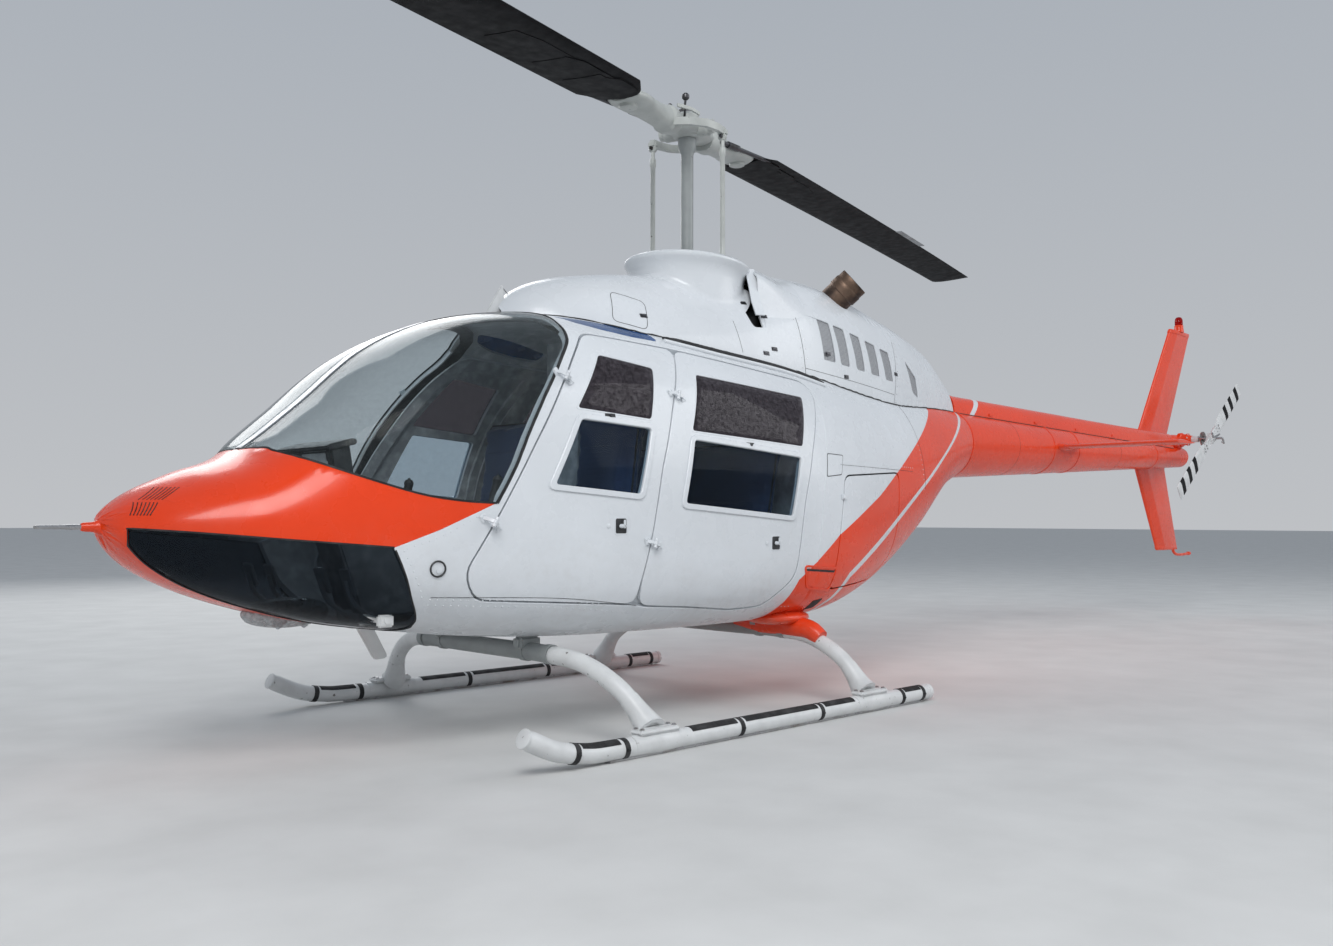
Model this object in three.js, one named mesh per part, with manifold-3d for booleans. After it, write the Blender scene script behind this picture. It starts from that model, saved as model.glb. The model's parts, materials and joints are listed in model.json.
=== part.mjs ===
// Light helicopter with one turbine engine, a two-blade teetering rotor, four cabin doors and skids.
// Millimetres. +X points to the nose, +Y to the pilot's left, +Z up.
// Every station along X is counted from the rotor mast, every height from the ground under the skids.
// The outer group shifts the mast so that the origin lies under the middle of the whole length.
import * as THREE from "three";
import { mergeVertices } from "three/addons/utils/BufferGeometryUtils.js";
import Module from "manifold-3d";

const wasm = await Module();
wasm.setup();

// Driving dimensions
const MAST_X = 892; // the mast's station in the part's own frame
const NOSE_X = 2725; // front of the nose
const BODY_END_X = -2320; // where the tail boom begins
const WALL = 30; // thickness of doors and cabin walls
const AFT_WALL = 12; // skin and frames behind the cabin
const FRAME_DEPTH = 66; // depth of the door frames, outer face to inner
const POST_FACE = 50; // depth at which the door posts begin behind the leaves
const DOOR_GAP = 11; // between a door and what it moves past
const SILL_DROP = 5; // the sill lies this much lower, because the leaf dips as it swings out
const TOUCH = 0.4; // between pieces that touch
const ROTOR_RADIUS = 5080;
const ROTOR_CHORD = 330;
const ROTOR_HEIGHT = 2785;
const ROTOR_AZIMUTH = THREE.MathUtils.degToRad(17.2); // how far the parked blades are turned
const ROTOR_TEETER = THREE.MathUtils.degToRad(2.8); // the parked rotor hangs nose down
const BLADE_DROOP = 48; // sag of each blade's tip
const TAIL_ROTOR_X = -5963;
const TAIL_ROTOR_Y = 300;
const TAIL_ROTOR_Z = 1535;
const TAIL_ROTOR_RADIUS = 825;
const TAIL_ROTOR_CHORD = 134;
const TAIL_ROTOR_ANGLE = THREE.MathUtils.degToRad(35); // the upper blade above the horizontal, aft
const SKID_Y = 920;
const SKID_RADIUS = 35;
const CROSSTUBE_RADIUS = 35;
const SHOE = 6; // wear plate under a skid tube
const FLOOR_Z = 485; // top of the cabin floor
const FLOOR_THICK = 15;

// Paint and materials: colour, roughness, metalness
const FINISH = {
  white: [0xdfe3e8, 0.35, 0.0],
  orange: [0xe8430f, 0.35, 0.0],
  silver: [0xb9bdc2, 0.35, 0.8],
  steel: [0x8d9094, 0.4, 0.9],
  black: [0x1a1b1d, 0.6, 0.1],
  glass: [0x24303a, 0.08, 0.0],
  blueGlass: [0x3a5f92, 0.1, 0.0],
  navy: [0x1b2740, 0.85, 0.0],
  grey: [0x8b9096, 0.7, 0.1],
  burnt: [0x5a4a40, 0.6, 0.7],
  red: [0xc0201a, 0.25, 0.0],
};

// Cross-sections of the body. Columns: station, bottom, top, half width, height of the greatest width,
// squareness above it and squareness below it (2 is an ellipse).
const BODY_SECTIONS = [
  [2725, 835, 845, 4, 840, 2.0, 2.0],
  [2700, 765, 885, 115, 825, 2.0, 2.0],
  [2620, 685, 945, 225, 815, 2.0, 2.1],
  [2480, 610, 1010, 330, 805, 2.1, 2.2],
  [2280, 540, 1090, 425, 800, 2.3, 2.6],
  [2050, 480, 1275, 500, 800, 2.5, 3.0],
  [1800, 440, 1495, 555, 800, 2.7, 3.4],
  [1480, 400, 1650, 605, 810, 2.8, 3.8],
  [1100, 375, 1712, 640, 830, 2.8, 4.0],
  [600, 365, 1722, 660, 850, 2.7, 4.0],
  [0, 365, 1715, 660, 860, 2.5, 4.0],
  [-400, 368, 1700, 640, 880, 2.4, 3.8],
  [-800, 410, 1670, 575, 950, 2.3, 3.0],
  [-1200, 510, 1640, 490, 1050, 2.2, 2.4],
  [-1600, 700, 1610, 400, 1150, 2.1, 2.1],
  [-2000, 985, 1575, 300, 1270, 2.0, 2.0],
  [BODY_END_X, 1115, 1545, 215, 1330, 2.0, 2.0],
];
const RING_POINTS = 20;
const NOSE_RINGS = 6;
const NOSE_LENGTH = 800;
const RING_PITCH = 330;

// The windshield panes bulge over the plain sections
const PANE_BULGE = 85;
const PANE_FRONT_X = 2255;
const PANE_BACK_X = 1110;

// Side outlines (station, height)
const DOOR_SEAM = [
  [556, 1584],
  [646, 1421],
  [707, 1302],
  [796, 1054],
  [851, 793],
  [905, 600],
];
const FRONT_DOOR = [
  [1046, 1604],
  [1156, 1488],
  [1399, 1135],
  [1572, 845],
  [1690, 660],
  [1640, 562],
  [915, 514],
  ...[...DOOR_SEAM].reverse(),
];
const REAR_DOOR = [
  ...DOOR_SEAM,
  [893, 507],
  [600, 486],
  [326, 460],
  [127, 466],
  [-45, 590],
  [-113, 941],
  [-198, 1175],
  [-345, 1450],
  [-310, 1517],
];
// The post behind the line where the two doors meet
const POST_REACH = 32;
const DOOR_POST = [
  [540 - POST_REACH, 1660],
  ...DOOR_SEAM.map(([x, z]) => [x - POST_REACH, z]),
  [915 - POST_REACH, 420],
  [915 + POST_REACH, 420],
  ...[...DOOR_SEAM].reverse().map(([x, z]) => [x + POST_REACH, z]),
  [540 + POST_REACH, 1660],
];
const FRONT_WINDOWS = [
  [[1026, 1511], [749, 1478], [832, 1252], [1202, 1277]],
  [[1190, 1239], [838, 1219], [915, 948], [1331, 979]],
];
const REAR_WINDOWS = [
  [[501, 1475], [-234, 1433], [-123, 1186], [613, 1219]],
  [[607, 1186], [-97, 1138], [-15, 864], [677, 915]],
];
const FRONT_PANE = [[1026, 1511], [749, 1478], [915, 948], [1331, 979]];
const REAR_PANE = [[501, 1475], [-234, 1433], [-15, 864], [677, 915]];
const BAGGAGE_DOOR = [[-447, 1063], [-1060, 1098], [-1060, 640], [-900, 545], [-345, 520]];
const WINDSHIELD_SIDE = [
  [2262, 1106],
  [2196, 1067],
  [2087, 1044],
  [1923, 985],
  [1785, 943],
  [1569, 910],
  [1422, 1181],
  [1337, 1318],
  [1225, 1466],
  [1143, 1560],
  [1118, 1617],
  [1110, 1900],
  [2262, 1900],
];
const CHIN_WINDOW = [
  [2690, 822],
  [2516, 806],
  [2243, 780],
  [1946, 754],
  [1862, 573],
  [1780, 430],
  [1780, 300],
  [2690, 300],
];
// Plan outlines (station, distance to the left)
const WINDSHIELD_PLAN = [
  [1480, 24],
  [1330, 110],
  [1189, 220],
  [1130, 300],
  [1112, 420],
  [1100, 800],
  [2400, 800],
  [2400, 24],
];
const ROOF_WINDOW = [[1070, 235], [1010, 340], [900, 395], [615, 400], [615, 345], [880, 320]];
const KEEL_HALF = 110; // the nose keeps a strip between the chin windows
const POST_HALF = 24; // half width of the windshield's middle post

// Cuts between the body's panels (station, height)
const NOSE_CUT_X = 1745;
const POST_FOOT_Z = 1140; // where the windshield's middle post stands on the nose
const BULKHEAD_FRONT = 5; // the bulkhead's faces, behind the cut between cabin and aft body
const BULKHEAD_BACK = 23;
const ROOF_CUT = [[1650, 1640], [1046, 1613], [556, 1592], [-375, 1530]];
const AFT_CUT = [[-378, 1900], [-375, 1430], [-262, 1000], [-160, 200]];

// Plain geometry helpers

function solidOf(geometry) {
  const bare = new THREE.BufferGeometry();
  bare.setAttribute("position", geometry.getAttribute("position"));
  if (geometry.index) {
    bare.setIndex(geometry.index);
  }
  const merged = mergeVertices(bare, 1e-3);
  const mesh = {
    numProp: 3,
    vertProperties: merged.getAttribute("position").array,
    triVerts: new Uint32Array(merged.index.array),
  };
  return new wasm.Manifold(new wasm.Mesh(mesh));
}

function geometryOf(solid) {
  const mesh = solid.getMesh();
  const geometry = new THREE.BufferGeometry();
  geometry.setAttribute("position", new THREE.BufferAttribute(mesh.vertProperties, 3));
  geometry.setIndex(new THREE.BufferAttribute(mesh.triVerts, 1));
  geometry.computeVertexNormals();
  return geometry;
}

function joined(...geometries) {
  return geometries.map(solidOf).reduce((whole, piece) => whole.add(piece));
}

// A closed skin over rings that all have the same number of points
function loft(rings) {
  const count = rings[0].length;
  const positions = rings.flat().flatMap((point) => [point.x, point.y, point.z]);
  const faces = [];
  for (let r = 0; r + 1 < rings.length; r++) {
    for (let i = 0; i < count; i++) {
      const next = (i + 1) % count;
      const a = r * count + i;
      const b = r * count + next;
      faces.push(a, b, a + count, b, b + count, a + count);
    }
  }
  const ends = [
    [0, true],
    [rings.length - 1, false],
  ];
  for (const [r, first] of ends) {
    const centre = new THREE.Vector3();
    rings[r].forEach((point) => centre.addScaledVector(point, 1 / count));
    const hub = positions.length / 3;
    positions.push(centre.x, centre.y, centre.z);
    for (let i = 0; i < count; i++) {
      const a = r * count + i;
      const b = r * count + ((i + 1) % count);
      faces.push(...(first ? [hub, b, a] : [hub, a, b]));
    }
  }
  const geometry = new THREE.BufferGeometry();
  geometry.setAttribute("position", new THREE.Float32BufferAttribute(positions, 3));
  geometry.setIndex(signedVolume(positions, faces) < 0 ? faces.reverse() : faces);
  return geometry;
}

function signedVolume(positions, faces) {
  const at = (i) => new THREE.Vector3().fromArray(positions, faces[i] * 3);
  let sum = 0;
  for (let i = 0; i < faces.length; i += 3) {
    sum += at(i).dot(at(i + 1).cross(at(i + 2)));
  }
  return sum;
}

// A closed outline with its corners rounded off
function roundedShape(outline, radius) {
  const shape = new THREE.Shape();
  const points = outline.map(([x, y]) => new THREE.Vector2(x, y));
  points.forEach((corner, i) => {
    const before = points[(i + points.length - 1) % points.length];
    const after = points[(i + 1) % points.length];
    const cut = (other) => Math.min(radius, corner.distanceTo(other) / 2.2);
    const start = corner.clone().lerp(before, cut(before) / corner.distanceTo(before));
    const end = corner.clone().lerp(after, cut(after) / corner.distanceTo(after));
    if (i === 0) {
      shape.moveTo(start.x, start.y);
    } else {
      shape.lineTo(start.x, start.y);
    }
    if (radius > 0) {
      shape.quadraticCurveTo(corner.x, corner.y, end.x, end.y);
    }
  });
  shape.closePath();
  return shape;
}

// The outline moved outwards by a distance, or inwards by a negative one
function grown(outline, distance) {
  const points = outline.map(([x, y]) => new THREE.Vector2(x, y));
  const turn = Math.sign(THREE.ShapeUtils.area(points));
  return points.map((corner, i) => {
    const before = points[(i + points.length - 1) % points.length];
    const after = points[(i + 1) % points.length];
    const inward = corner.clone().sub(before).normalize();
    const outward = after.clone().sub(corner).normalize();
    const normalA = new THREE.Vector2(inward.y, -inward.x).multiplyScalar(turn);
    const normalB = new THREE.Vector2(outward.y, -outward.x).multiplyScalar(turn);
    const middle = normalA.clone().add(normalB).normalize();
    const reach = distance / Math.max(middle.dot(normalA), 0.5);
    return [corner.x + middle.x * reach, corner.y + middle.y * reach];
  });
}

// A side outline swept across the body from one distance left to another
function sidePrism(outline, fromY, toY, radius = 0) {
  const shape = roundedShape(outline, radius);
  const geometry = new THREE.ExtrudeGeometry(shape, {
    depth: toY - fromY,
    bevelEnabled: false,
    curveSegments: 3,
  });
  geometry.rotateX(Math.PI / 2);
  geometry.translate(0, toY, 0);
  return solidOf(geometry);
}

// A plan outline swept upwards
function planPrism(outline, fromZ, toZ, radius = 0) {
  const shape = roundedShape(outline, radius);
  const geometry = new THREE.ExtrudeGeometry(shape, {
    depth: toZ - fromZ,
    bevelEnabled: false,
    curveSegments: 3,
  });
  geometry.translate(0, 0, fromZ);
  return solidOf(geometry);
}

function box(low, high) {
  const size = high.map((value, i) => value - low[i]);
  const geometry = new THREE.BoxGeometry(...size);
  geometry.translate(...low.map((value, i) => value + size[i] / 2));
  return geometry;
}

// A box between two opposite corners, in whichever order they come
function boxBetween(a, b) {
  const low = a.map((value, i) => Math.min(value, b[i]));
  const high = a.map((value, i) => Math.max(value, b[i]));
  return box(low, high);
}

// A round bar between two points, with its own radius at each end
function bar(from, to, radiusFrom, radiusTo = radiusFrom, sides = 12) {
  const start = new THREE.Vector3(...from);
  const end = new THREE.Vector3(...to);
  const span = end.clone().sub(start);
  const geometry = new THREE.CylinderGeometry(radiusTo, radiusFrom, span.length(), sides);
  geometry.translate(0, span.length() / 2, 0);
  const up = new THREE.Vector3(0, 1, 0);
  geometry.applyQuaternion(new THREE.Quaternion().setFromUnitVectors(up, span.normalize()));
  geometry.translate(...from);
  return geometry;
}

// A round bar bent along a curve through points
function bentBar(points, radius, steps, sides = 10) {
  const path = new THREE.CatmullRomCurve3(points.map((point) => new THREE.Vector3(...point)));
  path.curveType = "centripetal";
  const section = new THREE.Shape();
  section.absarc(0, 0, radius, 0, 2 * Math.PI, false);
  return new THREE.ExtrudeGeometry(section, {
    steps,
    extrudePath: path,
    bevelEnabled: false,
    curveSegments: sides / 2,
  });
}

// A flattened ball
function pod(centre, radii, across = 12, around = 8) {
  const geometry = new THREE.SphereGeometry(1, across, around);
  geometry.scale(...radii);
  geometry.translate(...centre);
  return geometry;
}

// The body's skin

// Smooth value of each column of a table at a station; the square root keeps the nose round
function tableRow(table, tip, x) {
  const place = (station) => Math.sqrt(Math.max(tip - station, 0));
  const u = place(x);
  const us = table.map((row) => place(row[0]));
  let i = us.findIndex((value) => value > u) - 1;
  if (i < 0) {
    i = table.length - 2;
  }
  const slope = (k, column) => {
    const before = Math.max(k - 1, 0);
    const after = Math.min(k + 1, table.length - 1);
    if (before === k || after === k) {
      return (table[after][column] - table[before][column]) / (us[after] - us[before]);
    }
    const left = (table[k][column] - table[before][column]) / (us[k] - us[before]);
    const right = (table[after][column] - table[k][column]) / (us[after] - us[k]);
    return (right * (us[k] - us[before]) + left * (us[after] - us[k])) / (us[after] - us[before]);
  };
  const step = us[i + 1] - us[i];
  const t = Math.min((u - us[i]) / step, 1);
  const fromRow = [2 * t ** 3 - 3 * t ** 2 + 1, (t ** 3 - 2 * t ** 2 + t) * step];
  const toRow = [-2 * t ** 3 + 3 * t ** 2, (t ** 3 - t ** 2) * step];
  return table[i].map(
    (value, column) =>
      fromRow[0] * value +
      fromRow[1] * slope(i, column) +
      toRow[0] * table[i + 1][column] +
      toRow[1] * slope(i + 1, column),
  );
}

// Lower edge of the windshield at a station, for the bulge of its panes
function paneBase(x) {
  const edge = WINDSHIELD_SIDE.slice(0, 11);
  for (let i = 0; i + 1 < edge.length; i++) {
    const [aheadX, aheadZ] = edge[i];
    const [behindX, behindZ] = edge[i + 1];
    if (x <= aheadX && x >= behindX) {
      return aheadZ + ((behindZ - aheadZ) * (aheadX - x)) / (aheadX - behindX);
    }
  }
  return Infinity;
}

function bodyRing(x, inset) {
  const [, bottom, top, half, widest, upper, lower] = tableRow(BODY_SECTIONS, NOSE_X, x);
  const base = paneBase(x);
  const along = (PANE_FRONT_X - x) / (PANE_FRONT_X - PANE_BACK_X);
  const swell = PANE_BULGE * Math.sin(Math.PI * THREE.MathUtils.clamp(along, 0, 1)) ** 0.7;
  const ring = [];
  for (let i = 0; i < RING_POINTS; i++) {
    const angle = (2 * Math.PI * (i + 0.5)) / RING_POINTS;
    const c = Math.cos(angle);
    const s = Math.sin(angle);
    const power = 2 / (s > 0 ? upper : lower);
    const reach = (s > 0 ? top - widest : widest - bottom) - inset;
    let y = (half - inset) * Math.sign(c) * Math.abs(c) ** power;
    let z = widest + reach * Math.sign(s) * Math.abs(s) ** power;
    if (z > base && z < top) {
      const bulge = swell * Math.sin((Math.PI * (z - base)) / (top - base)) ** 2;
      const out = new THREE.Vector2(y / half, (z - widest) / (top - widest)).normalize();
      y += bulge * out.x;
      z += bulge * out.y;
    }
    ring.push(new THREE.Vector3(x, y, z));
  }
  return ring;
}

// The body's solid inside its own skin by a depth
function bodySolid(inset) {
  const stations = [];
  for (let k = 0; k < NOSE_RINGS; k++) {
    const step = inset > 0 ? k + 1 : k;
    const front = NOSE_X - NOSE_LENGTH * (step / NOSE_RINGS) ** 2;
    stations.push(Math.min(front, NOSE_X - inset * 1.3) - (k === 0 ? 0.5 : 0));
  }
  for (let x = stations.at(-1) - RING_PITCH / 1.6; x > BODY_END_X + 40; x -= RING_PITCH) {
    stations.push(x);
  }
  stations.push(BODY_END_X - (inset > 0 ? 1 : 0));
  const usable = stations.filter((x) => tableRow(BODY_SECTIONS, NOSE_X, x)[3] - inset > 3);
  return solidOf(loft(usable.map((x) => bodyRing(x, inset))));
}

const skinAt = new Map();

function body(inset) {
  if (!skinAt.has(inset)) {
    skinAt.set(inset, bodySolid(inset));
  }
  return skinAt.get(inset);
}

function shell(outer, inner) {
  return body(outer).subtract(body(inner));
}

const FAR = 900; // beyond the body's side
const SIDES = [
  ["left", 1],
  ["right", -1],
];

function sideCut(outline, side, radius = 0, near = 60) {
  return side > 0 ? sidePrism(outline, near, FAR, radius) : sidePrism(outline, -FAR, -near, radius);
}

function mirrored(outline, side) {
  return outline.map(([x, y]) => [x, y * side]);
}

// The scene

const group = new THREE.Group();
group.name = "helicopter";
const aircraft = new THREE.Group();
aircraft.position.x = MAST_X;
group.add(aircraft);

function add(name, shape, finish, parent = aircraft) {
  const [color, roughness, metalness] = FINISH[finish];
  const material = new THREE.MeshStandardMaterial({ color, roughness, metalness });
  const geometry = shape.isBufferGeometry ? shape : geometryOf(shape);
  const mesh = new THREE.Mesh(geometry, material);
  mesh.name = name;
  parent.add(mesh);
  return mesh;
}

// Panel regions of the body

const LOW = 200;
const HIGH = 1950;
const roofRegion = sidePrism(
  [[1650, HIGH], ...ROOF_CUT, [-378, HIGH]],
  -FAR,
  FAR,
);
const aftRegion = sidePrism([...AFT_CUT, [-2400, LOW], [-2400, HIGH]], -FAR, FAR);
const noseRegion = sidePrism(
  [[NOSE_CUT_X, LOW], [NOSE_CUT_X, HIGH], [2800, HIGH], [2800, LOW]],
  -FAR,
  FAR,
);

function windshieldHole(side) {
  return sideCut(WINDSHIELD_SIDE, side, 20, 10).intersect(
    planPrism(mirrored(WINDSHIELD_PLAN, side), 850, HIGH, 20),
  );
}

function chinHole(side) {
  return sideCut(CHIN_WINDOW, side, 30, KEEL_HALF);
}

function roofHole(side) {
  return planPrism(mirrored(ROOF_WINDOW, side), 1500, HIGH, 25);
}

// A region set back by the touching gap on the side that faces another panel
function apart(solid, dx, dz) {
  return solid.translate([dx, 0, dz]);
}

function addNose() {
  let skin = shell(0, WALL).intersect(noseRegion);
  for (const [, side] of SIDES) {
    skin = skin.subtract(windshieldHole(side)).subtract(chinHole(side));
  }
  const post = box([NOSE_CUT_X - 1, -FAR, POST_FOOT_Z], [2800, FAR, HIGH]);
  add("nose_shell", skin.subtract(solidOf(post)), "orange");
}

function addWindshieldPost() {
  const foot = POST_FOOT_Z + TOUCH;
  const outline = [[2230, foot], [1500, foot], [1500, 1900], [2230, 1900]];
  const strip = sidePrism(outline, -POST_HALF + 1, POST_HALF - 1);
  const post = shell(0, WALL).intersect(strip).subtract(apart(roofRegion, TOUCH, 0));
  add("windshield_post", post, "silver");
}

function addCabinFrame() {
  let skin = trimmedFrame(shell(0, WALL));
  for (const [, side] of SIDES) {
    const lining = trimmedFrame(shell(WALL - 4, FRAME_DEPTH));
    const posts = lining.intersect(sideCut(DOOR_POST, side, 0, 300));
    skin = skin.add(posts).subtract(windshieldHole(side));
    for (const door of [FRONT_DOOR, REAR_DOOR]) {
      const opening = sideCut(grown(door, DOOR_GAP / 2), side, 0, 200).subtract(body(POST_FACE));
      skin = skin.subtract(opening).subtract(opening.translate([0, 0, -SILL_DROP]));
    }
  }
  const middle = box([1400, -61, 1300], [NOSE_CUT_X + 1, 61, HIGH]);
  add("cabin_frame", skin.subtract(solidOf(middle)), "white");
}

function trimmedFrame(solid) {
  return solid
    .subtract(apart(noseRegion, -TOUCH, 0))
    .subtract(apart(aftRegion, TOUCH, 0))
    .subtract(apart(roofRegion, 0, -TOUCH));
}

function addRoof() {
  let skin = shell(0, WALL).intersect(roofRegion).subtract(apart(aftRegion, TOUCH, 0));
  for (const [, side] of SIDES) {
    skin = skin.subtract(windshieldHole(side)).subtract(roofHole(side));
  }
  add("roof_shell", skin, "white");
}

function addAftBody() {
  const door = sideCut(grown(BAGGAGE_DOOR, DOOR_GAP / 2), 1, 40, 100);
  const skin = shell(0, AFT_WALL).intersect(aftRegion).subtract(door);
  add("aft_body", skin, "white");
  const moved = (back) => AFT_CUT.map(([x, z]) => [x - back, z]);
  const strip = sidePrism([...moved(BULKHEAD_FRONT), ...moved(BULKHEAD_BACK).reverse()], -FAR, FAR);
  add("cabin_bulkhead", body(AFT_WALL + 1).intersect(strip), "grey");
  const lid = shell(0, AFT_WALL).intersect(sideCut(grown(BAGGAGE_DOOR, -DOOR_GAP / 2), 1, 37, 100));
  add("baggage_door", lid, "white");
}

// A pane that fills a hole in the skin, a touch smaller all round
function addPanes() {
  for (const [name, side] of SIDES) {
    const pane = shell(3, 10);
    const reach = (hole) => pane.intersect(hole);
    const edge = TOUCH * 1.5;
    const windshield = sideCut(grown(WINDSHIELD_SIDE, -edge), side, 20, 10).intersect(
      planPrism(mirrored(grown(WINDSHIELD_PLAN, -edge), side), 850, HIGH, 20),
    );
    add("windshield_" + name, reach(windshield), "glass");
    const chin = sideCut(grown(CHIN_WINDOW, -edge), side, 30, KEEL_HALF + 1);
    add("chin_window_" + name, reach(chin), "glass");
    const roof = planPrism(mirrored(grown(ROOF_WINDOW, -edge), side), 1500, HIGH, 25);
    add("roof_window_" + name, reach(roof), "blueGlass");
  }
}

function addDoors() {
  const doors = [
    ["front", FRONT_DOOR, FRONT_WINDOWS, FRONT_PANE],
    ["rear", REAR_DOOR, REAR_WINDOWS, REAR_PANE],
  ];
  for (const [place, outline, windows, pane] of doors) {
    for (const [name, side] of SIDES) {
      let leaf = shell(0, WALL).intersect(sideCut(grown(outline, -DOOR_GAP / 2), side, 65, 200));
      for (const window of windows) {
        leaf = leaf.subtract(sideCut(window, side, 35, 200));
      }
      leaf = leaf.subtract(sideCut(grown(pane, 18), side, 40, 200).intersect(body(15)));
      add(place + "_door_" + name, leaf, "white");
      const sheet = shell(16, 20).intersect(sideCut(grown(pane, 17.4), side, 40, 200));
      add(place + "_door_window_" + name, sheet, "glass");
    }
  }
}

// Cabin floor, seats and controls

const SEAT_TOP = 790;

function addCabinInside() {
  const inside = body(FRAME_DEPTH + 2);
  const plate = box([-120, -FAR, FLOOR_Z - FLOOR_THICK], [2050, FAR, FLOOR_Z]);
  const frontBox = box([800, -560, FLOOR_Z - 1], [1180, 560, SEAT_TOP - 90]);
  const rearBox = box([-110, -560, FLOOR_Z - 1], [190, 560, SEAT_TOP - 110]);
  add("cabin_floor", inside.intersect(joined(plate, frontBox, rearBox)), "grey");
  const column = joined(
    box([640, -110, FLOOR_Z + TOUCH], [790, 110, 1640]),
    box([640, -110, 1560], [700, 110, 1680]),
  );
  add("control_column_housing", column.intersect(inside), "grey");
  addSeats(inside);
  addConsole();
  addSticks();
}

function addSeats(inside) {
  for (const [name, side] of SIDES) {
    const near = 125;
    const far = 555;
    const [from, to] = side > 0 ? [near, far] : [-far, -near];
    const cushion = box([835, from, SEAT_TOP - 90 + TOUCH], [1240, to, SEAT_TOP + 10]);
    const back = sidePrism([[800, 700.4], [905, 700.4], [830, 1330], [735, 1330]], from, to);
    add("front_seat_" + name, solidOf(cushion).add(back).intersect(inside), "navy");
  }
  const bench = box([-70, -560, SEAT_TOP - 110 + TOUCH], [270, 560, SEAT_TOP - 10]);
  const rest = sidePrism([[-90, 680.4], [20, 680.4], [-95, 1330], [-205, 1330]], -540, 540);
  add("rear_bench", solidOf(bench).add(rest).intersect(inside), "navy");
}

function addConsole() {
  const outline = [
    [1560, FLOOR_Z + TOUCH],
    [1820, FLOOR_Z + TOUCH],
    [1960, 860],
    [1985, 1120],
    [1900, 1150],
    [1840, 860],
    [1700, 780],
    [1560, 700],
  ];
  const pedestal = sidePrism(outline, -95, 95);
  const panel = sidePrism([[1850, 880], [1935, 880], [1985, 1120], [1895, 1150]], -260, 130);
  add("instrument_console", pedestal.add(panel), "black");
}

function addSticks() {
  const shaft = bar([1290, -330, FLOOR_Z + 26], [1290, 330, FLOOR_Z + 26], 25, 25, 8);
  const sticks = [1, -1].flatMap((side) => [
    bentBar(
      [
        [1290, side * 320, FLOOR_Z + 26],
        [1370, side * 320, FLOOR_Z + 180],
        [1420, side * 320, FLOOR_Z + 330],
        [1385, side * 320, FLOOR_Z + 460],
      ],
      14,
      6,
      6,
    ),
    bar([1385, side * 320, FLOOR_Z + 420], [1370, side * 320, FLOOR_Z + 540], 20, 18, 8),
  ]);
  add("cyclic_controls", joined(shaft, ...sticks), "black");
}

// Cowling and engine

// Columns: station, half width at the lower edge, top, squareness
const COWL_SECTIONS = [
  [1150, 60, 1740, 2.2],
  [1090, 150, 1815, 2.3],
  [962, 262, 1885, 2.4],
  [703, 375, 1950, 2.5],
  [369, 405, 2000, 2.5],
  [-27, 410, 2035, 2.5],
  [-420, 405, 2110, 2.4],
  [-518, 400, 2120, 2.4],
  [-1000, 370, 2105, 2.3],
  [-1368, 320, 2040, 2.2],
  [-1750, 235, 1960, 2.1],
  [-2050, 165, 1860, 2.0],
  [-2300, 100, 1690, 2.0],
];
const COWL_BASE_Z = 1420;
const COWL_SPLIT_X = -425;
const COWL_WALL = 10;

function cowlSolid(inset) {
  const rings = COWL_SECTIONS.map(([x, half, top, power], i) => {
    const last = COWL_SECTIONS.length - 1;
    const shift = i === 0 ? -inset * 2 : i === last ? inset * 2 : 0;
    const ring = [];
    const steps = 10;
    for (let k = 0; k <= steps; k++) {
      const angle = (Math.PI * k) / steps;
      const c = Math.cos(angle);
      const y = (half * 1.02 - inset) * Math.sign(c) * Math.abs(c) ** (2 / power);
      const z = COWL_BASE_Z + (top - COWL_BASE_Z - inset) * Math.sin(angle) ** (2 / power);
      ring.push(new THREE.Vector3(x + shift, y, z));
    }
    return ring;
  });
  return solidOf(loft(rings));
}

const RING_RADIUS = 340;

// The flared ring round the mast, with its opening
function mastFairing() {
  const profile = [
    [232, 1960],
    [330, 1960],
    [292, 2010],
    [283, 2050],
    [300, 2082],
    [RING_RADIUS, 2104],
    [RING_RADIUS, 2112],
    [300, 2122],
    [262, 2112],
    [240, 2080],
  ];
  const points = [...profile, profile[0]].map(([r, z]) => new THREE.Vector2(r, z));
  const geometry = new THREE.LatheGeometry(points, 20);
  geometry.rotateX(Math.PI / 2);
  return solidOf(geometry);
}

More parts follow.
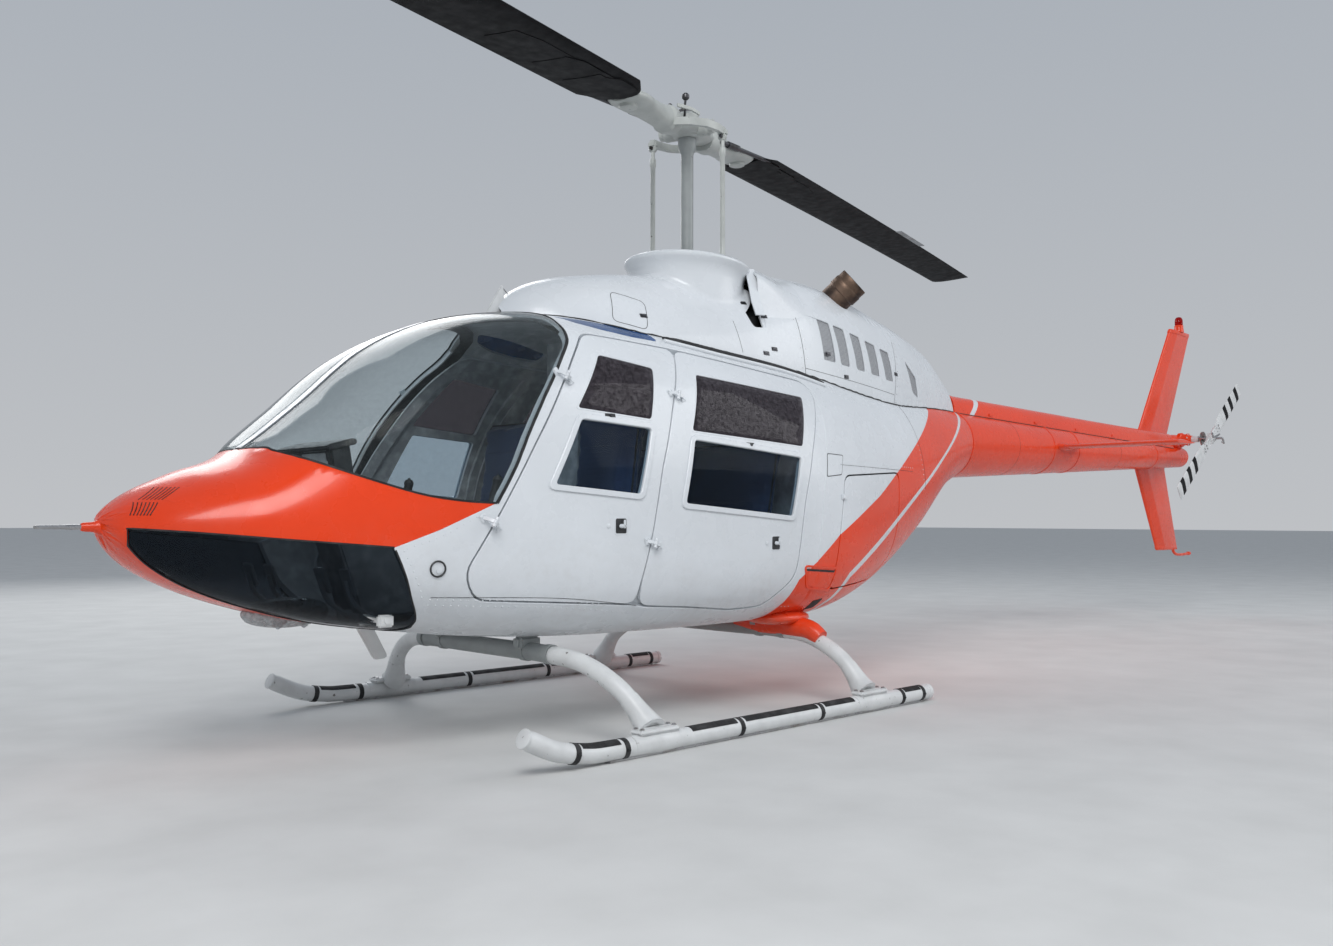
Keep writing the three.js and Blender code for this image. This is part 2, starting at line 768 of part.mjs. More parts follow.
// Engine block, gearbox block, cowls and exhausts
function addCowling() {
  const bodyBelow = body(0).translate([0, 0, TOUCH * 2]);
  const hollow = cowlSolid(0).subtract(cowlSolid(COWL_WALL)).subtract(bodyBelow);
  const front = box([COWL_SPLIT_X, -FAR, 1300], [1300, FAR, 2400]);
  const back = box([-2400, -FAR, 1300], [COWL_SPLIT_X - TOUCH, FAR, 2400]);
  const mastHole = solidOf(bar([0, 0, 1900], [0, 0, 2300], 232, 232, 20));
  const ring = mastFairing();
  let forward = hollow.intersect(solidOf(front)).subtract(mastHole);
  forward = forward.add(ring.subtract(cowlSolid(COWL_WALL)));
  for (const [, side] of SIDES) {
    const intake = sidePrism([[-95, 2050], [-185, 1885], [-300, 1885], [-225, 2062]], 0, 600, 12);
    forward = forward.subtract(side > 0 ? intake : intake.mirror([0, 1, 0]));
  }
  add("transmission_cowl", forward, "white");
  let engine = hollow.intersect(solidOf(back));
  for (const [, side] of SIDES) {
    engine = engine.subtract(solidOf(stackBar(side, 92)));
  }
  add("engine_cowl", engine, "white");
  for (const [name, side] of SIDES) {
    const stack = solidOf(stackBar(side, 84)).subtract(solidOf(stackBar(side, 78, 1.2)));
    add("exhaust_stack_" + name, stack, "burnt");
  }
  add("engine_block", box([-1330, -150, 1702], [-620, 150, 1880]), "steel");
  add("transmission_block", box([-170, -165, 1726], [190, 165, 1940]), "steel");
}

function stackBar(side, radius, stretch = 1) {
  const from = [-925, side * 120, 1955];
  const to = [-1000, side * 285, 2135];
  const start = from.map((value, i) => value - (to[i] - value) * (stretch - 1));
  const end = to.map((value, i) => value + (value - from[i]) * (stretch - 1));
  return bar(start, end, radius, radius, 16);
}

// Tail

const BOOM_END = { x: -6050, z: 1388, r: 82 };
const BOOM_ROOT = { x: BODY_END_X, z: 1330, r: 215 };
const BOOM_SIDES = 24;
const BOOM_WALL = 8; // skin with its frames
const COVER_WALL = 6;

function boomRadius(x) {
  const t = (BOOM_ROOT.x - x) / (BOOM_ROOT.x - BOOM_END.x);
  return BOOM_ROOT.r + (BOOM_END.r - BOOM_ROOT.r) * t;
}

function boomCentre(x) {
  const t = (BOOM_ROOT.x - x) / (BOOM_ROOT.x - BOOM_END.x);
  return BOOM_ROOT.z + (BOOM_END.z - BOOM_ROOT.z) * t;
}

// The boom grown by a distance; an inner one begins ahead of the root, so that the boom is open there
function boomSolid(extra = 0) {
  const ends = extra < 0 ? [BOOM_ROOT.x - 1, BOOM_END.x - extra] : [BOOM_ROOT.x - 2, BOOM_END.x];
  const stations = [ends[0], -3000, -4200, -5300, ends[1]];
  const rings = stations.map((x) => {
    const r = boomRadius(x) + extra;
    const ring = [];
    for (let k = 0; k < BOOM_SIDES; k++) {
      const angle = (2 * Math.PI * (k + 0.5)) / BOOM_SIDES;
      ring.push(new THREE.Vector3(x, r * Math.cos(angle), boomCentre(x) + r * Math.sin(angle)));
    }
    return ring;
  });
  return solidOf(loft(rings));
}

const STABILISER = { span: 1970, x: -3530, z: 1365, chord: 300, thick: 34 };

// Columns: share of the chord, half thickness as a share of the greatest
const AEROFOIL = [
  [0, 0.0],
  [0.03, 0.45],
  [0.12, 0.85],
  [0.3, 1.0],
  [0.6, 0.72],
  [0.85, 0.32],
  [1, 0.06],
];

// A ring round an aerofoil: chord points aft, thickness is across it
function aerofoilRing(place, chordWay, thickWay, chord, thick) {
  const upper = AEROFOIL.map(([s, t]) => [s, t]);
  const lower = AEROFOIL.slice(1).reverse().map(([s, t]) => [s, -t]);
  return [...upper, ...lower].map(([s, t]) =>
    new THREE.Vector3(...place)
      .addScaledVector(chordWay, s * chord)
      .addScaledVector(thickWay, (t * thick) / 2),
  );
}

function stabiliserSolid(extra = 0) {
  const aft = new THREE.Vector3(-1, 0, 0);
  const up = new THREE.Vector3(0, 0, 1);
  const { span, x, z, chord, thick } = STABILISER;
  const tips = [-span / 2, span / 2].map((y) =>
    aerofoilRing([x + extra, y, z], aft, up, chord + 2 * extra, thick + 2 * extra),
  );
  return solidOf(loft(tips));
}

// Fin rows: height, station of the leading edge, chord
const FIN_Y = -118;
const FIN_SECTIONS = [
  [590, -5845, 440],
  [1285, -5435, 600],
  [1605, -5510, 590],
  [2540, -6190, 440],
];
const FIN_THICK = 46;

const BEACON_X = -6400;

function addTailBoom() {
  const tube = boomSolid().subtract(boomSolid(-BOOM_WALL));
  add("tail_boom", tube.subtract(stabiliserSolid(TOUCH)), "orange");
  const hood = driveshaftCover().subtract(driveshaftCover(COVER_WALL));
  const cover = hood.subtract(boomSolid(TOUCH)).subtract(body(0).translate([0, 0, 1]));
  add("driveshaft_cover", cover, "orange");
  add("stabiliser", stabiliserSolid(), "orange");
}

function addFin() {
  const aft = new THREE.Vector3(-1, 0, 0);
  const out = new THREE.Vector3(0, 1, 0);
  const rings = FIN_SECTIONS.map(([z, x, chord]) =>
    aerofoilRing([x, FIN_Y, z], aft, out, chord, FIN_THICK),
  );
  add("vertical_fin", solidOf(loft(rings)).subtract(boomSolid(TOUCH * 2)), "orange");
  const foot = FIN_SECTIONS[0][0];
  const skidRoute = [
    [-6190, FIN_Y, foot - 0.5],
    [-6210, FIN_Y, foot - 30],
    [-6330, FIN_Y, foot - 45],
    [-6560, FIN_Y, foot - 38],
  ];
  const above = solidOf(box([-6400, -200, foot - TOUCH], [-6000, 0, foot + 110]));
  add("tail_skid", solidOf(bentBar(skidRoute, 13, 8, 8)).subtract(above), "white");
  const tip = FIN_SECTIONS.at(-1)[0];
  const base = bar([BEACON_X, FIN_Y, tip + TOUCH], [BEACON_X, FIN_Y, tip + 50], 38, 38);
  add("beacon", joined(base, pod([BEACON_X, FIN_Y, tip + 70], [36, 36, 62])), "red");
}

function addTailGearbox() {
  const gearbox = joined(
    pod([-5960, 0, TAIL_ROTOR_Z - 15], [165, 72, 62]),
    bar([TAIL_ROTOR_X, 0, TAIL_ROTOR_Z], [TAIL_ROTOR_X, 205, TAIL_ROTOR_Z], 42, 30),
  );
  const cover = driveshaftCover().scale([1, 1.01, 1]).translate([-TOUCH * 3, 0, TOUCH]);
  add("tail_gearbox", gearbox.subtract(boomSolid(TOUCH)).subtract(cover), "white");
}

// Columns: station, height of its top, half width
const SHAFT_COVER = [
  [-2302, 1656, 96],
  [-2350, 1642, 95],
  [-3590, 1618, 84],
  [-4380, 1602, 76],
  [-5270, 1588, 66],
  [-5800, 1580, 58],
];

function driveshaftCover(inset = 0) {
  const last = SHAFT_COVER.length - 1;
  const rings = SHAFT_COVER.map(([station, outerTop, outerHalf], i) => {
    const x = station + (i === 0 ? -inset : i === last ? inset : 0);
    const [top, half] = [outerTop - inset, outerHalf - inset];
    const base = boomCentre(x) + boomRadius(x) * 0.75;
    const ring = [];
    for (let k = 0; k <= 10; k++) {
      const angle = (Math.PI * k) / 10;
      const y = half * Math.sign(Math.cos(angle)) * Math.abs(Math.cos(angle)) ** 0.8;
      ring.push(new THREE.Vector3(x, y, base + (top - base) * Math.sin(angle) ** 0.8));
    }
    return ring;
  });
  return solidOf(loft(rings));
}

// Rotors

const GRIP_OUT = 640; // blade root's distance from the hub's centre
const LINK_OUT = 195; // the pitch links' distance from the mast

function addMainRotor() {
  const rotor = new THREE.Group();
  rotor.position.z = ROTOR_HEIGHT;
  rotor.rotation.z = ROTOR_AZIMUTH;
  aircraft.add(rotor);
  const local = (height) => height - ROTOR_HEIGHT;
  const mast = joined(
    bar([0, 0, local(1948)], [0, 0, -42], 42, 42, 20),
    bar([0, 0, local(2062)], [0, 0, local(2092)], 150, 165, 24),
    bar([0, -205, local(2078)], [0, 205, local(2078)], 24, 24, 10),
  );
  add("rotor_mast", mast, "silver", rotor);
  for (const [name, side] of SIDES) {
    const place = side * LINK_OUT;
    const link = bar([0, place, local(2103)], [0, place, -60], 13, 13, 10);
    const eye = bar([0, place, local(2103)], [0, place, local(2150)], 20, 18, 10);
    add("pitch_link_" + name, joined(link, eye), "silver", rotor);
  }
  const teeter = new THREE.Group();
  teeter.rotation.y = ROTOR_TEETER;
  rotor.add(teeter);
  const yoke = joined(
    box([-300, -75, -18], [300, 75, 18]),
    bar([0, -150, 0], [0, 150, 0], 34, 34, 16),
    bar([0, 0, -38], [0, 0, 85], 62, 52, 20),
    box([-70, -80, 30], [70, 80, 62]),
    ...[1, -1].flatMap((way) => [
      bar([way * 210, 0, 0], [way * 470, 0, 0], 68, 62, 18),
      boxBetween([way * 430, -105, -32], [way * (GRIP_OUT - 1), 105, 32]),
      boxBetween([way * 200, 0, -40], [way * 300, way * 215, -8]),
      boxBetween([way * -15, way * 175, -40], [way * 300, way * 215, -8]),
    ]),
  );
  add("rotor_hub", yoke, "silver", teeter);
  const ahead = new THREE.Vector3(0, -1, 0);
  const up = new THREE.Vector3(0, 0, 1);
  for (const [number, way] of [[1, 1], [2, -1]]) {
    // Columns: distance out, chord, thickness
    const stations = [
      [GRIP_OUT, 200, 40],
      [760, ROTOR_CHORD, 37],
      [2400, ROTOR_CHORD, 37],
      [3900, ROTOR_CHORD, 36],
      [ROTOR_RADIUS, ROTOR_CHORD, 35],
    ];
    const rings = stations.map(([r, chord, thick]) => {
      const droop = BLADE_DROOP * ((r - GRIP_OUT) / (ROTOR_RADIUS - GRIP_OUT)) ** 2;
      const chordWay = ahead.clone().multiplyScalar(way);
      return aerofoilRing([way * r, (way * chord) / 2, -droop], chordWay, up, chord, thick);
    });
    add("rotor_blade_" + number, loft(rings), "black", teeter);
  }
}

function addTailRotor() {
  const rotor = new THREE.Group();
  rotor.position.set(TAIL_ROTOR_X, TAIL_ROTOR_Y, TAIL_ROTOR_Z);
  rotor.rotation.y = TAIL_ROTOR_ANGLE;
  aircraft.add(rotor);
  const hub = joined(
    bar([0, -89, 0], [0, 42, 0], 20, 20, 14),
    bar([0, -22, 0], [0, 26, 0], 48, 48, 16),
    box([-150, -16, -42], [150, 16, 42]),
    bar([0, -70, 0], [0, -55, 0], 62, 62, 16),
  );
  add("tail_rotor_hub", hub, "silver", rotor);
  for (const [number, way] of [[1, -1], [2, 1]]) {
    const out = new THREE.Vector3(0, 1, 0);
    const chordWay = new THREE.Vector3(0, 0, -way);
    const rings = [
      [150.6, 84, 18],
      [230, TAIL_ROTOR_CHORD, 17],
      [TAIL_ROTOR_RADIUS, TAIL_ROTOR_CHORD, 15],
    ].map(([r, chord, thick]) =>
      aerofoilRing([way * r, 0, (way * chord) / 2], chordWay, out, chord, thick),
    );
    add("tail_rotor_blade_" + number, loft(rings), "white", rotor);
  }
}

// Skids

const CROSSTUBES = [
  ["front", 1200, 1090],
  ["rear", -212, -235],
];

function addSkids() {
  const centre = SHOE + SKID_RADIUS;
  for (const [name, side] of SIDES) {
    const y = side * SKID_Y;
    const tube = bentBar(
      [
        [-690, y, centre],
        [0, y, centre],
        [900, y, centre],
        [1380, y, centre],
        [1500, y, centre + 14],
        [1610, y, centre + 48],
        [1690, y, centre + 90],
      ],
      SKID_RADIUS,
      14,
      10,
    );
    const shoe = box([-640, y - 18, 0], [1330, y + 18, SHOE + 6]);
    const saddles = CROSSTUBES.map(([, , x]) =>
      box([x - 110, y - 34, centre], [x + 110, y + 34, centre + 62]),
    );
    let skid = joined(tube, shoe, ...saddles);
    for (const crosstube of CROSSTUBES) {
      skid = skid.subtract(solidOf(crosstubeBar(crosstube, CROSSTUBE_RADIUS + 1.5)));
    }
    add("skid_" + name, skid, "white");
  }
  for (const crosstube of CROSSTUBES) {
    add("crosstube_" + crosstube[0], crosstubeBar(crosstube, CROSSTUBE_RADIUS), "white");
  }
}

function crosstubeBar([, bellyX, skidX], radius) {
  const top = 365 - CROSSTUBE_RADIUS - 3;
  const half = [
    [bellyX, 150, top],
    [bellyX, 400, top],
    [bellyX - (bellyX - skidX) * 0.25, 600, top - 22],
    [bellyX - (bellyX - skidX) * 0.6, 770, top - 105],
    [skidX, 880, top - 232],
    [skidX, 893, 84],
  ];
  const other = [...half].reverse().map(([x, y, z]) => [x, -y, z]);
  return bentBar([...other, ...half], radius, 24, 10);
}

function addNoseProbe() {
  const probe = joined(
    bar([2722, 0, 838], [2790, 0, 838], 16, 12, 10),
    bar([2780, 0, 838], [3010, 0, 832], 9, 7, 10),
  );
  add("pitot_tube", probe.subtract(body(0).translate([TOUCH, 0, 0])), "steel");
}

addNose();
addWindshieldPost();
addCabinFrame();
addRoof();
addAftBody();
addPanes();
addDoors();
addCabinInside();
addCowling();
addTailBoom();
addFin();
addTailGearbox();
addMainRotor();
addTailRotor();
addSkids();
addNoseProbe();

export default group;
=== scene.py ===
import json
import math

import bmesh
import bpy
import numpy as np
from mathutils import Matrix, Vector
from mathutils.bvhtree import BVHTree
from mathutils.geometry import delaunay_2d_cdt


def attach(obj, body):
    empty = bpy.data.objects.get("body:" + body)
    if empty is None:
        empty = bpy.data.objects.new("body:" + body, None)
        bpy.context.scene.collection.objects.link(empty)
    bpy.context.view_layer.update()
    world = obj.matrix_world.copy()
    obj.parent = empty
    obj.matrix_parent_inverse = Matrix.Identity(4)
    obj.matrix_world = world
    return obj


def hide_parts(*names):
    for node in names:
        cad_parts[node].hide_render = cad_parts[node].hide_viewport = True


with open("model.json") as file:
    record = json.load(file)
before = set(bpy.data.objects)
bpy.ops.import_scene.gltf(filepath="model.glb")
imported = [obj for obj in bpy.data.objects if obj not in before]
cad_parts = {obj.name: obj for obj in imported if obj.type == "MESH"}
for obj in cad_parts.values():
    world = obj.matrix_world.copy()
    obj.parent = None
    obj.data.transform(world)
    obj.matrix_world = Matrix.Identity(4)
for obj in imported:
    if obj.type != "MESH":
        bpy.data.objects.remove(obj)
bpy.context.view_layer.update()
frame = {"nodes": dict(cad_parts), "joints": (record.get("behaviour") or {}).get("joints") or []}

# A light two-blade turbine helicopter on skids, in metres. +X is the nose, +Y the pilot's left, +Z up.
# Stations along X are counted from the rotor mast; a mesh is shifted to the frame when it is made.
JOINTS = {joint["name"]: joint for joint in frame["joints"]}
MAST_X = JOINTS["main_rotor_spin"]["pos_m"][0]
ROTOR_Z = JOINTS["main_rotor_spin"]["pos_m"][2]
SIDES = [("left", 1), ("right", -1)]

# The photograph's camera, from the mast
CAMERA_PLACE = (4.005, 3.947, 0.858)
CAMERA_YAW = math.radians(-134.41)
CAMERA_PITCH = math.radians(2.25)
CAMERA_ROLL = math.radians(0.14)
CAMERA_LENS = 30.87  # millimetres on a 36 mm sensor

# Body
NOSE_X = 2.725
NOSE_CUT_X = 2.7245  # the probe's collar covers the cut
BODY_END_X = -2.32
SKIN = 0.004  # thickness of plain sheet
LEAF = 0.022  # thickness of a door
EDGE = 0.0015  # chamfer along a panel's edge
SEAM = 0.0035  # each panel's share of a gap between panels
LINING_DEPTH = 0.03

# Columns: station, bottom, top, half width, height of the greatest width, squareness above, squareness below
BODY_SECTIONS = np.array([
    (2.725, 0.835, 0.845, 0.004, 0.840, 2.0, 2.0),
    (2.700, 0.765, 0.885, 0.115, 0.825, 2.0, 2.0),
    (2.620, 0.685, 0.945, 0.225, 0.815, 2.0, 2.1),
    (2.480, 0.610, 1.010, 0.330, 0.805, 2.1, 2.2),
    (2.280, 0.540, 1.090, 0.425, 0.800, 2.3, 2.6),
    (2.050, 0.480, 1.275, 0.500, 0.800, 2.5, 3.0),
    (1.800, 0.440, 1.495, 0.555, 0.800, 2.7, 3.4),
    (1.480, 0.400, 1.650, 0.605, 0.810, 2.8, 3.8),
    (1.100, 0.375, 1.712, 0.640, 0.830, 2.8, 4.0),
    (0.600, 0.365, 1.722, 0.660, 0.850, 2.7, 4.0),
    (0.000, 0.365, 1.715, 0.660, 0.860, 2.5, 4.0),
    (-0.400, 0.368, 1.700, 0.640, 0.880, 2.4, 3.8),
    (-0.800, 0.410, 1.670, 0.575, 0.950, 2.3, 3.0),
    (-1.200, 0.510, 1.640, 0.490, 1.050, 2.2, 2.4),
    (-1.600, 0.700, 1.610, 0.400, 1.150, 2.1, 2.1),
    (-2.000, 0.985, 1.575, 0.300, 1.270, 2.0, 2.0),
    (BODY_END_X, 1.115, 1.545, 0.215, 1.330, 2.0, 2.0),
])
PANE_BULGE = 0.085
PANE_BULGE_SHARE = 0.25  # the bulge is never more than this share of the pane's own height
PANE_FRONT_X = 2.255
PANE_BACK_X = 1.110

# The windshield's edges from the side (station, height)
WINDSHIELD_FOOT = [
    (2.262, 1.106), (2.239, 1.080), (2.203, 1.061), (2.106, 1.018), (1.982, 0.975), (1.838, 0.936),
    (1.700, 0.917), (1.569, 0.910),
]
WINDSHIELD_AFT = [
    WINDSHIELD_FOOT[-1], (1.493, 1.040), (1.422, 1.181), (1.337, 1.318), (1.225, 1.466), (1.143, 1.560),
    (1.118, 1.617),
]
FOOT_TURN_X = 2.215  # ahead of it the foot is drawn from above
# The windshield's edges from above (station, distance from the centre line)
POST_HALF = 0.024  # half width of the post between the panes
WINDSHIELD_FRONT_X = 2.271
WINDSHIELD_TOP_X = 1.50
WINDSHIELD_TOP = [(1.118, 0.400), (1.130, 0.300), (1.189, 0.220), (1.330, 0.110), (1.480, POST_HALF)]
WINDSHIELD_FRONT = [(WINDSHIELD_FRONT_X, POST_HALF), (2.264, 0.080), (2.255, 0.140), (2.241, 0.235)]

# Door outlines from the side (station, height)
DOOR_SEAM = [(0.556, 1.584), (0.646, 1.421), (0.707, 1.302), (0.796, 1.054), (0.851, 0.793), (0.905, 0.600)]
FRONT_DOOR_EDGE = [
    (1.046, 1.604), (1.156, 1.488), (1.243, 1.372), (1.399, 1.135), (1.572, 0.845), (1.690, 0.660),
    (1.640, 0.562), (0.915, 0.514),
]
REAR_DOOR_EDGE = [
    (0.893, 0.507), (0.600, 0.486), (0.326, 0.460), (0.127, 0.466), (-0.045, 0.590), (-0.113, 0.941),
    (-0.198, 1.175), (-0.345, 1.450), (-0.310, 1.517),
]
FRONT_DOOR = [*FRONT_DOOR_EDGE, *DOOR_SEAM[::-1]]
REAR_DOOR = [*DOOR_SEAM, *REAR_DOOR_EDGE]
FRONT_UPPER = [(1.026, 1.511), (0.749, 1.478), (0.832, 1.252), (1.202, 1.277)]
FRONT_LOWER = [(1.190, 1.239), (0.838, 1.219), (0.915, 0.948), (1.331, 0.979)]
REAR_UPPER = [(0.501, 1.475), (-0.234, 1.433), (-0.123, 1.186), (0.613, 1.219)]
REAR_LOWER = [(0.607, 1.186), (-0.097, 1.138), (-0.015, 0.864), (0.677, 0.915)]
BAGGAGE_DOOR = [(-0.447, 1.063), (-1.060, 1.098), (-1.060, 0.640), (-0.900, 0.545), (-0.345, 0.520)]

# Edges between the body's panels and its colours
NOSE_EDGE = [(1.569, 0.910), (1.785, 0.814), (1.946, 0.754)]
CHIN_AFT = [(1.946, 0.754), (1.903, 0.661), (1.862, 0.573), (1.800, 0.490)]
CHIN_FOOT_Y = 0.36  # where the chin window's aft edge turns under the belly
CHIN_TOP = [(1.946, 0.754), (2.243, 0.780), (2.516, 0.806), (2.682, 0.820)]
KEEL_HALF = 0.12  # half width of the strip between the chin windows
CHIN_TIP = [(2.672, 0.128), (2.650, 0.130), (2.600, 0.130), (2.500, 0.125)]  # from below
CHIN_END_X = 1.780
ROOF_EDGE = [(1.118, 1.617), (1.046, 1.613), (0.556, 1.592), (-0.375, 1.530)]
AFT_EDGE = [(-0.375, 1.530), (-0.340, 1.300), (-0.262, 1.000), (-0.200, 0.600)]
AFT_BELLY = [(-0.185, 0.600), (-0.165, 0.450), (-0.160, 0.000)]
AFT_TOP_X = -0.378
AFT_TOP_Y = 0.36  # where the roof's aft edge turns down
ROOF_CORNER = (-0.376, 1.56)
ROOF_WINDOW = [
    (1.070, 0.255), (1.010, 0.350), (0.905, 0.392), (0.764, 0.415), (0.600, 0.420), (0.600, 0.360),
    (0.880, 0.290),
]
BAND_FRONT = [(-0.030, 0.470), (-0.083, 0.577), (-0.388, 0.779), (-0.813, 0.971), (-1.749, 1.486)]
BAND_BELLY = [(0.060, 0.0), (0.010, 0.420), (-0.010, 0.540)]
BAND_TOP = [(-1.80, 0.20), (-1.86, 0.0)]
STRIPE_LINE = [
    (-0.440, 0.470), (-0.533, 0.583), (-0.838, 0.738), (-1.509, 1.084), (-1.90, 1.30), (-2.30, 1.525),
]
STRIPE_BELLY = [(-0.330, 0.0), (-0.370, 0.340), (-0.400, 0.480)]
STRIPE_HALF = 0.019

# Cowl. Columns: station, half width at its foot, top, squareness
COWL_SECTIONS = np.array([
    (1.150, 0.060, 1.740, 2.2),
    (1.090, 0.150, 1.815, 2.3),
    (0.962, 0.262, 1.885, 2.2),
    (0.703, 0.375, 1.950, 2.05),
    (0.369, 0.405, 2.000, 1.92),
    (-0.027, 0.410, 2.035, 2.02),
    (-0.420, 0.405, 2.110, 2.3),
    (-0.518, 0.400, 2.120, 2.4),
    (-1.000, 0.370, 2.105, 2.3),
    (-1.368, 0.320, 2.040, 2.2),
    (-1.750, 0.235, 1.960, 2.1),
    (-2.050, 0.165, 1.860, 2.0),
    (-2.300, 0.100, 1.690, 2.0),
])
COWL_FOOT_Z = 1.42
COWL_SPREAD = 1.02
COWL_SPLIT_X = -0.425
COWL_ENDS = (1.146, -2.285)
COWL_NOSE_X = 1.160  # where the cowl's sections come to a point

FLOOR_HALF = 90.0


# Materials

DUST = (0.33, 0.30, 0.26)
PAINT_GLOSS = 0.26  # roughness of clean gloss paint
WORN_GLOSS = 0.34  # roughness of worn paint


def material(name, **values):
    """A Principled material; the values are its constant sockets, named with _ for a space."""
    made = bpy.data.materials.new(name)
    made.use_nodes = True
    shader = made.node_tree.nodes["Principled BSDF"]
    for socket, value in values.items():
        entry = shader.inputs[socket.replace("_", " ")]
        entry.default_value = (*value, 1.0) if isinstance(value, tuple) else value
    return made, made.node_tree, shader


def place_vector(tree, stretch=(1.0, 1.0, 1.0)):
    """The point in metres, with each axis counted more or less often."""
    place = tree.nodes.new("ShaderNodeTexCoord")
    mapping = tree.nodes.new("ShaderNodeMapping")
    mapping.inputs["Scale"].default_value = stretch
    tree.links.new(place.outputs["Object"], mapping.inputs["Vector"])
    return mapping.outputs["Vector"]


def noise(tree, scale, detail=4.0, stretch=(1.0, 1.0, 1.0)):
    texture = tree.nodes.new("ShaderNodeTexNoise")
    texture.inputs["Scale"].default_value = scale
    texture.inputs["Detail"].default_value = detail
    tree.links.new(place_vector(tree, stretch), texture.inputs["Vector"])
    return texture.outputs["Fac"]


def ranged(tree, value, low, high, out_low=0.0, out_high=1.0):
    node = tree.nodes.new("ShaderNodeMapRange")
    for socket, number in zip(("From Min", "From Max", "To Min", "To Max"), (low, high, out_low, out_high)):
        node.inputs[socket].default_value = number
    tree.links.new(value, node.inputs["Value"])
    return node.outputs["Result"]


def maths(tree, operation, *values):
    node = tree.nodes.new("ShaderNodeMath")
    node.operation = operation
    for socket, value in zip(node.inputs, values):
        if isinstance(value, (int, float)):
            socket.default_value = value
        else:
            tree.links.new(value, socket)
    return node.outputs["Value"]


def blended(tree, share, first, second):
    """A colour between two; each is a tuple or a node's output."""
    node = tree.nodes.new("ShaderNodeMix")
    node.data_type = "RGBA"
    tree.links.new(share, node.inputs["Factor"])
    for socket, value in ((node.inputs[6], first), (node.inputs[7], second)):
        if isinstance(value, tuple):
            socket.default_value = (*value, 1.0)
        else:
            tree.links.new(value, socket)
    return node.outputs[2]


def bumped(tree, shader, height, strength, distance=0.002):
    node = tree.nodes.new("ShaderNodeBump")
    node.inputs["Strength"].default_value = strength
    node.inputs["Distance"].default_value = distance
    tree.links.new(height, node.inputs["Height"])
    tree.links.new(node.outputs["Normal"], shader.inputs["Normal"])


def height_share(tree, low, high):
    """1 at the lower height, fading to 0 at the upper one."""
    split = tree.nodes.new("ShaderNodeSeparateXYZ")
    tree.links.new(place_vector(tree), split.inputs["Vector"])
    return ranged(tree, split.outputs["Z"], low, high, 1.0, 0.0)


def paint(name, colour, dusty=0.35):
    """Aged gloss paint: slow tone changes, orange peel, dust towards the ground and fine scuffs."""
    made, tree, shader = material(name, Coat_Weight=0.22, Coat_Roughness=0.08, Specular_IOR_Level=0.36)
    tone = blended(tree, ranged(tree, noise(tree, 1.7, 3.0), 0.3, 0.7), scaled(colour, 0.90), colour)
    low = height_share(tree, 0.30, 0.95)
    speckle = ranged(tree, noise(tree, 34.0, 6.0), 0.42, 0.80)
    patches = ranged(tree, noise(tree, 4.0, 5.0, (1.0, 1.0, 2.2)), 0.35, 0.75)
    dirt = maths(tree, "MULTIPLY", maths(tree, "MULTIPLY", low, patches), maths(tree, "ADD", speckle, 0.35))
    dirt = maths(tree, "MULTIPLY", dirt, dusty)
    tree.links.new(blended(tree, dirt, tone, DUST), shader.inputs["Base Color"])
    rough = ranged(tree, noise(tree, 9.0, 6.0), 0.3, 0.75, PAINT_GLOSS - 0.05, PAINT_GLOSS + 0.09)
    tree.links.new(maths(tree, "ADD", rough, maths(tree, "MULTIPLY", dirt, 0.6)), shader.inputs["Roughness"])
    bumped(tree, shader, noise(tree, 150.0, 2.0), 0.035)
    return made


def scaled(colour, factor):
    return tuple(channel * factor for channel in colour)


def worn_paint(name, colour, under, amount):
    """Paint that is chipped through to what is under it."""
    made, tree, shader = material(name, Coat_Weight=0.2, Coat_Roughness=0.2)
    chips = ranged(tree, noise(tree, 46.0, 9.0), amount, amount + 0.04)
    rub = ranged(tree, noise(tree, 5.0, 3.0), 0.42, 0.62)
    chips = maths(tree, "MULTIPLY", chips, rub)
    grime = ranged(tree, noise(tree, 12.0, 7.0), 0.4, 0.85, 0.0, 0.5)
    tone = blended(tree, grime, colour, scaled(colour, 0.6))
    tree.links.new(blended(tree, chips, tone, under), shader.inputs["Base Color"])
    rough = ranged(tree, noise(tree, 14.0), 0.3, 0.7, WORN_GLOSS, WORN_GLOSS + 0.2)
    tree.links.new(rough, shader.inputs["Roughness"])
    bumped(tree, shader, maths(tree, "SUBTRACT", noise(tree, 90.0, 3.0), chips), 0.12)
    return made


def metal(name, colour, rough, stain=None):
    """Bare metal with a fine grain, smudges and, where given, stains."""
    made, tree, shader = material(name, Metallic=1.0)
    tone = blended(tree, ranged(tree, noise(tree, 6.0, 5.0), 0.3, 0.75), colour, scaled(colour, 0.72))
    if stain:
        tone = blended(tree, ranged(tree, noise(tree, 9.0, 8.0), 0.5, 0.66, 0.0, 0.85), tone, stain)
    tree.links.new(tone, shader.inputs["Base Color"])
    smudge = ranged(tree, noise(tree, 22.0, 6.0), 0.3, 0.75, rough - 0.08, rough + 0.16)
    tree.links.new(smudge, shader.inputs["Roughness"])
    bumped(tree, shader, noise(tree, 70.0, 4.0), 0.12)
    return made


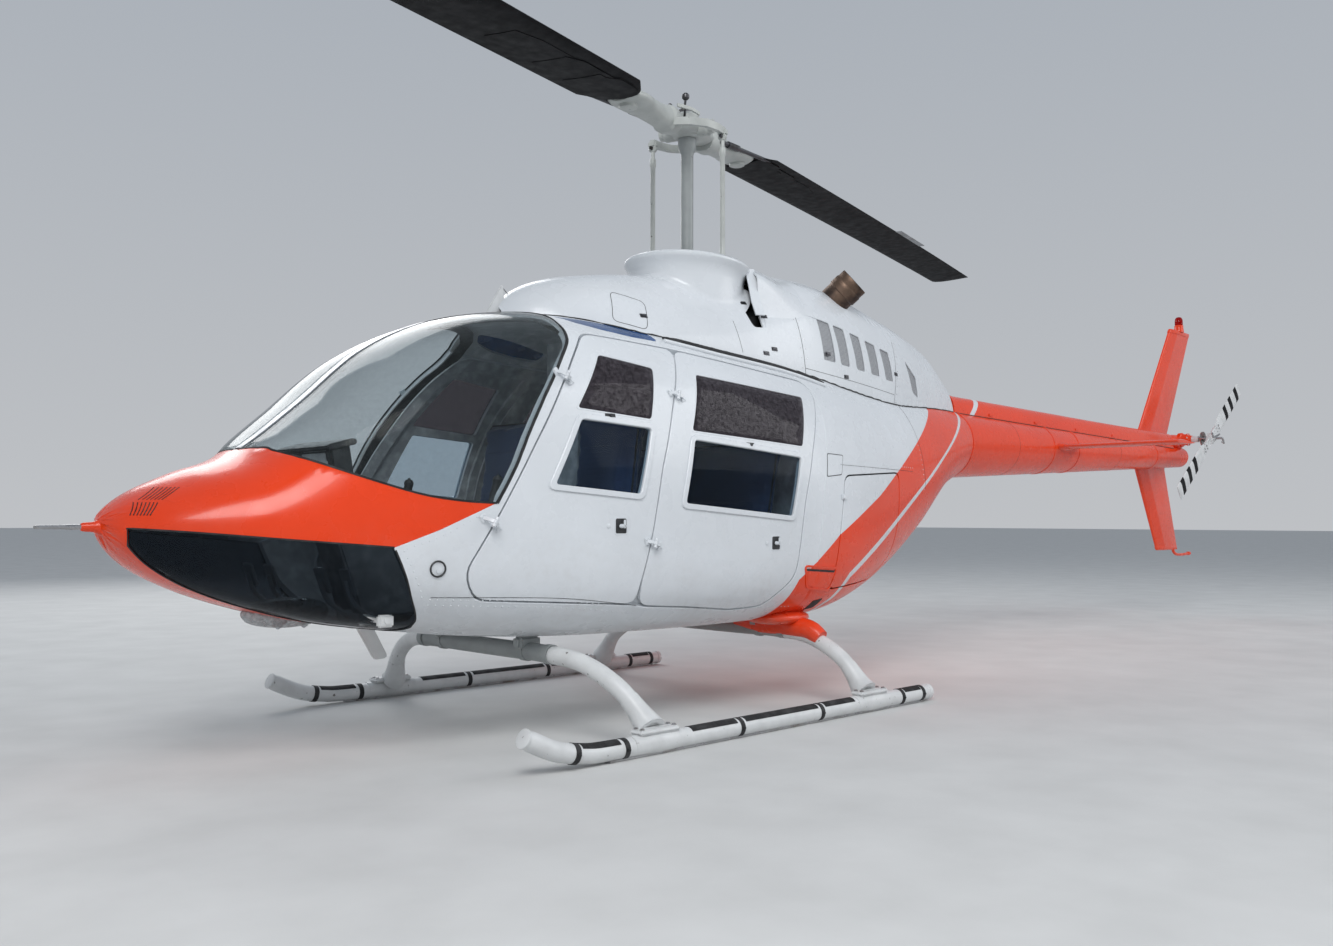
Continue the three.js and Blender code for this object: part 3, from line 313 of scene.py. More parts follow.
def rubbery(name, colour, rough=0.62, grain=220.0, depth=0.16):
    """Rubber or moulded plastic with a fine pebbled surface and dust in it."""
    made, tree, shader = material(name, Specular_IOR_Level=0.4)
    dusty = tuple(min(1.0, channel * 1.7 + 0.03) for channel in colour)
    tree.links.new(blended(tree, ranged(tree, noise(tree, 18.0, 7.0), 0.45, 0.8), colour, dusty),
                   shader.inputs["Base Color"])
    tree.links.new(ranged(tree, noise(tree, 30.0, 5.0), 0.3, 0.7, rough - 0.08, rough + 0.1),
                   shader.inputs["Roughness"])
    bumped(tree, shader, noise(tree, grain, 2.0), depth)
    return made


def woven(name, colour, thread=700.0):
    """Cloth: two sets of threads, nap and slow shade changes."""
    made, tree, shader = material(name, Sheen_Weight=0.35, Sheen_Roughness=0.5, Roughness=0.86)
    waves = []
    for direction in ("X", "Y", "Z"):
        wave = tree.nodes.new("ShaderNodeTexWave")
        wave.bands_direction = direction
        wave.inputs["Scale"].default_value = thread / 6.0
        wave.inputs["Distortion"].default_value = 0.6
        tree.links.new(place_vector(tree), wave.inputs["Vector"])
        waves.append(wave.outputs["Fac"])
    weave = maths(tree, "MULTIPLY", maths(tree, "ADD", waves[0], waves[1]), waves[2])
    shade = ranged(tree, noise(tree, 7.0, 4.0), 0.3, 0.7)
    tone = blended(tree, shade, scaled(colour, 0.72), colour)
    lighter = tuple(min(1.0, channel * 1.35 + 0.01) for channel in colour)
    tree.links.new(blended(tree, ranged(tree, weave, 0.2, 1.6, 0.0, 0.6), tone, lighter),
                   shader.inputs["Base Color"])
    bumped(tree, shader, weave, 0.3, 0.0006)
    return made


def glazing(name, tint, film, film_share=0.03, gloss=0.02):
    """A pane: what is behind shows through its tint, and the surface reflects more at a slant."""
    made, tree, shader = material(name, Base_Color=film, Specular_IOR_Level=0.5, IOR=1.5, Coat_Weight=0.0)
    smears = ranged(tree, noise(tree, 7.0, 6.0, (1.0, 1.0, 0.4)), 0.4, 0.8, gloss, gloss + 0.05)
    tree.links.new(smears, shader.inputs["Roughness"])
    through = tree.nodes.new("ShaderNodeBsdfTransparent")
    through.inputs["Color"].default_value = (*tint, 1.0)
    slant = tree.nodes.new("ShaderNodeLayerWeight")
    slant.inputs["Blend"].default_value = 0.5
    mirror = maths(tree, "MULTIPLY_ADD", maths(tree, "POWER", slant.outputs["Facing"], 5.0), 0.96, 0.04)
    dust = ranged(tree, noise(tree, 60.0, 8.0), 0.35, 0.85, film_share * 0.4, film_share * 1.8)
    share = maths(tree, "ADD", mirror, dust)
    mix = tree.nodes.new("ShaderNodeMixShader")
    tree.links.new(share, mix.inputs["Fac"])
    tree.links.new(through.outputs["BSDF"], mix.inputs[1])
    tree.links.new(shader.outputs["BSDF"], mix.inputs[2])
    tree.links.new(mix.outputs["Shader"], tree.nodes["Material Output"].inputs["Surface"])
    return made


def matt_black(name):
    """Rubbed black paint that hardly shines."""
    made, tree, shader = material(name, Specular_IOR_Level=0.12)
    rubbed = ranged(tree, noise(tree, 8.0, 7.0, (1.0, 1.0, 3.0)), 0.45, 0.8)
    tone = blended(tree, rubbed, (0.006, 0.006, 0.007), (0.016, 0.016, 0.018))
    tree.links.new(tone, shader.inputs["Base Color"])
    tree.links.new(ranged(tree, noise(tree, 20.0), 0.3, 0.7, 0.5, 0.68), shader.inputs["Roughness"])
    bumped(tree, shader, noise(tree, 260.0, 2.0), 0.03)
    return made


def acrylic(name, colour):
    """A deeply coloured sheet that shows its own colour even at a slant."""
    made, tree, shader = material(name, Specular_IOR_Level=0.15, Transmission_Weight=0.15)
    tone = blended(tree, ranged(tree, noise(tree, 5.0, 5.0), 0.3, 0.7), colour, scaled(colour, 1.5))
    tree.links.new(tone, shader.inputs["Base Color"])
    tree.links.new(ranged(tree, noise(tree, 12.0, 5.0), 0.3, 0.75, 0.16, 0.34), shader.inputs["Roughness"])
    return made


def perforated(name):
    """Painted sheet with rows of small round holes; the holes are near-black dots, painted shade of the bay
    behind them.
    """
    made, tree, shader = material(name, Metallic=0.35, Roughness=0.5)
    cells = tree.nodes.new("ShaderNodeTexVoronoi")
    cells.inputs["Scale"].default_value = 150.0
    cells.inputs["Randomness"].default_value = 0.0
    tree.links.new(place_vector(tree, (1.0, 0.0, 1.0)), cells.inputs["Vector"])
    holes = ranged(tree, cells.outputs["Distance"], 0.26, 0.34, 1.0, 0.0)
    # The near-black of the holes is painted shade, not a colour of the sheet
    tone = blended(tree, holes, (0.42, 0.43, 0.45), (0.015, 0.015, 0.018))
    tree.links.new(tone, shader.inputs["Base Color"])
    bumped(tree, shader, maths(tree, "SUBTRACT", 1.0, holes), 0.5, 0.001)
    return made


WHITE = paint("white_gloss", (0.74, 0.77, 0.80))
ORANGE = paint("orange_gloss", (0.86, 0.052, 0.004), dusty=0.24)
CREAM = worn_paint("worn_white", (0.70, 0.71, 0.71), (0.20, 0.19, 0.18), 0.66)
SILVER = metal("satin_silver", (0.62, 0.63, 0.65), 0.3)
STEEL = metal("machined_steel", (0.50, 0.50, 0.51), 0.3, stain=(0.20, 0.17, 0.14))
GREY = worn_paint("grey_enamel", (0.30, 0.32, 0.32), (0.12, 0.12, 0.12), 0.7)
BURNT = metal("heat_stained_steel", (0.20, 0.135, 0.10), 0.48, stain=(0.055, 0.042, 0.038))
BLACK = matt_black("matt_black_enamel")
PALE_GREY = worn_paint("pale_grey_enamel", (0.46, 0.48, 0.46), (0.12, 0.12, 0.12), 0.68)
DARK_STEEL = metal("dark_oiled_steel", (0.13, 0.13, 0.14), 0.4, stain=(0.04, 0.035, 0.03))
RUBBER = rubbery("black_rubber_seal", (0.014, 0.014, 0.015))
PLASTIC = rubbery("black_moulding", (0.025, 0.026, 0.028), 0.5, 420.0)
TRIM = rubbery("grey_lining", (0.40, 0.41, 0.42), 0.72, 260.0, 0.2)
PALE_TRIM = rubbery("pale_lining", (0.62, 0.63, 0.63), 0.66, 260.0, 0.2)
SEAT_BLUE = woven("navy_cloth", (0.022, 0.045, 0.115))
CARPET = woven("charcoal_carpet", (0.045, 0.048, 0.055), 380.0)
CLEAR = glazing("clear_pane", (0.90, 0.93, 0.94), (0.10, 0.11, 0.11))
CABIN_PANE = glazing("blue_tinted_pane", (0.78, 0.85, 0.90), (0.05, 0.06, 0.07))
SMOKED = glazing("smoked_pane", (0.34, 0.31, 0.33), (0.16, 0.14, 0.16), 0.22)
CHIN_PANE = glazing("dark_chin_pane", (0.40, 0.43, 0.46), (0.02, 0.022, 0.025), 0.04)
SKY_BLUE = acrylic("blue_roof_pane", (0.012, 0.060, 0.19))
CLOUDED = glazing("clouded_lens", (0.62, 0.65, 0.66), (0.55, 0.57, 0.58), 0.45, 0.12)
MESH = perforated("perforated_sheet")
RED_LENS = glazing("red_lens", (0.75, 0.03, 0.02), (0.35, 0.01, 0.01), 0.25)
GRIT = rubbery("black_grit_strip", (0.020, 0.020, 0.021), 0.85, 520.0, 0.55)


# Plain geometry: a shape is (points, faces, slots)

def shape_of(points, faces, slots=None):
    return np.asarray(points, float), [tuple(face) for face in faces], slots or [0] * len(faces)


def moved(shape, matrix):
    points, faces, slots = shape
    turn = np.array(matrix.to_3x3())
    if np.linalg.det(turn) < 0:
        faces = [face[::-1] for face in faces]
    return points @ turn.T + np.array(matrix.translation), faces, slots


def recoloured(shape, slot):
    return shape[0], shape[1], [slot] * len(shape[1])


def together(*shapes):
    points, faces, slots, count = [], [], [], 0
    for part_points, part_faces, part_slots in shapes:
        points.append(part_points)
        faces += [tuple(i + count for i in face) for face in part_faces]
        slots += part_slots
        count += len(part_points)
    return np.vstack(points), faces, slots


def mirrored(shape):
    points, faces, slots = shape
    return points * np.array([1, -1, 1]), [face[::-1] for face in faces], slots


def sided(shape, side):
    """A shape of the left side, for either side."""
    return shape if side > 0 else mirrored(shape)


def on_both_sides(shape):
    return together(shape, mirrored(shape))


def welded(shape, tolerance=1e-5):
    """The shape with its points on the centre plane merged."""
    points, faces, slots = shape
    index, first = {}, []
    for i, point in enumerate(points):
        key = tuple(np.round(point / tolerance).astype(int)) if abs(point[1]) < tolerance else i
        first.append(index.setdefault(key, i))
    kept = sorted(set(first))
    place = {old: new for new, old in enumerate(kept)}
    merged = [tuple(dict.fromkeys(place[first[i]] for i in face)) for face in faces]
    whole = [(face, slot) for face, slot in zip(merged, slots) if len(face) > 2]
    return points[kept], [face for face, _ in whole], [slot for _, slot in whole]


def of_bmesh(bm):
    bm.verts.ensure_lookup_table()
    shape = shape_of([v.co[:] for v in bm.verts], [[v.index for v in f.verts] for f in bm.faces])
    bm.free()
    return shape


def rounded_box(size, bevel=0.004, segments=2):
    bm = bmesh.new()
    bmesh.ops.create_cube(bm, size=1.0)
    bmesh.ops.scale(bm, vec=Vector(size), verts=bm.verts)
    offset = min(bevel, min(size) * 0.45)
    bmesh.ops.bevel(bm, geom=bm.edges[:], offset=offset, segments=segments, affect="EDGES")
    bm.verts.index_update()
    return of_bmesh(bm)


def box_between(low, high, bevel=0.004, segments=2):
    low, high = Vector(low), Vector(high)
    return moved(rounded_box(high - low, bevel, segments), Matrix.Translation((low + high) / 2))


def lathe(profile, sides=32):
    """A profile of (radius, height) turned round Z; ends on the axis are closed there."""
    points, faces = [], []
    for r, z in profile:
        for k in range(sides):
            angle = 2 * math.pi * k / sides
            points.append((r * math.cos(angle), r * math.sin(angle), z))
    for i in range(len(profile) - 1):
        for k in range(sides):
            a, b = i * sides + k, i * sides + (k + 1) % sides
            faces.append((a, b, b + sides, a + sides))
    if profile[0][0] > 0:
        faces.append(tuple(range(sides))[::-1])
    if profile[-1][0] > 0:
        faces.append(tuple(range((len(profile) - 1) * sides, len(profile) * sides)))
    return shape_of(points, faces)


def ring_of(profile, sides=48):
    """A closed profile of (radius, height) turned round Z."""
    open_shape = lathe([*profile, profile[0]], sides)
    points = open_shape[0][: len(profile) * sides]
    faces = [tuple(i % len(points) for i in face) for face in open_shape[1] if len(face) == 4]
    return shape_of(points, faces)


def spline(points, count):
    """A smooth line of evenly spread points through the given ones."""
    p = np.asarray(points, float)
    padded = np.vstack([2 * p[0] - p[1], p, 2 * p[-1] - p[-2]])
    line = []
    for i in range(len(p) - 1):
        a, b, c, d = padded[i:i + 4]
        for t in np.linspace(0, 1, 16, endpoint=False):
            line.append(0.5 * (2 * b + (c - a) * t + (2 * a - 5 * b + 4 * c - d) * t**2
                               + (3 * b - a - 3 * c + d) * t**3))
    line = np.array([*line, p[-1]])
    along = np.concatenate([[0], np.cumsum(np.linalg.norm(np.diff(line, axis=0), axis=1))])
    wanted = np.linspace(0, along[-1], count)
    return np.column_stack([np.interp(wanted, along, line[:, k]) for k in range(p.shape[1])])


def tube(points, radius, sides=12, closed=False):
    """A round bar along points; radius is one number or one for each point."""
    p = np.asarray(points, float)
    radii = np.broadcast_to(np.asarray(radius, float), (len(p),))
    ahead = np.roll(p, -1, 0) - np.roll(p, 1, 0)
    if not closed:
        ahead[0], ahead[-1] = p[1] - p[0], p[-1] - p[-2]
    ahead /= np.linalg.norm(ahead, axis=1)[:, None]
    side = np.cross(ahead[0], (0, 0, 1) if abs(ahead[0][2]) < 0.9 else (1, 0, 0))
    verts, faces = [], []
    for i, point in enumerate(p):
        side = side - ahead[i] * side.dot(ahead[i])
        side /= np.linalg.norm(side)
        across = np.cross(ahead[i], side)
        for k in range(sides):
            angle = 2 * math.pi * k / sides
            verts.append(point + radii[i] * (math.cos(angle) * side + math.sin(angle) * across))
    for i in range(len(p) if closed else len(p) - 1):
        for k in range(sides):
            a, b = i * sides + k, i * sides + (k + 1) % sides
            c, d = ((i + 1) % len(p)) * sides + k, ((i + 1) % len(p)) * sides + (k + 1) % sides
            faces.append((a, b, d, c))
    if not closed:
        faces.append(tuple(range(sides))[::-1])
        faces.append(tuple(range((len(p) - 1) * sides, len(p) * sides)))
    return shape_of(verts, faces)


def rod(start, end, radius, end_radius=None, sides=16):
    return tube([start, end], [radius, radius if end_radius is None else end_radius], sides)


def loft(rings):
    """A closed skin over rings with the same number of points each."""
    count = len(rings[0])
    faces = []
    for r in range(len(rings) - 1):
        for i in range(count):
            a, b = r * count + i, r * count + (i + 1) % count
            faces.append((a, b, b + count, a + count))
    faces.append(tuple(range(count))[::-1])
    faces.append(tuple(range((len(rings) - 1) * count, len(rings) * count)))
    return facing_out(shape_of(np.vstack(rings), faces))


def facing_out(shape):
    points, faces, slots = shape
    centre = points.mean(0)
    volume = 0.0
    for face in faces:
        a = points[face[0]] - centre
        for i in range(1, len(face) - 1):
            volume += a.dot(np.cross(points[face[i]] - centre, points[face[i + 1]] - centre))
    return (points, [face[::-1] for face in faces], slots) if volume < 0 else shape


def rounded(outline, radius, steps=5):
    """A closed outline with its corners rounded off."""
    p = np.asarray(outline, float)
    line = []
    for i, corner in enumerate(p):
        before, after = p[i - 1], p[(i + 1) % len(p)]
        near, far = np.linalg.norm(before - corner), np.linalg.norm(after - corner)
        start = corner + (before - corner) * min(radius, near / 2.1) / near
        end = corner + (after - corner) * min(radius, far / 2.1) / far
        for t in np.linspace(0, 1, steps):
            line.append((1 - t)**2 * start + 2 * t * (1 - t) * corner + t**2 * end)
    return np.array(line)


def grown(outline, distance):
    """The closed outline moved outwards, or inwards by a negative distance."""
    p = np.asarray(outline, float)
    ahead = np.roll(p, -1, 0) - p
    ahead /= np.linalg.norm(ahead, axis=1)[:, None]
    turn = np.sign(np.sum(p[:, 0] * np.roll(p[:, 1], -1) - np.roll(p[:, 0], -1) * p[:, 1]))
    normal = np.column_stack([ahead[:, 1], -ahead[:, 0]]) * turn
    middle = normal + np.roll(normal, 1, 0)
    middle /= np.linalg.norm(middle, axis=1)[:, None]
    reach = distance / np.maximum(np.sum(middle * normal, axis=1), 0.5)
    return p + middle * reach[:, None]


def unit(vectors):
    vectors = np.asarray(vectors, float)
    return vectors / np.maximum(np.linalg.norm(vectors, axis=-1, keepdims=True), 1e-12)


def dense(points, step=0.02, closed=False):
    """The line with points added so that none are further apart than a step."""
    p = np.asarray(points, float)
    if closed:
        p = np.vstack([p, p[:1]])
    line = [p[0]]
    for a, b in zip(p[:-1], p[1:]):
        count = max(1, math.ceil(np.linalg.norm(b - a) / step))
        line += [a + (b - a) * k / count for k in range(1, count + 1)]
    return np.array(line[:-1] if closed else line)


# Skins: surfaces made of rings across X, with panels cut from them

def table_row(table, tip, x):
    """Smooth value of each column of a table at a station; the square root keeps a nose round."""
    us = np.sqrt(np.maximum(tip - table[:, 0], 0))
    u = math.sqrt(max(tip - x, 0))
    slopes = np.gradient(table, us, axis=0)
    i = min(max(int(np.searchsorted(us, u, side="right")) - 1, 0), len(us) - 2)
    step = us[i + 1] - us[i]
    t = min((u - us[i]) / step, 1.0)
    return ((2 * t**3 - 3 * t**2 + 1) * table[i] + (t**3 - 2 * t**2 + t) * step * slopes[i]
            + (3 * t**2 - 2 * t**3) * table[i + 1] + (t**3 - t**2) * step * slopes[i + 1])


def body_ring(x, samples=90):
    """Half of the body's section, from the middle of its belly to the middle of its top."""
    _, bottom, top, half, widest, upper, lower = table_row(BODY_SECTIONS, NOSE_X, x)
    share = np.linspace(0, 1, samples)
    angle = 0.5 * math.pi * share**2 * (3 - 2 * share)
    s, c = np.sin(angle), np.clip(np.cos(angle), 0, 1)
    below = np.column_stack([half * s**(2 / lower), widest - (widest - bottom) * c**(2 / lower)])
    y, z = half * c**(2 / upper), widest + (top - widest) * s**(2 / upper)
    stations, heights = np.array(WINDSHIELD_FOOT + WINDSHIELD_AFT[1:])[::-1].T
    base = np.interp(x, stations, heights)
    if stations[0] <= x <= PANE_FRONT_X:
        along = (PANE_FRONT_X - x) / (PANE_FRONT_X - PANE_BACK_X)
        up = np.clip((z - base) / max(top - base, 1e-6), 0, 1)
        swell = PANE_BULGE * math.sin(math.pi * min(along, 1)) ** 0.7
        swell = min(swell, PANE_BULGE_SHARE * max(top - base, 0.0)) * np.sin(math.pi * up)
        out = np.column_stack([y / half, (z - widest) / (top - widest)])
        out /= np.linalg.norm(out, axis=1)[:, None]
        y, z = y + swell * out[:, 0], z + swell * out[:, 1]
    y[-1] = 0.0
    return np.vstack([below, np.column_stack([y, z])[1:]])


def cowl_ring(x, samples=90):
    """Half of the cowl's section, from its foot to the middle of its top."""
    _, half, top, power = table_row(COWL_SECTIONS, COWL_NOSE_X, x)
    share = np.linspace(0, 1, samples)
    angle = 0.5 * math.pi * share**2 * (3 - 2 * share)
    y = half * COWL_SPREAD * np.clip(np.cos(angle), 0, 1)**(2 / power)
    z = COWL_FOOT_Z + (top - COWL_FOOT_Z) * np.sin(angle)**(2 / power)
    y[-1] = 0.0
    return np.column_stack([y, z])


class Skin:
    """A surface addressed by metres from its front (m) and by share of its half girth, scaled (t)."""

    def __init__(self, ring, front, back, count=420, across=201):
        fine = front - (front - back) * np.linspace(0, 1, 900)**2
        halves = np.array([ring(x, 12)[:, 0].max() for x in fine])
        along = np.concatenate([[0], np.cumsum(np.hypot(np.diff(fine), np.diff(halves)))])
        self.step = along[-1] / (count - 1)
        self.length = along[-1]
        self.x = np.interp(np.arange(count) * self.step, along, fine)
        rows, girths = [], []
        for x in self.x:
            line = ring(x)
            run = np.concatenate([[0], np.cumsum(np.linalg.norm(np.diff(line, axis=0), axis=1))])
            wanted = np.linspace(0, run[-1], across)
            rows.append(np.column_stack([np.interp(wanted, run, line[:, k]) for k in (0, 1)]))
            girths.append(run[-1])
        self.rows = np.array(rows)
        self.girth = np.array(girths)
        self.width = max(girths)
        self.shares = np.linspace(0, 1, across)

    def point(self, where):
        where = np.atleast_2d(where)
        i = np.clip(where[:, 0] / self.step, 0, len(self.x) - 1.001)
        j = np.clip(where[:, 1] / self.width, 0, 1) * (len(self.shares) - 1)
        j = np.minimum(j, len(self.shares) - 1.001)
        a, b = i.astype(int), j.astype(int)
        u, v = (i - a)[:, None], (j - b)[:, None]
        flat = ((1 - u) * (1 - v) * self.rows[a, b] + u * (1 - v) * self.rows[a + 1, b]
                + (1 - u) * v * self.rows[a, b + 1] + u * v * self.rows[a + 1, b + 1])
        flat[where[:, 1] >= self.width * (1 - 1e-9), 0] = 0.0
        x = np.interp(where[:, 0], np.arange(len(self.x)) * self.step, self.x)
        return np.column_stack([x, flat])

    def normal(self, where):
        where = np.atleast_2d(where)
        reach = 0.012
        along = self.point(where + (reach, 0)) - self.point(where - (reach, 0))
        up = self.point(where + (0, reach)) - self.point(where - (0, reach))
        normal = np.cross(along, up)
        centre = (np.abs(self.point(where)[:, 1]) < 1e-7)
        normal[centre, 1] = 0.0
        return normal / np.maximum(np.linalg.norm(normal, axis=1), 1e-12)[:, None]

    def row_at(self, x):
        m = np.interp(-x, -self.x, np.arange(len(self.x)) * self.step)
        i = min(int(m / self.step), len(self.x) - 2)
        u = m / self.step - i
        return m, (1 - u) * self.rows[i] + u * self.rows[i + 1]

    def side(self, line, step=0.02, closed=False):
        """The places of points given by station and height."""
        found = []
        for x, z in dense(line, step, closed):
            m, row = self.row_at(x)
            found.append((m, np.interp(z, row[:, 1], self.shares) * self.width))
        return np.array(found)

    def plan(self, line, step=0.02, closed=False):
        """The places of points on the upper half, given by station and distance from the centre line."""
        found = []
        for x, y in dense(line, step, closed):
            m, row = self.row_at(x)
            widest = int(np.argmax(row[:, 0]))
            upper, shares = row[widest:, 0][::-1], self.shares[widest:][::-1]
            found.append((m, np.interp(y, upper, shares) * self.width))
        return np.array(found)

    def belly(self, line, step=0.02):
        """The same on the lower half."""
        found = []
        for x, y in dense(line, step):
            m, row = self.row_at(x)
            widest = int(np.argmax(row[:, 0]))
            found.append((m, np.interp(y, row[: widest + 1, 0], self.shares[: widest + 1]) * self.width))
        return np.array(found)

    def centre(self, from_x, to_x, top=True, step=0.03):
        """The centre line's places between two stations."""
        stations = dense([(from_x, 0), (to_x, 0)], step)[:, 0]
        return np.array([(self.row_at(x)[0], self.width if top else 0.0) for x in stations])

    def height(self, x, y):
        """Height of the upper half above a point of the plan."""
        row = self.row_at(x)[1]
        widest = int(np.argmax(row[:, 0]))
        return float(np.interp(abs(y), row[widest:, 0][::-1], row[widest:, 1][::-1]))

    def mount(self, x, z, side=1, lift=0.0, turn=0.0):
        """A frame on the skin: its Z points out, its X forward along the skin, turned by an angle."""
        where = self.side([(x, z), (x, z)])[:1]
        point, normal = self.point(where)[0], self.normal(where)[0]
        ahead = np.array([1.0, 0, 0]) - normal * normal[0]
        return frame_on(point + normal * lift, normal, ahead, side, turn)


def frame_on(point, normal, ahead, side=1, turn=0.0):
    normal, ahead = Vector(normal), Vector(ahead).normalized()
    up = normal.cross(ahead)
    frame_matrix = Matrix((ahead, up, normal)).transposed().to_4x4()
    frame_matrix.translation = Vector(point)
    frame_matrix = frame_matrix @ Matrix.Rotation(turn, 4, "Z")
    return Matrix.Scale(side, 4, (0, 1, 0)) @ frame_matrix if side < 0 else frame_matrix


def inside(points, loops):
    """Which points lie in a region: inside its outer loop and outside its holes."""
    result = np.zeros(len(points), bool)
    x, y = points[:, 0][:, None], points[:, 1][:, None]
    for loop in loops:
        a, b = loop, np.roll(loop, -1, 0)
        crosses = (a[:, 1] > y) != (b[:, 1] > y)
        with np.errstate(divide="ignore", invalid="ignore"):
            at = a[:, 0] + (y - a[:, 1]) * (b[:, 0] - a[:, 0]) / (b[:, 1] - a[:, 1])
        result ^= (np.sum(crosses & (x < at), axis=1) % 2).astype(bool)
    return result


def triangles(skin, loops, lines, grid):
    """Triangles of a region of a skin, with the lines kept as edges."""
    verts, edges = [], []
    for line, closed in [(loop, True) for loop in loops] + [(line, False) for line in lines]:
        first = len(verts)
        verts += [tuple(p) for p in line]
        edges += [(first + k, first + k + 1) for k in range(len(line) - 1)]
        if closed:
            edges.append((first + len(line) - 1, first))
    fixed = np.array(verts)
    low, high = loops[0].min(0), loops[0].max(0)
    for m in np.arange(low[0] + grid / 2, high[0], grid):
        girth = np.interp(m, np.arange(len(skin.x)) * skin.step, skin.girth)
        count = max(2, round(girth / grid))
        row = np.column_stack([np.full(count + 1, m), np.linspace(0, skin.width, count + 1)])
        row = row[(row[:, 1] > low[1]) & (row[:, 1] < high[1])]
        if not len(row):
            continue
        row = row[inside(row, loops)]
        scale = np.array([1.0, girth / skin.width])
        near = fixed[np.abs(fixed[:, 0] - m) < grid]
        if len(row) and len(near):
            gap = np.linalg.norm((row[:, None] - near[None]) * scale, axis=2).min(1)
            row = row[gap > 0.45 * grid]
        verts += [tuple(p) for p in row]
    made = delaunay_2d_cdt([Vector(v) for v in verts], edges, [], 0, 1e-6)
    points = np.array([v[:] for v in made[0]])
    faces = np.array([tuple(f) for f in made[2] if len(f) == 3])
    faces = faces[inside(points[faces].mean(1), loops)]
    return points, faces


def panel(skin, loops, lines=(), depth=0.0, thick=SKIN, edge=EDGE, grid=0.03, paints=(), inner=None):
    """A thick sheet on the left half of a skin: its first loop is its edge, the others are its holes.

    paints holds (outlines, slot) for regions of another colour; the inside takes the slot inner.
    """
    where, faces = triangles(skin, loops, lines, grid)
    slots = np.zeros(len(faces), int)
    centres = where[faces].mean(1)
    for outlines, slot in paints:
        slots[inside(centres, outlines)] = slot
    owner = {}
    for number, (a, b, c) in enumerate(faces):
        for u, v in ((a, b), (b, c), (c, a)):
            owner[(u, v)] = number
    rim = [(u, v, n) for (u, v), n in owner.items() if (v, u) not in owner]
    centred = (where[:, 1] < 1e-9) | (where[:, 1] > skin.width - 1e-9)
    rim = [(u, v, n) for u, v, n in rim if not (centred[u] and centred[v])]
    outward = np.zeros_like(where)
    scale = np.interp(where[:, 0], np.arange(len(skin.x)) * skin.step, skin.girth) / skin.width
    for u, v, _ in rim:
        ahead = (where[v] - where[u]) * (1.0, scale[u])
        normal = np.array([ahead[1], -ahead[0]]) / max(np.linalg.norm(ahead), 1e-12)
        outward[u] += normal
        outward[v] += normal
    outward[centred, 1] = 0.0
    outward /= np.maximum(np.linalg.norm(outward, axis=1), 1e-12)[:, None]
    drawn = where - edge * outward / np.column_stack([np.ones(len(scale)), np.maximum(scale, 0.05)])
    used = sorted({int(i) for face in faces for i in face})
    at = {old: new for new, old in enumerate(used)}
    rims = sorted({u for u, _, _ in rim} | {v for _, v, _ in rim})
    low = {old: len(used) + new for new, old in enumerate(rims)}
    drawn, walls = drawn[used], where[rims]
    face_normal, wall_normal = skin.normal(drawn), skin.normal(walls)
    face_point, wall_point = skin.point(drawn), skin.point(walls)
    n = len(used) + len(rims)
    points = np.vstack([
        face_point - depth * face_normal,
        wall_point - (depth + edge) * wall_normal,
        face_point - (depth + thick) * face_normal,
        wall_point - (depth + thick) * wall_normal,
    ])
    made_faces = [(at[a], at[b], at[c]) for a, b, c in faces]
    made_faces += [(n + at[c], n + at[b], n + at[a]) for a, b, c in faces]
    backs = slots if inner is None else [inner] * len(faces)
    made_slots = [*slots, *backs]
    for u, v, number in rim:
        made_faces += [
            (at[v], at[u], low[u], low[v]),
            (low[v], low[u], n + low[u], n + low[v]),
            (n + low[v], n + low[u], n + at[u], n + at[v]),
        ]
        made_slots += [slots[number], slots[number], backs[number]]
    return points, made_faces, [int(s) for s in made_slots]


def both_halves(shape):
    return welded(on_both_sides(shape))


def piece(name, shape, materials, body="airframe", replaces=(), smooth=32):
    """Makes a mesh of a shape, rides it on a body and hides the CAD parts it replaces."""
    points, faces, slots = shape
    mesh = bpy.data.meshes.new(name)
    mesh.from_pydata((points + (MAST_X, 0, 0)).tolist(), [], [[int(i) for i in f] for f in faces])
    for entry in materials:
        mesh.materials.append(entry)
    mesh.polygons.foreach_set("material_index", slots)
    mesh.shade_smooth()
    mesh.set_sharp_from_angle(angle=math.radians(smooth))
    mesh.update()
    made = bpy.data.objects.new(name, mesh)
    bpy.context.scene.collection.objects.link(made)
    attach(made, body)
    if replaces:
        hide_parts(*replaces)
    return made


# Camera, floor and light

def add_camera():
    data = bpy.data.cameras.new("camera")
    data.sensor_width = 36.0
    data.lens = CAMERA_LENS
    data.clip_end = 300.0
    ahead = Vector((math.cos(CAMERA_YAW) * math.cos(CAMERA_PITCH),
                    math.sin(CAMERA_YAW) * math.cos(CAMERA_PITCH), math.sin(CAMERA_PITCH)))
    level = Vector((math.sin(CAMERA_YAW), -math.cos(CAMERA_YAW), 0.0))
    above = level.cross(ahead)
    right = level * math.cos(CAMERA_ROLL) + above * math.sin(CAMERA_ROLL)
    up = above * math.cos(CAMERA_ROLL) - level * math.sin(CAMERA_ROLL)
    camera = bpy.data.objects.new("camera", data)
    place = Matrix((right, up, -ahead)).transposed().to_4x4()
    place.translation = Vector(CAMERA_PLACE) + Vector((MAST_X, 0, 0))
    camera.matrix_world = place
    bpy.context.scene.collection.objects.link(camera)
    bpy.context.scene.camera = camera


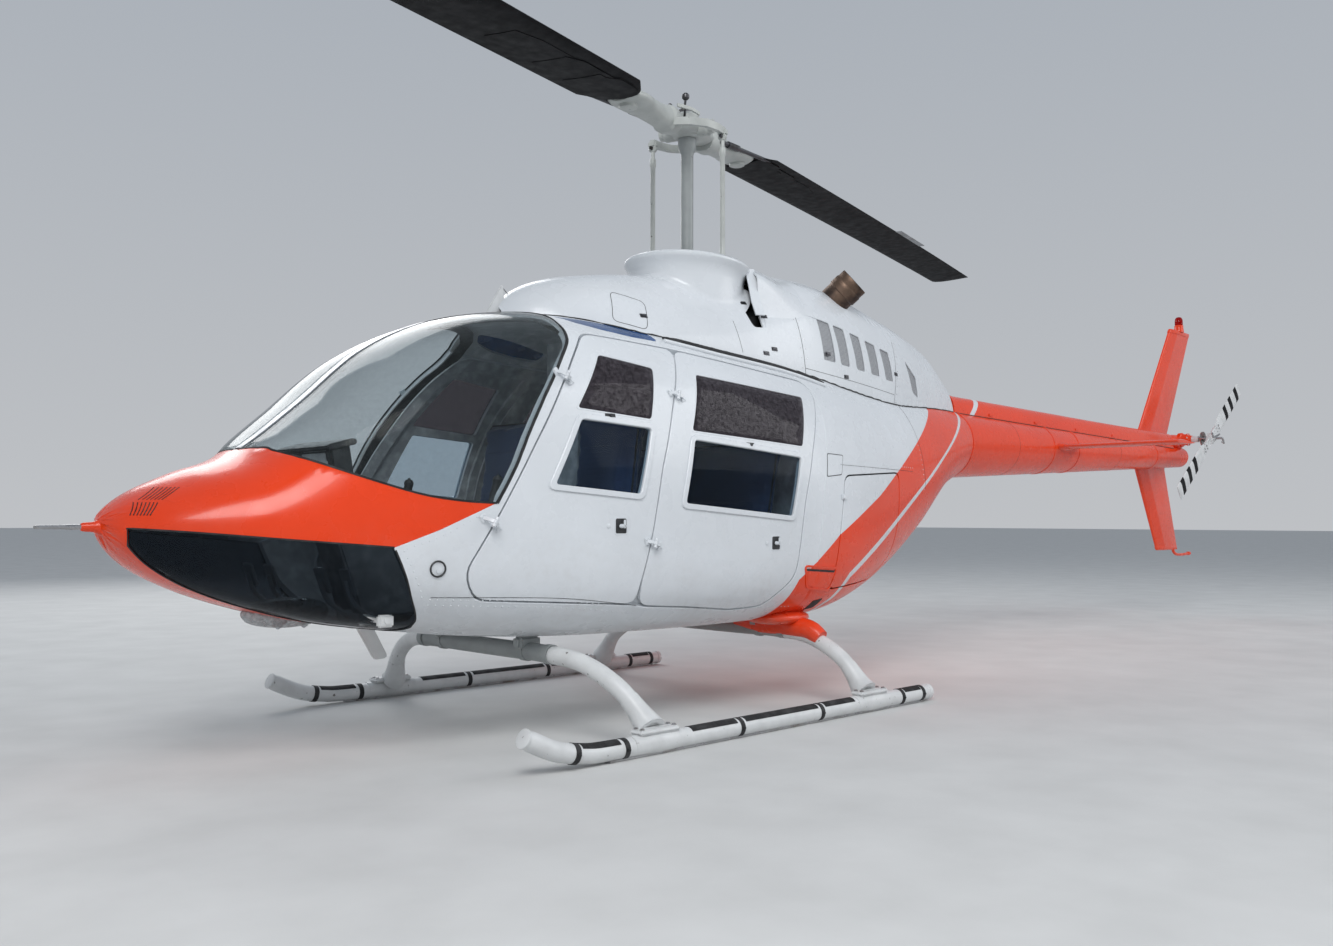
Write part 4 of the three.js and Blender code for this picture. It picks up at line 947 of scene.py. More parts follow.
def add_stage():
    made, tree, shader = material("pale_floor", Roughness=0.85, Specular_IOR_Level=0.2)
    grain = ranged(tree, noise(tree, 3.0, 8.0), 0.3, 0.7)
    tone = blended(tree, grain, (0.60, 0.60, 0.59), (0.66, 0.66, 0.65))
    tree.links.new(tone, shader.inputs["Base Color"])
    mesh = bpy.data.meshes.new("floor")
    corners = [(x * FLOOR_HALF, y * FLOOR_HALF, 0) for x, y in ((-1, -1), (1, -1), (1, 1), (-1, 1))]
    mesh.from_pydata(corners, [], [(0, 1, 2, 3)])
    mesh.materials.append(made)
    floor = bpy.data.objects.new("floor", mesh)
    bpy.context.scene.collection.objects.link(floor)


def add_light():
    world = bpy.data.worlds.new("soft_sky")
    world.use_nodes = True
    tree = world.node_tree
    where = tree.nodes.new("ShaderNodeTexCoord")
    split = tree.nodes.new("ShaderNodeSeparateXYZ")
    tree.links.new(where.outputs["Generated"], split.inputs["Vector"])
    high = ranged(tree, split.outputs["Z"], -0.05, 0.55)
    tone = blended(tree, high, (0.80, 0.82, 0.85), (0.56, 0.62, 0.70))
    background = tree.nodes["Background"]
    background.inputs["Strength"].default_value = 0.66
    tree.links.new(tone, background.inputs["Color"])
    bpy.context.scene.world = world
    bpy.context.scene.view_settings.view_transform = "Standard"
    # Columns: name, place, aim, size, power
    lamps = [
        ("key", (7.5, 6.0, 8.0), (0.5, 0.0, 1.0), 5.0, 640.0),
        ("fill", (-7.0, 8.0, 6.0), (-2.0, 0.0, 1.2), 7.0, 300.0),
        ("rim", (-1.0, -9.0, 7.0), (0.0, 0.0, 1.2), 6.0, 360.0),
    ]
    for name, place, aim, size, power in lamps:
        data = bpy.data.lights.new(name, "AREA")
        data.size = size
        data.energy = power
        lamp = bpy.data.objects.new(name, data)
        lamp.location = place
        lamp.rotation_euler = (Vector(aim) - Vector(place)).to_track_quat("-Z", "Y").to_euler()
        bpy.context.scene.collection.objects.link(lamp)


# Body panels

BODY = Skin(body_ring, NOSE_X, BODY_END_X)
COWL = Skin(cowl_ring, COWL_SECTIONS[0, 0], COWL_SECTIONS[-1, 0], 300, 161)


def joined_line(*parts, least=0.004):
    """One line from stretches, without points that nearly coincide."""
    line = np.vstack(parts)
    kept = [line[0]]
    for point in line[1:]:
        if np.linalg.norm(point - kept[-1]) > least:
            kept.append(point)
    if np.linalg.norm(kept[-1] - kept[0]) < least:
        kept.pop()
    return np.array(kept)


def windshield_foot():
    """The windshield's lower edge, from the middle post aft."""
    line = spline(WINDSHIELD_FOOT, 40)
    return joined_line(BODY.plan(spline(WINDSHIELD_FRONT, 24)), BODY.side(line[line[:, 0] < FOOT_TURN_X]))


def windshield_aft():
    return BODY.side(spline(WINDSHIELD_AFT, 44))


def windshield_top():
    return BODY.plan(spline(WINDSHIELD_TOP, 24))


def windshield_loop(inset):
    post = BODY.plan([(WINDSHIELD_TOP_X, POST_HALF), (WINDSHIELD_FRONT_X - 0.01, POST_HALF)])
    return grown(joined_line(windshield_foot(), windshield_aft(), windshield_top(), post), -inset)


def chin_line():
    """The chin window's aft edge, from the middle of the belly upwards."""
    under = BODY.belly([(CHIN_END_X, y) for y in (0.0, CHIN_FOOT_Y)])
    return joined_line(under, BODY.side(spline(CHIN_AFT[::-1], 16)))


def chin_loop(inset):
    keel = BODY.belly([*CHIN_TIP, (CHIN_END_X, KEEL_HALF)])
    under = BODY.belly([(CHIN_END_X, y) for y in (KEEL_HALF, CHIN_FOOT_Y)])
    aft = BODY.side(spline(CHIN_AFT[::-1], 16))
    return grown(joined_line(BODY.side(spline(CHIN_TOP, 30)), keel, under, aft), -inset)


def aft_line():
    """The cut between cabin and aft body, from the roof's edge to the middle of the belly."""
    return joined_line(BODY.side(AFT_EDGE), BODY.belly(AFT_BELLY))


def rounded_side(outline, distance=0.0, radius=0.05):
    return BODY.side(rounded(grown(outline, distance), radius), closed=True)


def orange_paint():
    """The orange region with its white stripe as outlines, and the lines along its edges."""
    end = BODY.length
    front = joined_line(BODY.belly(BAND_BELLY), BODY.side(BAND_FRONT), BODY.plan(BAND_TOP))
    region = np.vstack([front, [(end, BODY.width)], [(end, 0.0)]])
    middle = joined_line(BODY.belly(STRIPE_BELLY), BODY.side(STRIPE_LINE))
    ahead = np.gradient(middle, axis=0)
    normal = unit(np.column_stack([ahead[:, 1], -ahead[:, 0]]))
    above, below = middle - STRIPE_HALF * normal, middle + STRIPE_HALF * normal
    stripe = np.vstack([above, below[::-1]])
    return [region, stripe], [front, above, below]


# Columns: name, function that gives the outline, glass, slot
NOSE_PANES = [
    ("windshield", windshield_loop, CLEAR, "clear_glazing"),
    ("chin_window", chin_loop, CHIN_PANE, "dark_glazing"),
]
PANE_GAP = 0.0008


def add_nose():
    tip = BODY.row_at(NOSE_CUT_X)[0]
    outer = joined_line(
        BODY.centre(NOSE_CUT_X, CHIN_END_X, top=False),
        BODY.belly([(CHIN_END_X, 0.0), (CHIN_END_X, KEEL_HALF)]),
        BODY.belly([(CHIN_END_X, KEEL_HALF), *CHIN_TIP[::-1]]),
        BODY.side(spline(CHIN_TOP, 30))[::-1],
        BODY.side(NOSE_EDGE[::-1]),
        windshield_foot()[::-1],
        BODY.centre(WINDSHIELD_FRONT_X, NOSE_CUT_X),
        dense([(tip, BODY.width), (tip, 0.0)], 0.05),
    )[::-1]
    shape = panel(BODY, [outer], thick=0.006, grid=0.024, inner=1)
    piece("nose_shell", both_halves(shape), [ORANGE, TRIM], replaces=["nose_shell"])
    panes = [
        panel(BODY, [loop(PANE_GAP)], depth=0.001, thick=0.005, edge=PANE_GAP, grid=0.028)
        for _, loop, _, _ in NOSE_PANES
    ]
    for name, side in SIDES:
        for (pane, _, glass, slot), shape in zip(NOSE_PANES, panes):
            node = f"{pane}_{name}"
            piece(node, sided(shape, side), [glass], replaces=[node], smooth=50)


def door_opening(distance, radius=0.05):
    """Both door openings of a side as one outline."""
    return rounded_side([*FRONT_DOOR_EDGE, *REAR_DOOR_EDGE, DOOR_SEAM[0]], distance, radius)


JAMB_OUT = 0.012  # how far the lining of the doorway reaches out under the skin
JAMB_IN = 0.042  # and into the opening
JAMB_DEPTH = 0.026
JAMB_THICK = 0.018
PILLAR_AHEAD = 0.042  # how far ahead of the seam the pillar between the doors stands, clear of the rear door
PILLAR_WIDTH = 0.04


def add_cabin_frame():
    outer = joined_line(
        BODY.centre(AFT_BELLY[-1][0], CHIN_END_X, top=False),
        chin_line(),
        BODY.side(NOSE_EDGE[::-1]),
        windshield_aft(),
        BODY.side(ROOF_EDGE),
        aft_line(),
    )
    regions, (front, *_) = orange_paint()
    shape = panel(
        BODY, [outer, door_opening(SEAM)], [front[inside(front, [outer])]], thick=LINING_DEPTH, grid=0.032,
        paints=[(regions, 1)], inner=2,
    )
    piece("cabin_frame", both_halves(shape), [WHITE, ORANGE, PALE_TRIM],
          replaces=["cabin_frame"])
    jamb = panel(
        BODY, [door_opening(JAMB_OUT), door_opening(-JAMB_IN, 0.06)],
        depth=JAMB_DEPTH, thick=JAMB_THICK, grid=0.03, inner=1,
    )
    seam = BODY.side(np.array(DOOR_SEAM) + (PILLAR_AHEAD, 0.0))
    pillar = strip(BODY, seam, PILLAR_WIDTH, -JAMB_DEPTH - 0.001, JAMB_DEPTH + JAMB_THICK)
    shape = together(jamb, recoloured(pillar, 1))
    for name, side in SIDES:
        piece(f"door_jamb_{name}", sided(shape, side), [WHITE, TRIM])


def add_roof():
    outer = joined_line(
        windshield_top(),
        BODY.centre(WINDSHIELD_TOP_X, AFT_TOP_X),
        BODY.plan([(AFT_TOP_X, 0.0), (AFT_TOP_X, AFT_TOP_Y)]),
        BODY.side([ROOF_CORNER, *ROOF_EDGE[::-1]]),
    )
    window = BODY.plan(rounded(ROOF_WINDOW, 0.03), closed=True)
    shape = panel(BODY, [outer, window], thick=0.02, grid=0.035, inner=1)
    piece("roof_shell", both_halves(shape), [WHITE, PALE_TRIM], replaces=["roof_shell"])
    pane = panel(BODY, [grown(window, -0.001)], depth=0.001, thick=0.004, edge=PANE_GAP)
    for name, side in SIDES:
        node = f"roof_window_{name}"
        piece(node, sided(pane, side), [SKY_BLUE], replaces=[node])


def add_aft_body():
    end = BODY.row_at(BODY_END_X)[0]
    outer = joined_line(
        BODY.centre(AFT_TOP_X, BODY_END_X),
        dense([(end, BODY.width), (end, 0.0)], 0.03),
        BODY.centre(BODY_END_X, AFT_BELLY[-1][0], top=False),
        aft_line()[::-1],
        BODY.side([ROOF_EDGE[-1], ROOF_CORNER]),
        BODY.plan([(AFT_TOP_X, AFT_TOP_Y), (AFT_TOP_X, 0.0)]),
    )
    regions, lines = orange_paint()
    kept = [line[inside(line, [outer])] for line in lines]
    door = rounded_side(BAGGAGE_DOOR, SEAM)
    halves = [
        panel(BODY, [outer, *holes], kept, thick=0.006, grid=0.034, paints=[(regions, 1)], inner=2)
        for holes in ([door], [])
    ]
    shape = welded(together(halves[0], mirrored(halves[1])))
    piece("aft_body", shape, [WHITE, ORANGE, TRIM], replaces=["aft_body"])
    lid = panel(
        BODY, [rounded_side(BAGGAGE_DOOR, -SEAM)], kept, thick=0.012, grid=0.034,
        paints=[(regions, 1)], inner=2,
    )
    piece("baggage_door", lid, [WHITE, ORANGE, TRIM], body="baggage_lid",
          replaces=["baggage_door"])


# Doors

# Columns: place, outline, upper window, lower window
DOORS = [
    ("front", FRONT_DOOR, FRONT_UPPER, FRONT_LOWER),
    ("rear", REAR_DOOR, REAR_UPPER, REAR_LOWER),
]
WINDOW_CORNER = 0.016
BEZEL = 0.02  # width of the raised frame round a lower window
BEZEL_CORNER = WINDOW_CORNER + BEZEL


def window_frame(window, outer, corner, inner, **sheet):
    """A frame round a window, from a distance outside its edge to a distance inside it."""
    loops = [rounded_side(window, outer, corner), rounded_side(window, -inner, WINDOW_CORNER)]
    return panel(BODY, loops, grid=0.02, **sheet)


def door_pane(window, depth):
    loop = rounded_side(window, -PANE_GAP, WINDOW_CORNER)
    return panel(BODY, [loop], depth=depth, thick=0.003, edge=0.0006, grid=0.04)


def add_doors():
    for place, outline, upper, lower in DOORS:
        holes = [rounded_side(window, 0.0, WINDOW_CORNER) for window in (upper, lower)]
        leaf = panel(BODY, [rounded_side(outline, -SEAM), *holes], thick=LEAF, grid=0.03, inner=1)
        bezel = window_frame(lower, BEZEL, BEZEL_CORNER, 0.004, depth=-0.007, thick=0.012, edge=0.003)
        seal = window_frame(upper, 0.004, WINDOW_CORNER, 0.003, depth=-0.0012, thick=0.006, edge=0.001)
        lower_pane, upper_pane = door_pane(lower, 0.006), door_pane(upper, 0.002)
        for name, side in SIDES:
            door = f"{place}_door_{name}"
            # Columns: piece, shape, materials, slot, nodes it stands for, smoothing angle
            for label, shape, materials, slot, nodes, smooth in [
                (door, leaf, [WHITE, TRIM], "white_paint", [door], 32),
                (f"{place}_lower_bezel_{name}", bezel, [WHITE], "white_paint", [], 32),
                (f"{place}_upper_seal_{name}", seal, [WHITE], "white_paint", [], 32),
                (f"{place}_door_window_{name}", lower_pane, [CABIN_PANE], "clear_glazing",
                 [f"{place}_door_window_{name}"], 50),
                (f"{place}_door_upper_window_{name}", upper_pane, [SMOKED], "dark_glazing", [], 50),
            ]:
                piece(label, sided(shape, side), materials, f"{place}_{name}_door", nodes, smooth)


# Cowls

# The intake's opening from above (station, distance from the centre line)
INTAKE = [
    (-0.098, 0.350), (-0.080, 0.290), (-0.150, 0.238), (-0.215, 0.185), (-0.262, 0.165), (-0.220, 0.270),
    (-0.190, 0.356),
]
# Openings in the engine cowl from the side (station, height)
GRILLES = [
    [(-0.50, 1.885), (-0.70, 1.865), (-0.70, 1.655), (-0.53, 1.665)],
    [(-0.73, 1.860), (-0.83, 1.848), (-0.83, 1.645), (-0.745, 1.650)],
    [(-0.88, 1.838), (-0.98, 1.825), (-0.98, 1.635), (-0.895, 1.640)],
    [(-1.03, 1.815), (-1.14, 1.800), (-1.14, 1.625), (-1.045, 1.630)],
    [(-1.19, 1.790), (-1.30, 1.778), (-1.30, 1.612), (-1.205, 1.616)],
    [(-1.52, 1.760), (-1.65, 1.670), (-1.65, 1.550), (-1.56, 1.580)],
]
MAST_HOLE = 0.215  # radius of the cowl's opening round the mast


def cowl_foot(from_x, to_x):
    """Where the cowl meets the roof, as places on the cowl's skin, a little below the roof."""
    found = []
    for x in dense([(from_x, 0), (to_x, 0)], 0.03)[:, 0]:
        m, row = COWL.row_at(x)
        roof = np.array([BODY.height(x, y) for y in row[:, 0]])
        clear = row[:, 1] > roof - 0.002
        j = int(np.argmax(clear))
        found.append((m, max(COWL.shares[j] * COWL.width - 0.012, 0.002)))
    return np.array(found)


def add_cowls():
    front_x, end_x = COWL_ENDS
    hole = [(MAST_HOLE * math.cos(a), MAST_HOLE * math.sin(a)) for a in np.linspace(0, math.pi, 24)]
    split = COWL.row_at(COWL_SPLIT_X)[0]
    foot_front = cowl_foot(front_x, COWL_SPLIT_X)
    foot_back = cowl_foot(COWL_SPLIT_X, end_x)
    intake = COWL.plan(rounded(INTAKE, 0.02), closed=True)
    front = joined_line(
        COWL.centre(COWL_SPLIT_X, -MAST_HOLE),
        COWL.plan(hole[::-1]),
        COWL.centre(MAST_HOLE, front_x),
        dense([(foot_front[0][0], COWL.width), tuple(foot_front[0])], 0.03),
        foot_front,
        dense([tuple(foot_front[-1]), (split, COWL.width)], 0.03),
    )[::-1]
    shape = panel(COWL, [front, intake], thick=0.008, grid=0.026, inner=1)
    piece("transmission_cowl", both_halves(shape), [WHITE, TRIM],
          replaces=["transmission_cowl"])
    holes = [COWL.side(rounded(grille, 0.016), closed=True) for grille in GRILLES]
    last = foot_back[-1]
    back = joined_line(
        COWL.centre(end_x, COWL_SPLIT_X),
        dense([(split, COWL.width), tuple(foot_back[0])], 0.03),
        foot_back,
        dense([tuple(last), (last[0], COWL.width)], 0.03),
    )[::-1]
    shape = panel(COWL, [back, *holes], thick=0.006, grid=0.026, inner=1)
    piece("engine_cowl", both_halves(shape), [WHITE, TRIM], replaces=["engine_cowl"])
    sheets = []
    for grille in GRILLES:
        loop = COWL.side(rounded(grown(grille, 0.012), 0.016), closed=True)
        sheets.append(panel(COWL, [loop], depth=0.007, thick=0.002, edge=0.0005))
    piece("cowl_grilles", on_both_sides(together(*sheets)), [MESH])


# Things laid on a skin or bent from sheet and bar

def strip(skin, where, width, lift=0.0006, sink=0.001):
    """A flat strip that follows a line on a skin; width is one number or one for each point."""
    points, normals = skin.point(where), skin.normal(where)
    across = unit(np.cross(normals, np.gradient(points, axis=0)))
    half = np.broadcast_to(np.asarray(width, float) / 2, (len(points),))[:, None]
    top, foot = points + lift * normals, points - sink * normals
    rails = [top + half * across, top - half * across, foot - half * across, foot + half * across]
    return loft([np.array(ring) for ring in zip(*rails)])


def bead(skin, where, radius, lift=0.0, sides=8):
    return tube(skin.point(where) + lift * skin.normal(where), radius, sides)


def patch(skin, loop, lift=0.001, grid=0.05):
    """A thin sheet glued on a skin."""
    return panel(skin, [loop], depth=-lift, thick=lift + 0.001, edge=0.0004, grid=grid)


def rivets(skin, where, pitch=0.028, radius=0.0032):
    """Round heads at even steps along a line on a skin."""
    points = skin.point(where)
    along = np.concatenate([[0], np.cumsum(np.linalg.norm(np.diff(points, axis=0), axis=1))])
    wanted = np.linspace(0, along[-1], max(2, round(along[-1] / pitch) + 1))
    places = np.column_stack([np.interp(wanted, along, where[:, k]) for k in (0, 1)])
    heads = []
    for point, normal in zip(skin.point(places), skin.normal(places)):
        foot = circle(point - normal * 0.0005, normal, radius, 6)
        heads.append(loft([foot, circle(point + normal * 0.0014, normal, radius * 0.55, 6)]))
    return together(*heads)


def circle(centre, axis, radius, sides=24):
    axis = unit(axis)
    side = unit(np.cross(axis, (1.0, 0, 0) if abs(axis[0]) < 0.9 else (0, 1.0, 0)))
    across = np.cross(axis, side)
    angles = np.linspace(0, 2 * math.pi, sides, endpoint=False)[:, None]
    return np.asarray(centre, float) + radius * (np.cos(angles) * side + np.sin(angles) * across)


def slab(points, across, width, thick):
    """A flat bar bent along points, its width lying along a given way."""
    p, way = np.asarray(points, float), unit(across)
    normal = unit(np.cross(way, np.gradient(p, axis=0)))
    half, rise = way * width / 2, normal * thick / 2
    rings = [np.array([c + half + n, c - half + n, c - half - n, c + half - n]) for c, n in zip(p, rise)]
    return loft(rings)


def prism(outline, low, high, bevel=0.004):
    """An outline of (x, z) drawn out along Y, with soft edges."""
    bm = bmesh.new()
    face = bm.faces.new([bm.verts.new((x, low, z)) for x, z in outline])
    made = bmesh.ops.extrude_face_region(bm, geom=[face])
    lifted = [v for v in made["geom"] if isinstance(v, bmesh.types.BMVert)]
    bmesh.ops.translate(bm, vec=(0, high - low, 0), verts=lifted)
    bmesh.ops.recalc_face_normals(bm, faces=bm.faces[:])
    bmesh.ops.bevel(bm, geom=bm.edges[:], offset=bevel, segments=2, affect="EDGES")
    bm.verts.index_update()
    return of_bmesh(bm)


def along_y(shape, centre=(0, 0, 0)):
    """A shape made round Z, laid along Y."""
    return moved(shape, Matrix.Translation(centre) @ Matrix.Rotation(-math.pi / 2, 4, "X"))


def along_x(shape, centre=(0, 0, 0)):
    return moved(shape, Matrix.Translation(centre) @ Matrix.Rotation(math.pi / 2, 4, "Y"))


def at(shape, x=0.0, y=0.0, z=0.0):
    return moved(shape, Matrix.Translation((x, y, z)))


# Columns: share of the chord, half thickness as a share of the greatest
AEROFOIL = [
    (0.0, 0.0), (0.012, 0.28), (0.04, 0.52), (0.12, 0.85), (0.3, 1.0), (0.5, 0.86), (0.75, 0.5), (1.0, 0.05),
]
FIN_FOIL = [
    (0.0, 0.0), (0.008, 0.26), (0.025, 0.44), (0.06, 0.60), (0.33, 1.0), (0.66, 0.55), (0.985, 0.11),
    (1.0, 0.06),
]


def aerofoil(place, chord_way, thick_way, chord, thick, table=AEROFOIL):
    """A section as a ring; its leading edge is at the place and its chord runs along the first way."""
    outline = [*table, *[(share, -half) for share, half in table[:0:-1]]]
    chord_way, thick_way = np.asarray(chord_way, float), np.asarray(thick_way, float)
    return np.array([
        np.asarray(place, float) + share * chord * chord_way + half * thick / 2 * thick_way
        for share, half in outline
    ])


def squarish(value, power=0.8):
    """A sine or cosine made fuller."""
    return math.copysign(abs(value)**power, value)


def turned(shape, axis="Z"):
    """The shape turned round an axis by half a turn."""
    return moved(shape, Matrix.Rotation(math.pi, 4, axis))


def bolt_circle(bolt, radius, count, height, start=0.0, sweep=2 * math.pi):
    angles = np.linspace(start, start + sweep, count, endpoint=False)
    return [at(bolt, radius * math.cos(a), radius * math.sin(a), height) for a in angles]


def hex_bolt(radius=0.008, height=0.006):
    washer = lathe([(radius * 1.5, 0.0), (radius * 1.5, height * 0.25)], 16)
    head = lathe([(radius * 1.1, height * 0.25), (radius * 1.1, height * 0.85), (radius * 0.8, height)], 6)
    return together(washer, head)


# Windshield post, seals and the fairing round the mast

POST_ENDS = (1.505, 2.263)
FRAME_SHADE_BEHIND = 0.028  # how far behind the windshield's edge the middle of the black strip of painted shade lies


def add_windshield_trim():
    top_x, foot_x = POST_ENDS
    half = POST_HALF - 0.001
    outer = joined_line(
        BODY.centre(top_x, foot_x),
        BODY.plan([(foot_x, 0.0), (foot_x, half)]),
        BODY.plan([(foot_x, half), (top_x, half)]),
    )
    post = both_halves(panel(BODY, [outer], depth=-0.0015, thick=0.026, grid=0.03, inner=1))
    piece("windshield_post", post, [SILVER, TRIM], replaces=["windshield_post"])
    aft = joined_line(windshield_aft(), windshield_top())
    seal = together(strip(BODY, aft, 0.013, 0.0022), strip(BODY, windshield_foot(), 0.007, 0.0014))
    piece("windshield_seals", on_both_sides(seal), [RUBBER])
    # A black strip inside the windshield's frame: painted shade where the headliner lies in shadow
    lining = strip(BODY, aft + (FRAME_SHADE_BEHIND, 0.0), 0.06, -0.031, 0.036)
    piece("windshield_frame_lining", on_both_sides(lining), [PLASTIC])
    chin = strip(BODY, chin_loop(-0.002), 0.006, 0.0012)
    piece("chin_window_seals", on_both_sides(chin), [RUBBER])


# Columns: radius, height
FAIRING_TOP = [
    (0.225, 1.950), (0.228, 2.068), (0.238, 2.094), (0.256, 2.105), (0.280, 2.107), (0.301, 2.102),
    (0.311, 2.093), (0.312, 2.083), (0.307, 2.073), (0.297, 2.060), (0.288, 2.044), (0.282, 2.024),
    (0.280, 2.004),
]
# Columns: radius, how far it stands over the cowl
FAIRING_FOOT = [
    (0.280, 0.028), (0.281, 0.017), (0.285, 0.009), (0.292, 0.004), (0.302, 0.001), (0.312, -0.004),
    (0.318, -0.012),
]
FAIRING_TILT = 0.075  # rise of the lip for each metre forward
FAIRING_SIDES = 72
# Columns: radius, height
MAST_WELL = [(0.0, 1.955), (0.229, 1.955), (0.229, 1.975), (0.16, 1.985), (0.12, 2.000), (0.0, 2.000)]


def add_mast_fairing():
    points = []
    for angle in np.linspace(0, 2 * math.pi, FAIRING_SIDES, endpoint=False):
        c, s = math.cos(angle), math.sin(angle)
        line = [(r * c, r * s, height + FAIRING_TILT * r * c) for r, height in FAIRING_TOP]
        ceiling = line[-1][2] - 0.004
        for radius, lift in FAIRING_FOOT:
            height = COWL.height(radius * c, radius * s) + lift
            line.append((radius * c, radius * s, min(height, ceiling)))
            ceiling = line[-1][2] - 0.001
        points += line
    count = len(line)
    faces = []
    for k in range(FAIRING_SIDES):
        a, b = k * count, (k + 1) % FAIRING_SIDES * count
        for i in range(count):
            faces.append((a + i, b + i, b + (i + 1) % count, a + (i + 1) % count))
    piece("mast_fairing", facing_out(shape_of(points, faces)), [WHITE])
    well = together(lathe(MAST_WELL, 40), *bolt_circle(hex_bolt(0.010, 0.010), 0.195, 12, 1.974))
    piece("mast_well", well, [GREY])


# Exhausts

STACK_ROUTE = [(-0.885, 0.085, 1.900), (-0.915, 0.118, 1.965), (-0.955, 0.190, 2.045), (-1.000, 0.285, 2.135)]
# Columns: share of the way up, outer radius
STACK_RADII = [
    (0.0, 0.082), (0.70, 0.082), (0.72, 0.087), (0.86, 0.087), (0.88, 0.083), (0.985, 0.084), (1.0, 0.082),
]
STACK_BORE = 0.0765
STACK_BORE_SHARES = [1.0, 0.9, 0.6, 0.3, 0.1]
STACK_SIDES = 36


def stack_ring(share, radius):
    """A ring of the left stack at a share of its length."""
    line = spline(STACK_ROUTE, 25)
    ways = np.gradient(line, axis=0)
    shares = np.linspace(0, 1, len(line))
    centre, way = ([np.interp(share, shares, table[:, k]) for k in range(3)] for table in (line, ways))
    return circle(centre, way, radius, STACK_SIDES)


def add_exhausts():
    shares = sorted({*np.linspace(0, 1, 16), *[share for share, _ in STACK_RADII]})
    outside = [stack_ring(share, np.interp(share, *np.array(STACK_RADII).T)) for share in shares]
    points, faces, _ = loft([*outside, *[stack_ring(share, STACK_BORE) for share in STACK_BORE_SHARES]])
    slots = [1 if min(face) >= len(outside) * STACK_SIDES else 0 for face in faces]
    stack = (points, faces, slots)
    for name, side in SIDES:
        node = f"exhaust_stack_{name}"
        piece(node, sided(stack, side), [BURNT, BLACK], replaces=[node])


# Tail

# Columns: station, top, half width
COVER_SECTIONS = [
    (-2.302, 1.656, 0.096), (-2.350, 1.642, 0.095), (-3.590, 1.618, 0.084), (-4.380, 1.602, 0.076),
    (-5.270, 1.588, 0.066), (-5.800, 1.580, 0.058),
]
COVER_FRONT = [-2.302, -2.330, -2.380]  # stations ahead of the white stripe
COVER_REAR = [-2.800, -3.200, -3.590, -4.000, -4.380, -4.800, -5.270, -5.540, -5.760, -5.800]
COVER_STRIPE = [-2.395, -2.450]  # where the white stripe crosses the cover, at STRIPE_FOOT_Z
COVER_SIDES = 25
STRIPE_FOOT_Z = 1.44
STRIPE_SLANT = 1.1  # metres aft for each metre up
BOOM_ROOT = (-2.320, 1.330, 0.215)  # station, height, radius
BOOM_END = (-6.050, 1.388, 0.082)
# Columns: station, lift, radius
BOOM_TIP = [(-6.075, 0.000, 0.074), (-6.115, 0.014, 0.052), (-6.150, 0.028, 0.022)]
DOUBLERS = [-2.322, -3.470, -3.870, -5.360]
BOOM_SEAMS = [-2.95, -4.62]
FIN_Y = -0.118
# Columns: height, station of the leading edge, chord
FIN_SECTIONS = [
    (0.590, -5.845, 0.440), (1.285, -5.435, 0.600), (1.605, -5.510, 0.590), (2.540, -6.190, 0.440),
]
FIN_THICK = 0.046
STABILISER_X = -3.530
STABILISER_Z = 1.365
STABILISER_CHORD = 0.300
STABILISER_THICK = 0.034
STABILISER_HALF = 0.985
COLLAR_RINGS = [(0.150, 0.016), (0.196, 0.007), (0.204, 0.001)]  # distance out, how much it stands proud


def boom_at(x):
    """Height and radius of the boom."""
    t = (BOOM_ROOT[0] - x) / (BOOM_ROOT[0] - BOOM_END[0])
    return BOOM_ROOT[1] + (BOOM_END[1] - BOOM_ROOT[1]) * t, BOOM_ROOT[2] + (BOOM_END[2] - BOOM_ROOT[2]) * t


def boom_ring(x, extra=0.0, sides=64):
    height, radius = boom_at(x)
    return circle((x, 0, height), (-1.0, 0, 0), radius + extra, sides)


def boom_band(x, width, lift, sink):
    """A band round the boom, from a depth under its skin to a height over it."""
    corners = [(x, -sink), (x, lift), (x - width, lift), (x - width, -sink)]
    return loft([boom_ring(station, extra) for station, extra in corners])


def cover_foot(x):
    """Half width of the cover at its foot, and the height at which it meets the boom."""
    height, radius = boom_at(x)
    half = np.interp(-x, [-row[0] for row in COVER_SECTIONS], [row[2] for row in COVER_SECTIONS])
    return half, height + math.sqrt(radius**2 - half**2)


def add_tail_boom():
    stations = [-2.300, -2.318, *np.linspace(-2.36, -6.03, 24), -6.046, BOOM_END[0]]
    rings = [boom_ring(x, -0.004 if x in (stations[0], stations[-1]) else 0.0) for x in stations]
    rings += [circle((x, 0, 1.400 + lift), (-1.0, 0, 0.2), radius, 64) for x, lift, radius in BOOM_TIP]
    piece("tail_boom", loft(rings), [ORANGE], replaces=["tail_boom"])
    collars = [boom_band(x, 0.034, 0.0025, 0.003) for x in DOUBLERS]
    piece("boom_doublers", together(*collars), [ORANGE])
    seams = [boom_band(x, 0.0016, 0.0005, 0.002) for x in BOOM_SEAMS]
    edge = []
    for x in np.linspace(-2.31, -5.79, 40):
        half, height = cover_foot(x)
        edge.append((x, half + 0.001, height + 0.0005))
    seams.append(on_both_sides(tube(edge, 0.0028, 6)))
    piece("boom_seams", together(*seams), [RUBBER])


def cover_ring(x, slant=0.0):
    """A section across the cover over the tail rotor's shaft, leaning aft with height by the slant."""
    table = np.array(COVER_SECTIONS)[::-1]
    points = []
    for angle in np.linspace(0, math.pi, COVER_SIDES):
        place = x
        for _ in range(3):
            top, half = (np.interp(place, table[:, 0], table[:, k]) for k in (1, 2))
            height, radius = boom_at(place)
            base = height + 0.75 * radius
            z = base + (top - base) * abs(math.sin(angle))**0.8
            place = x - slant * (z - STRIPE_FOOT_Z)
        points.append((place, half * squarish(math.cos(angle)), z))
    return np.array(points)


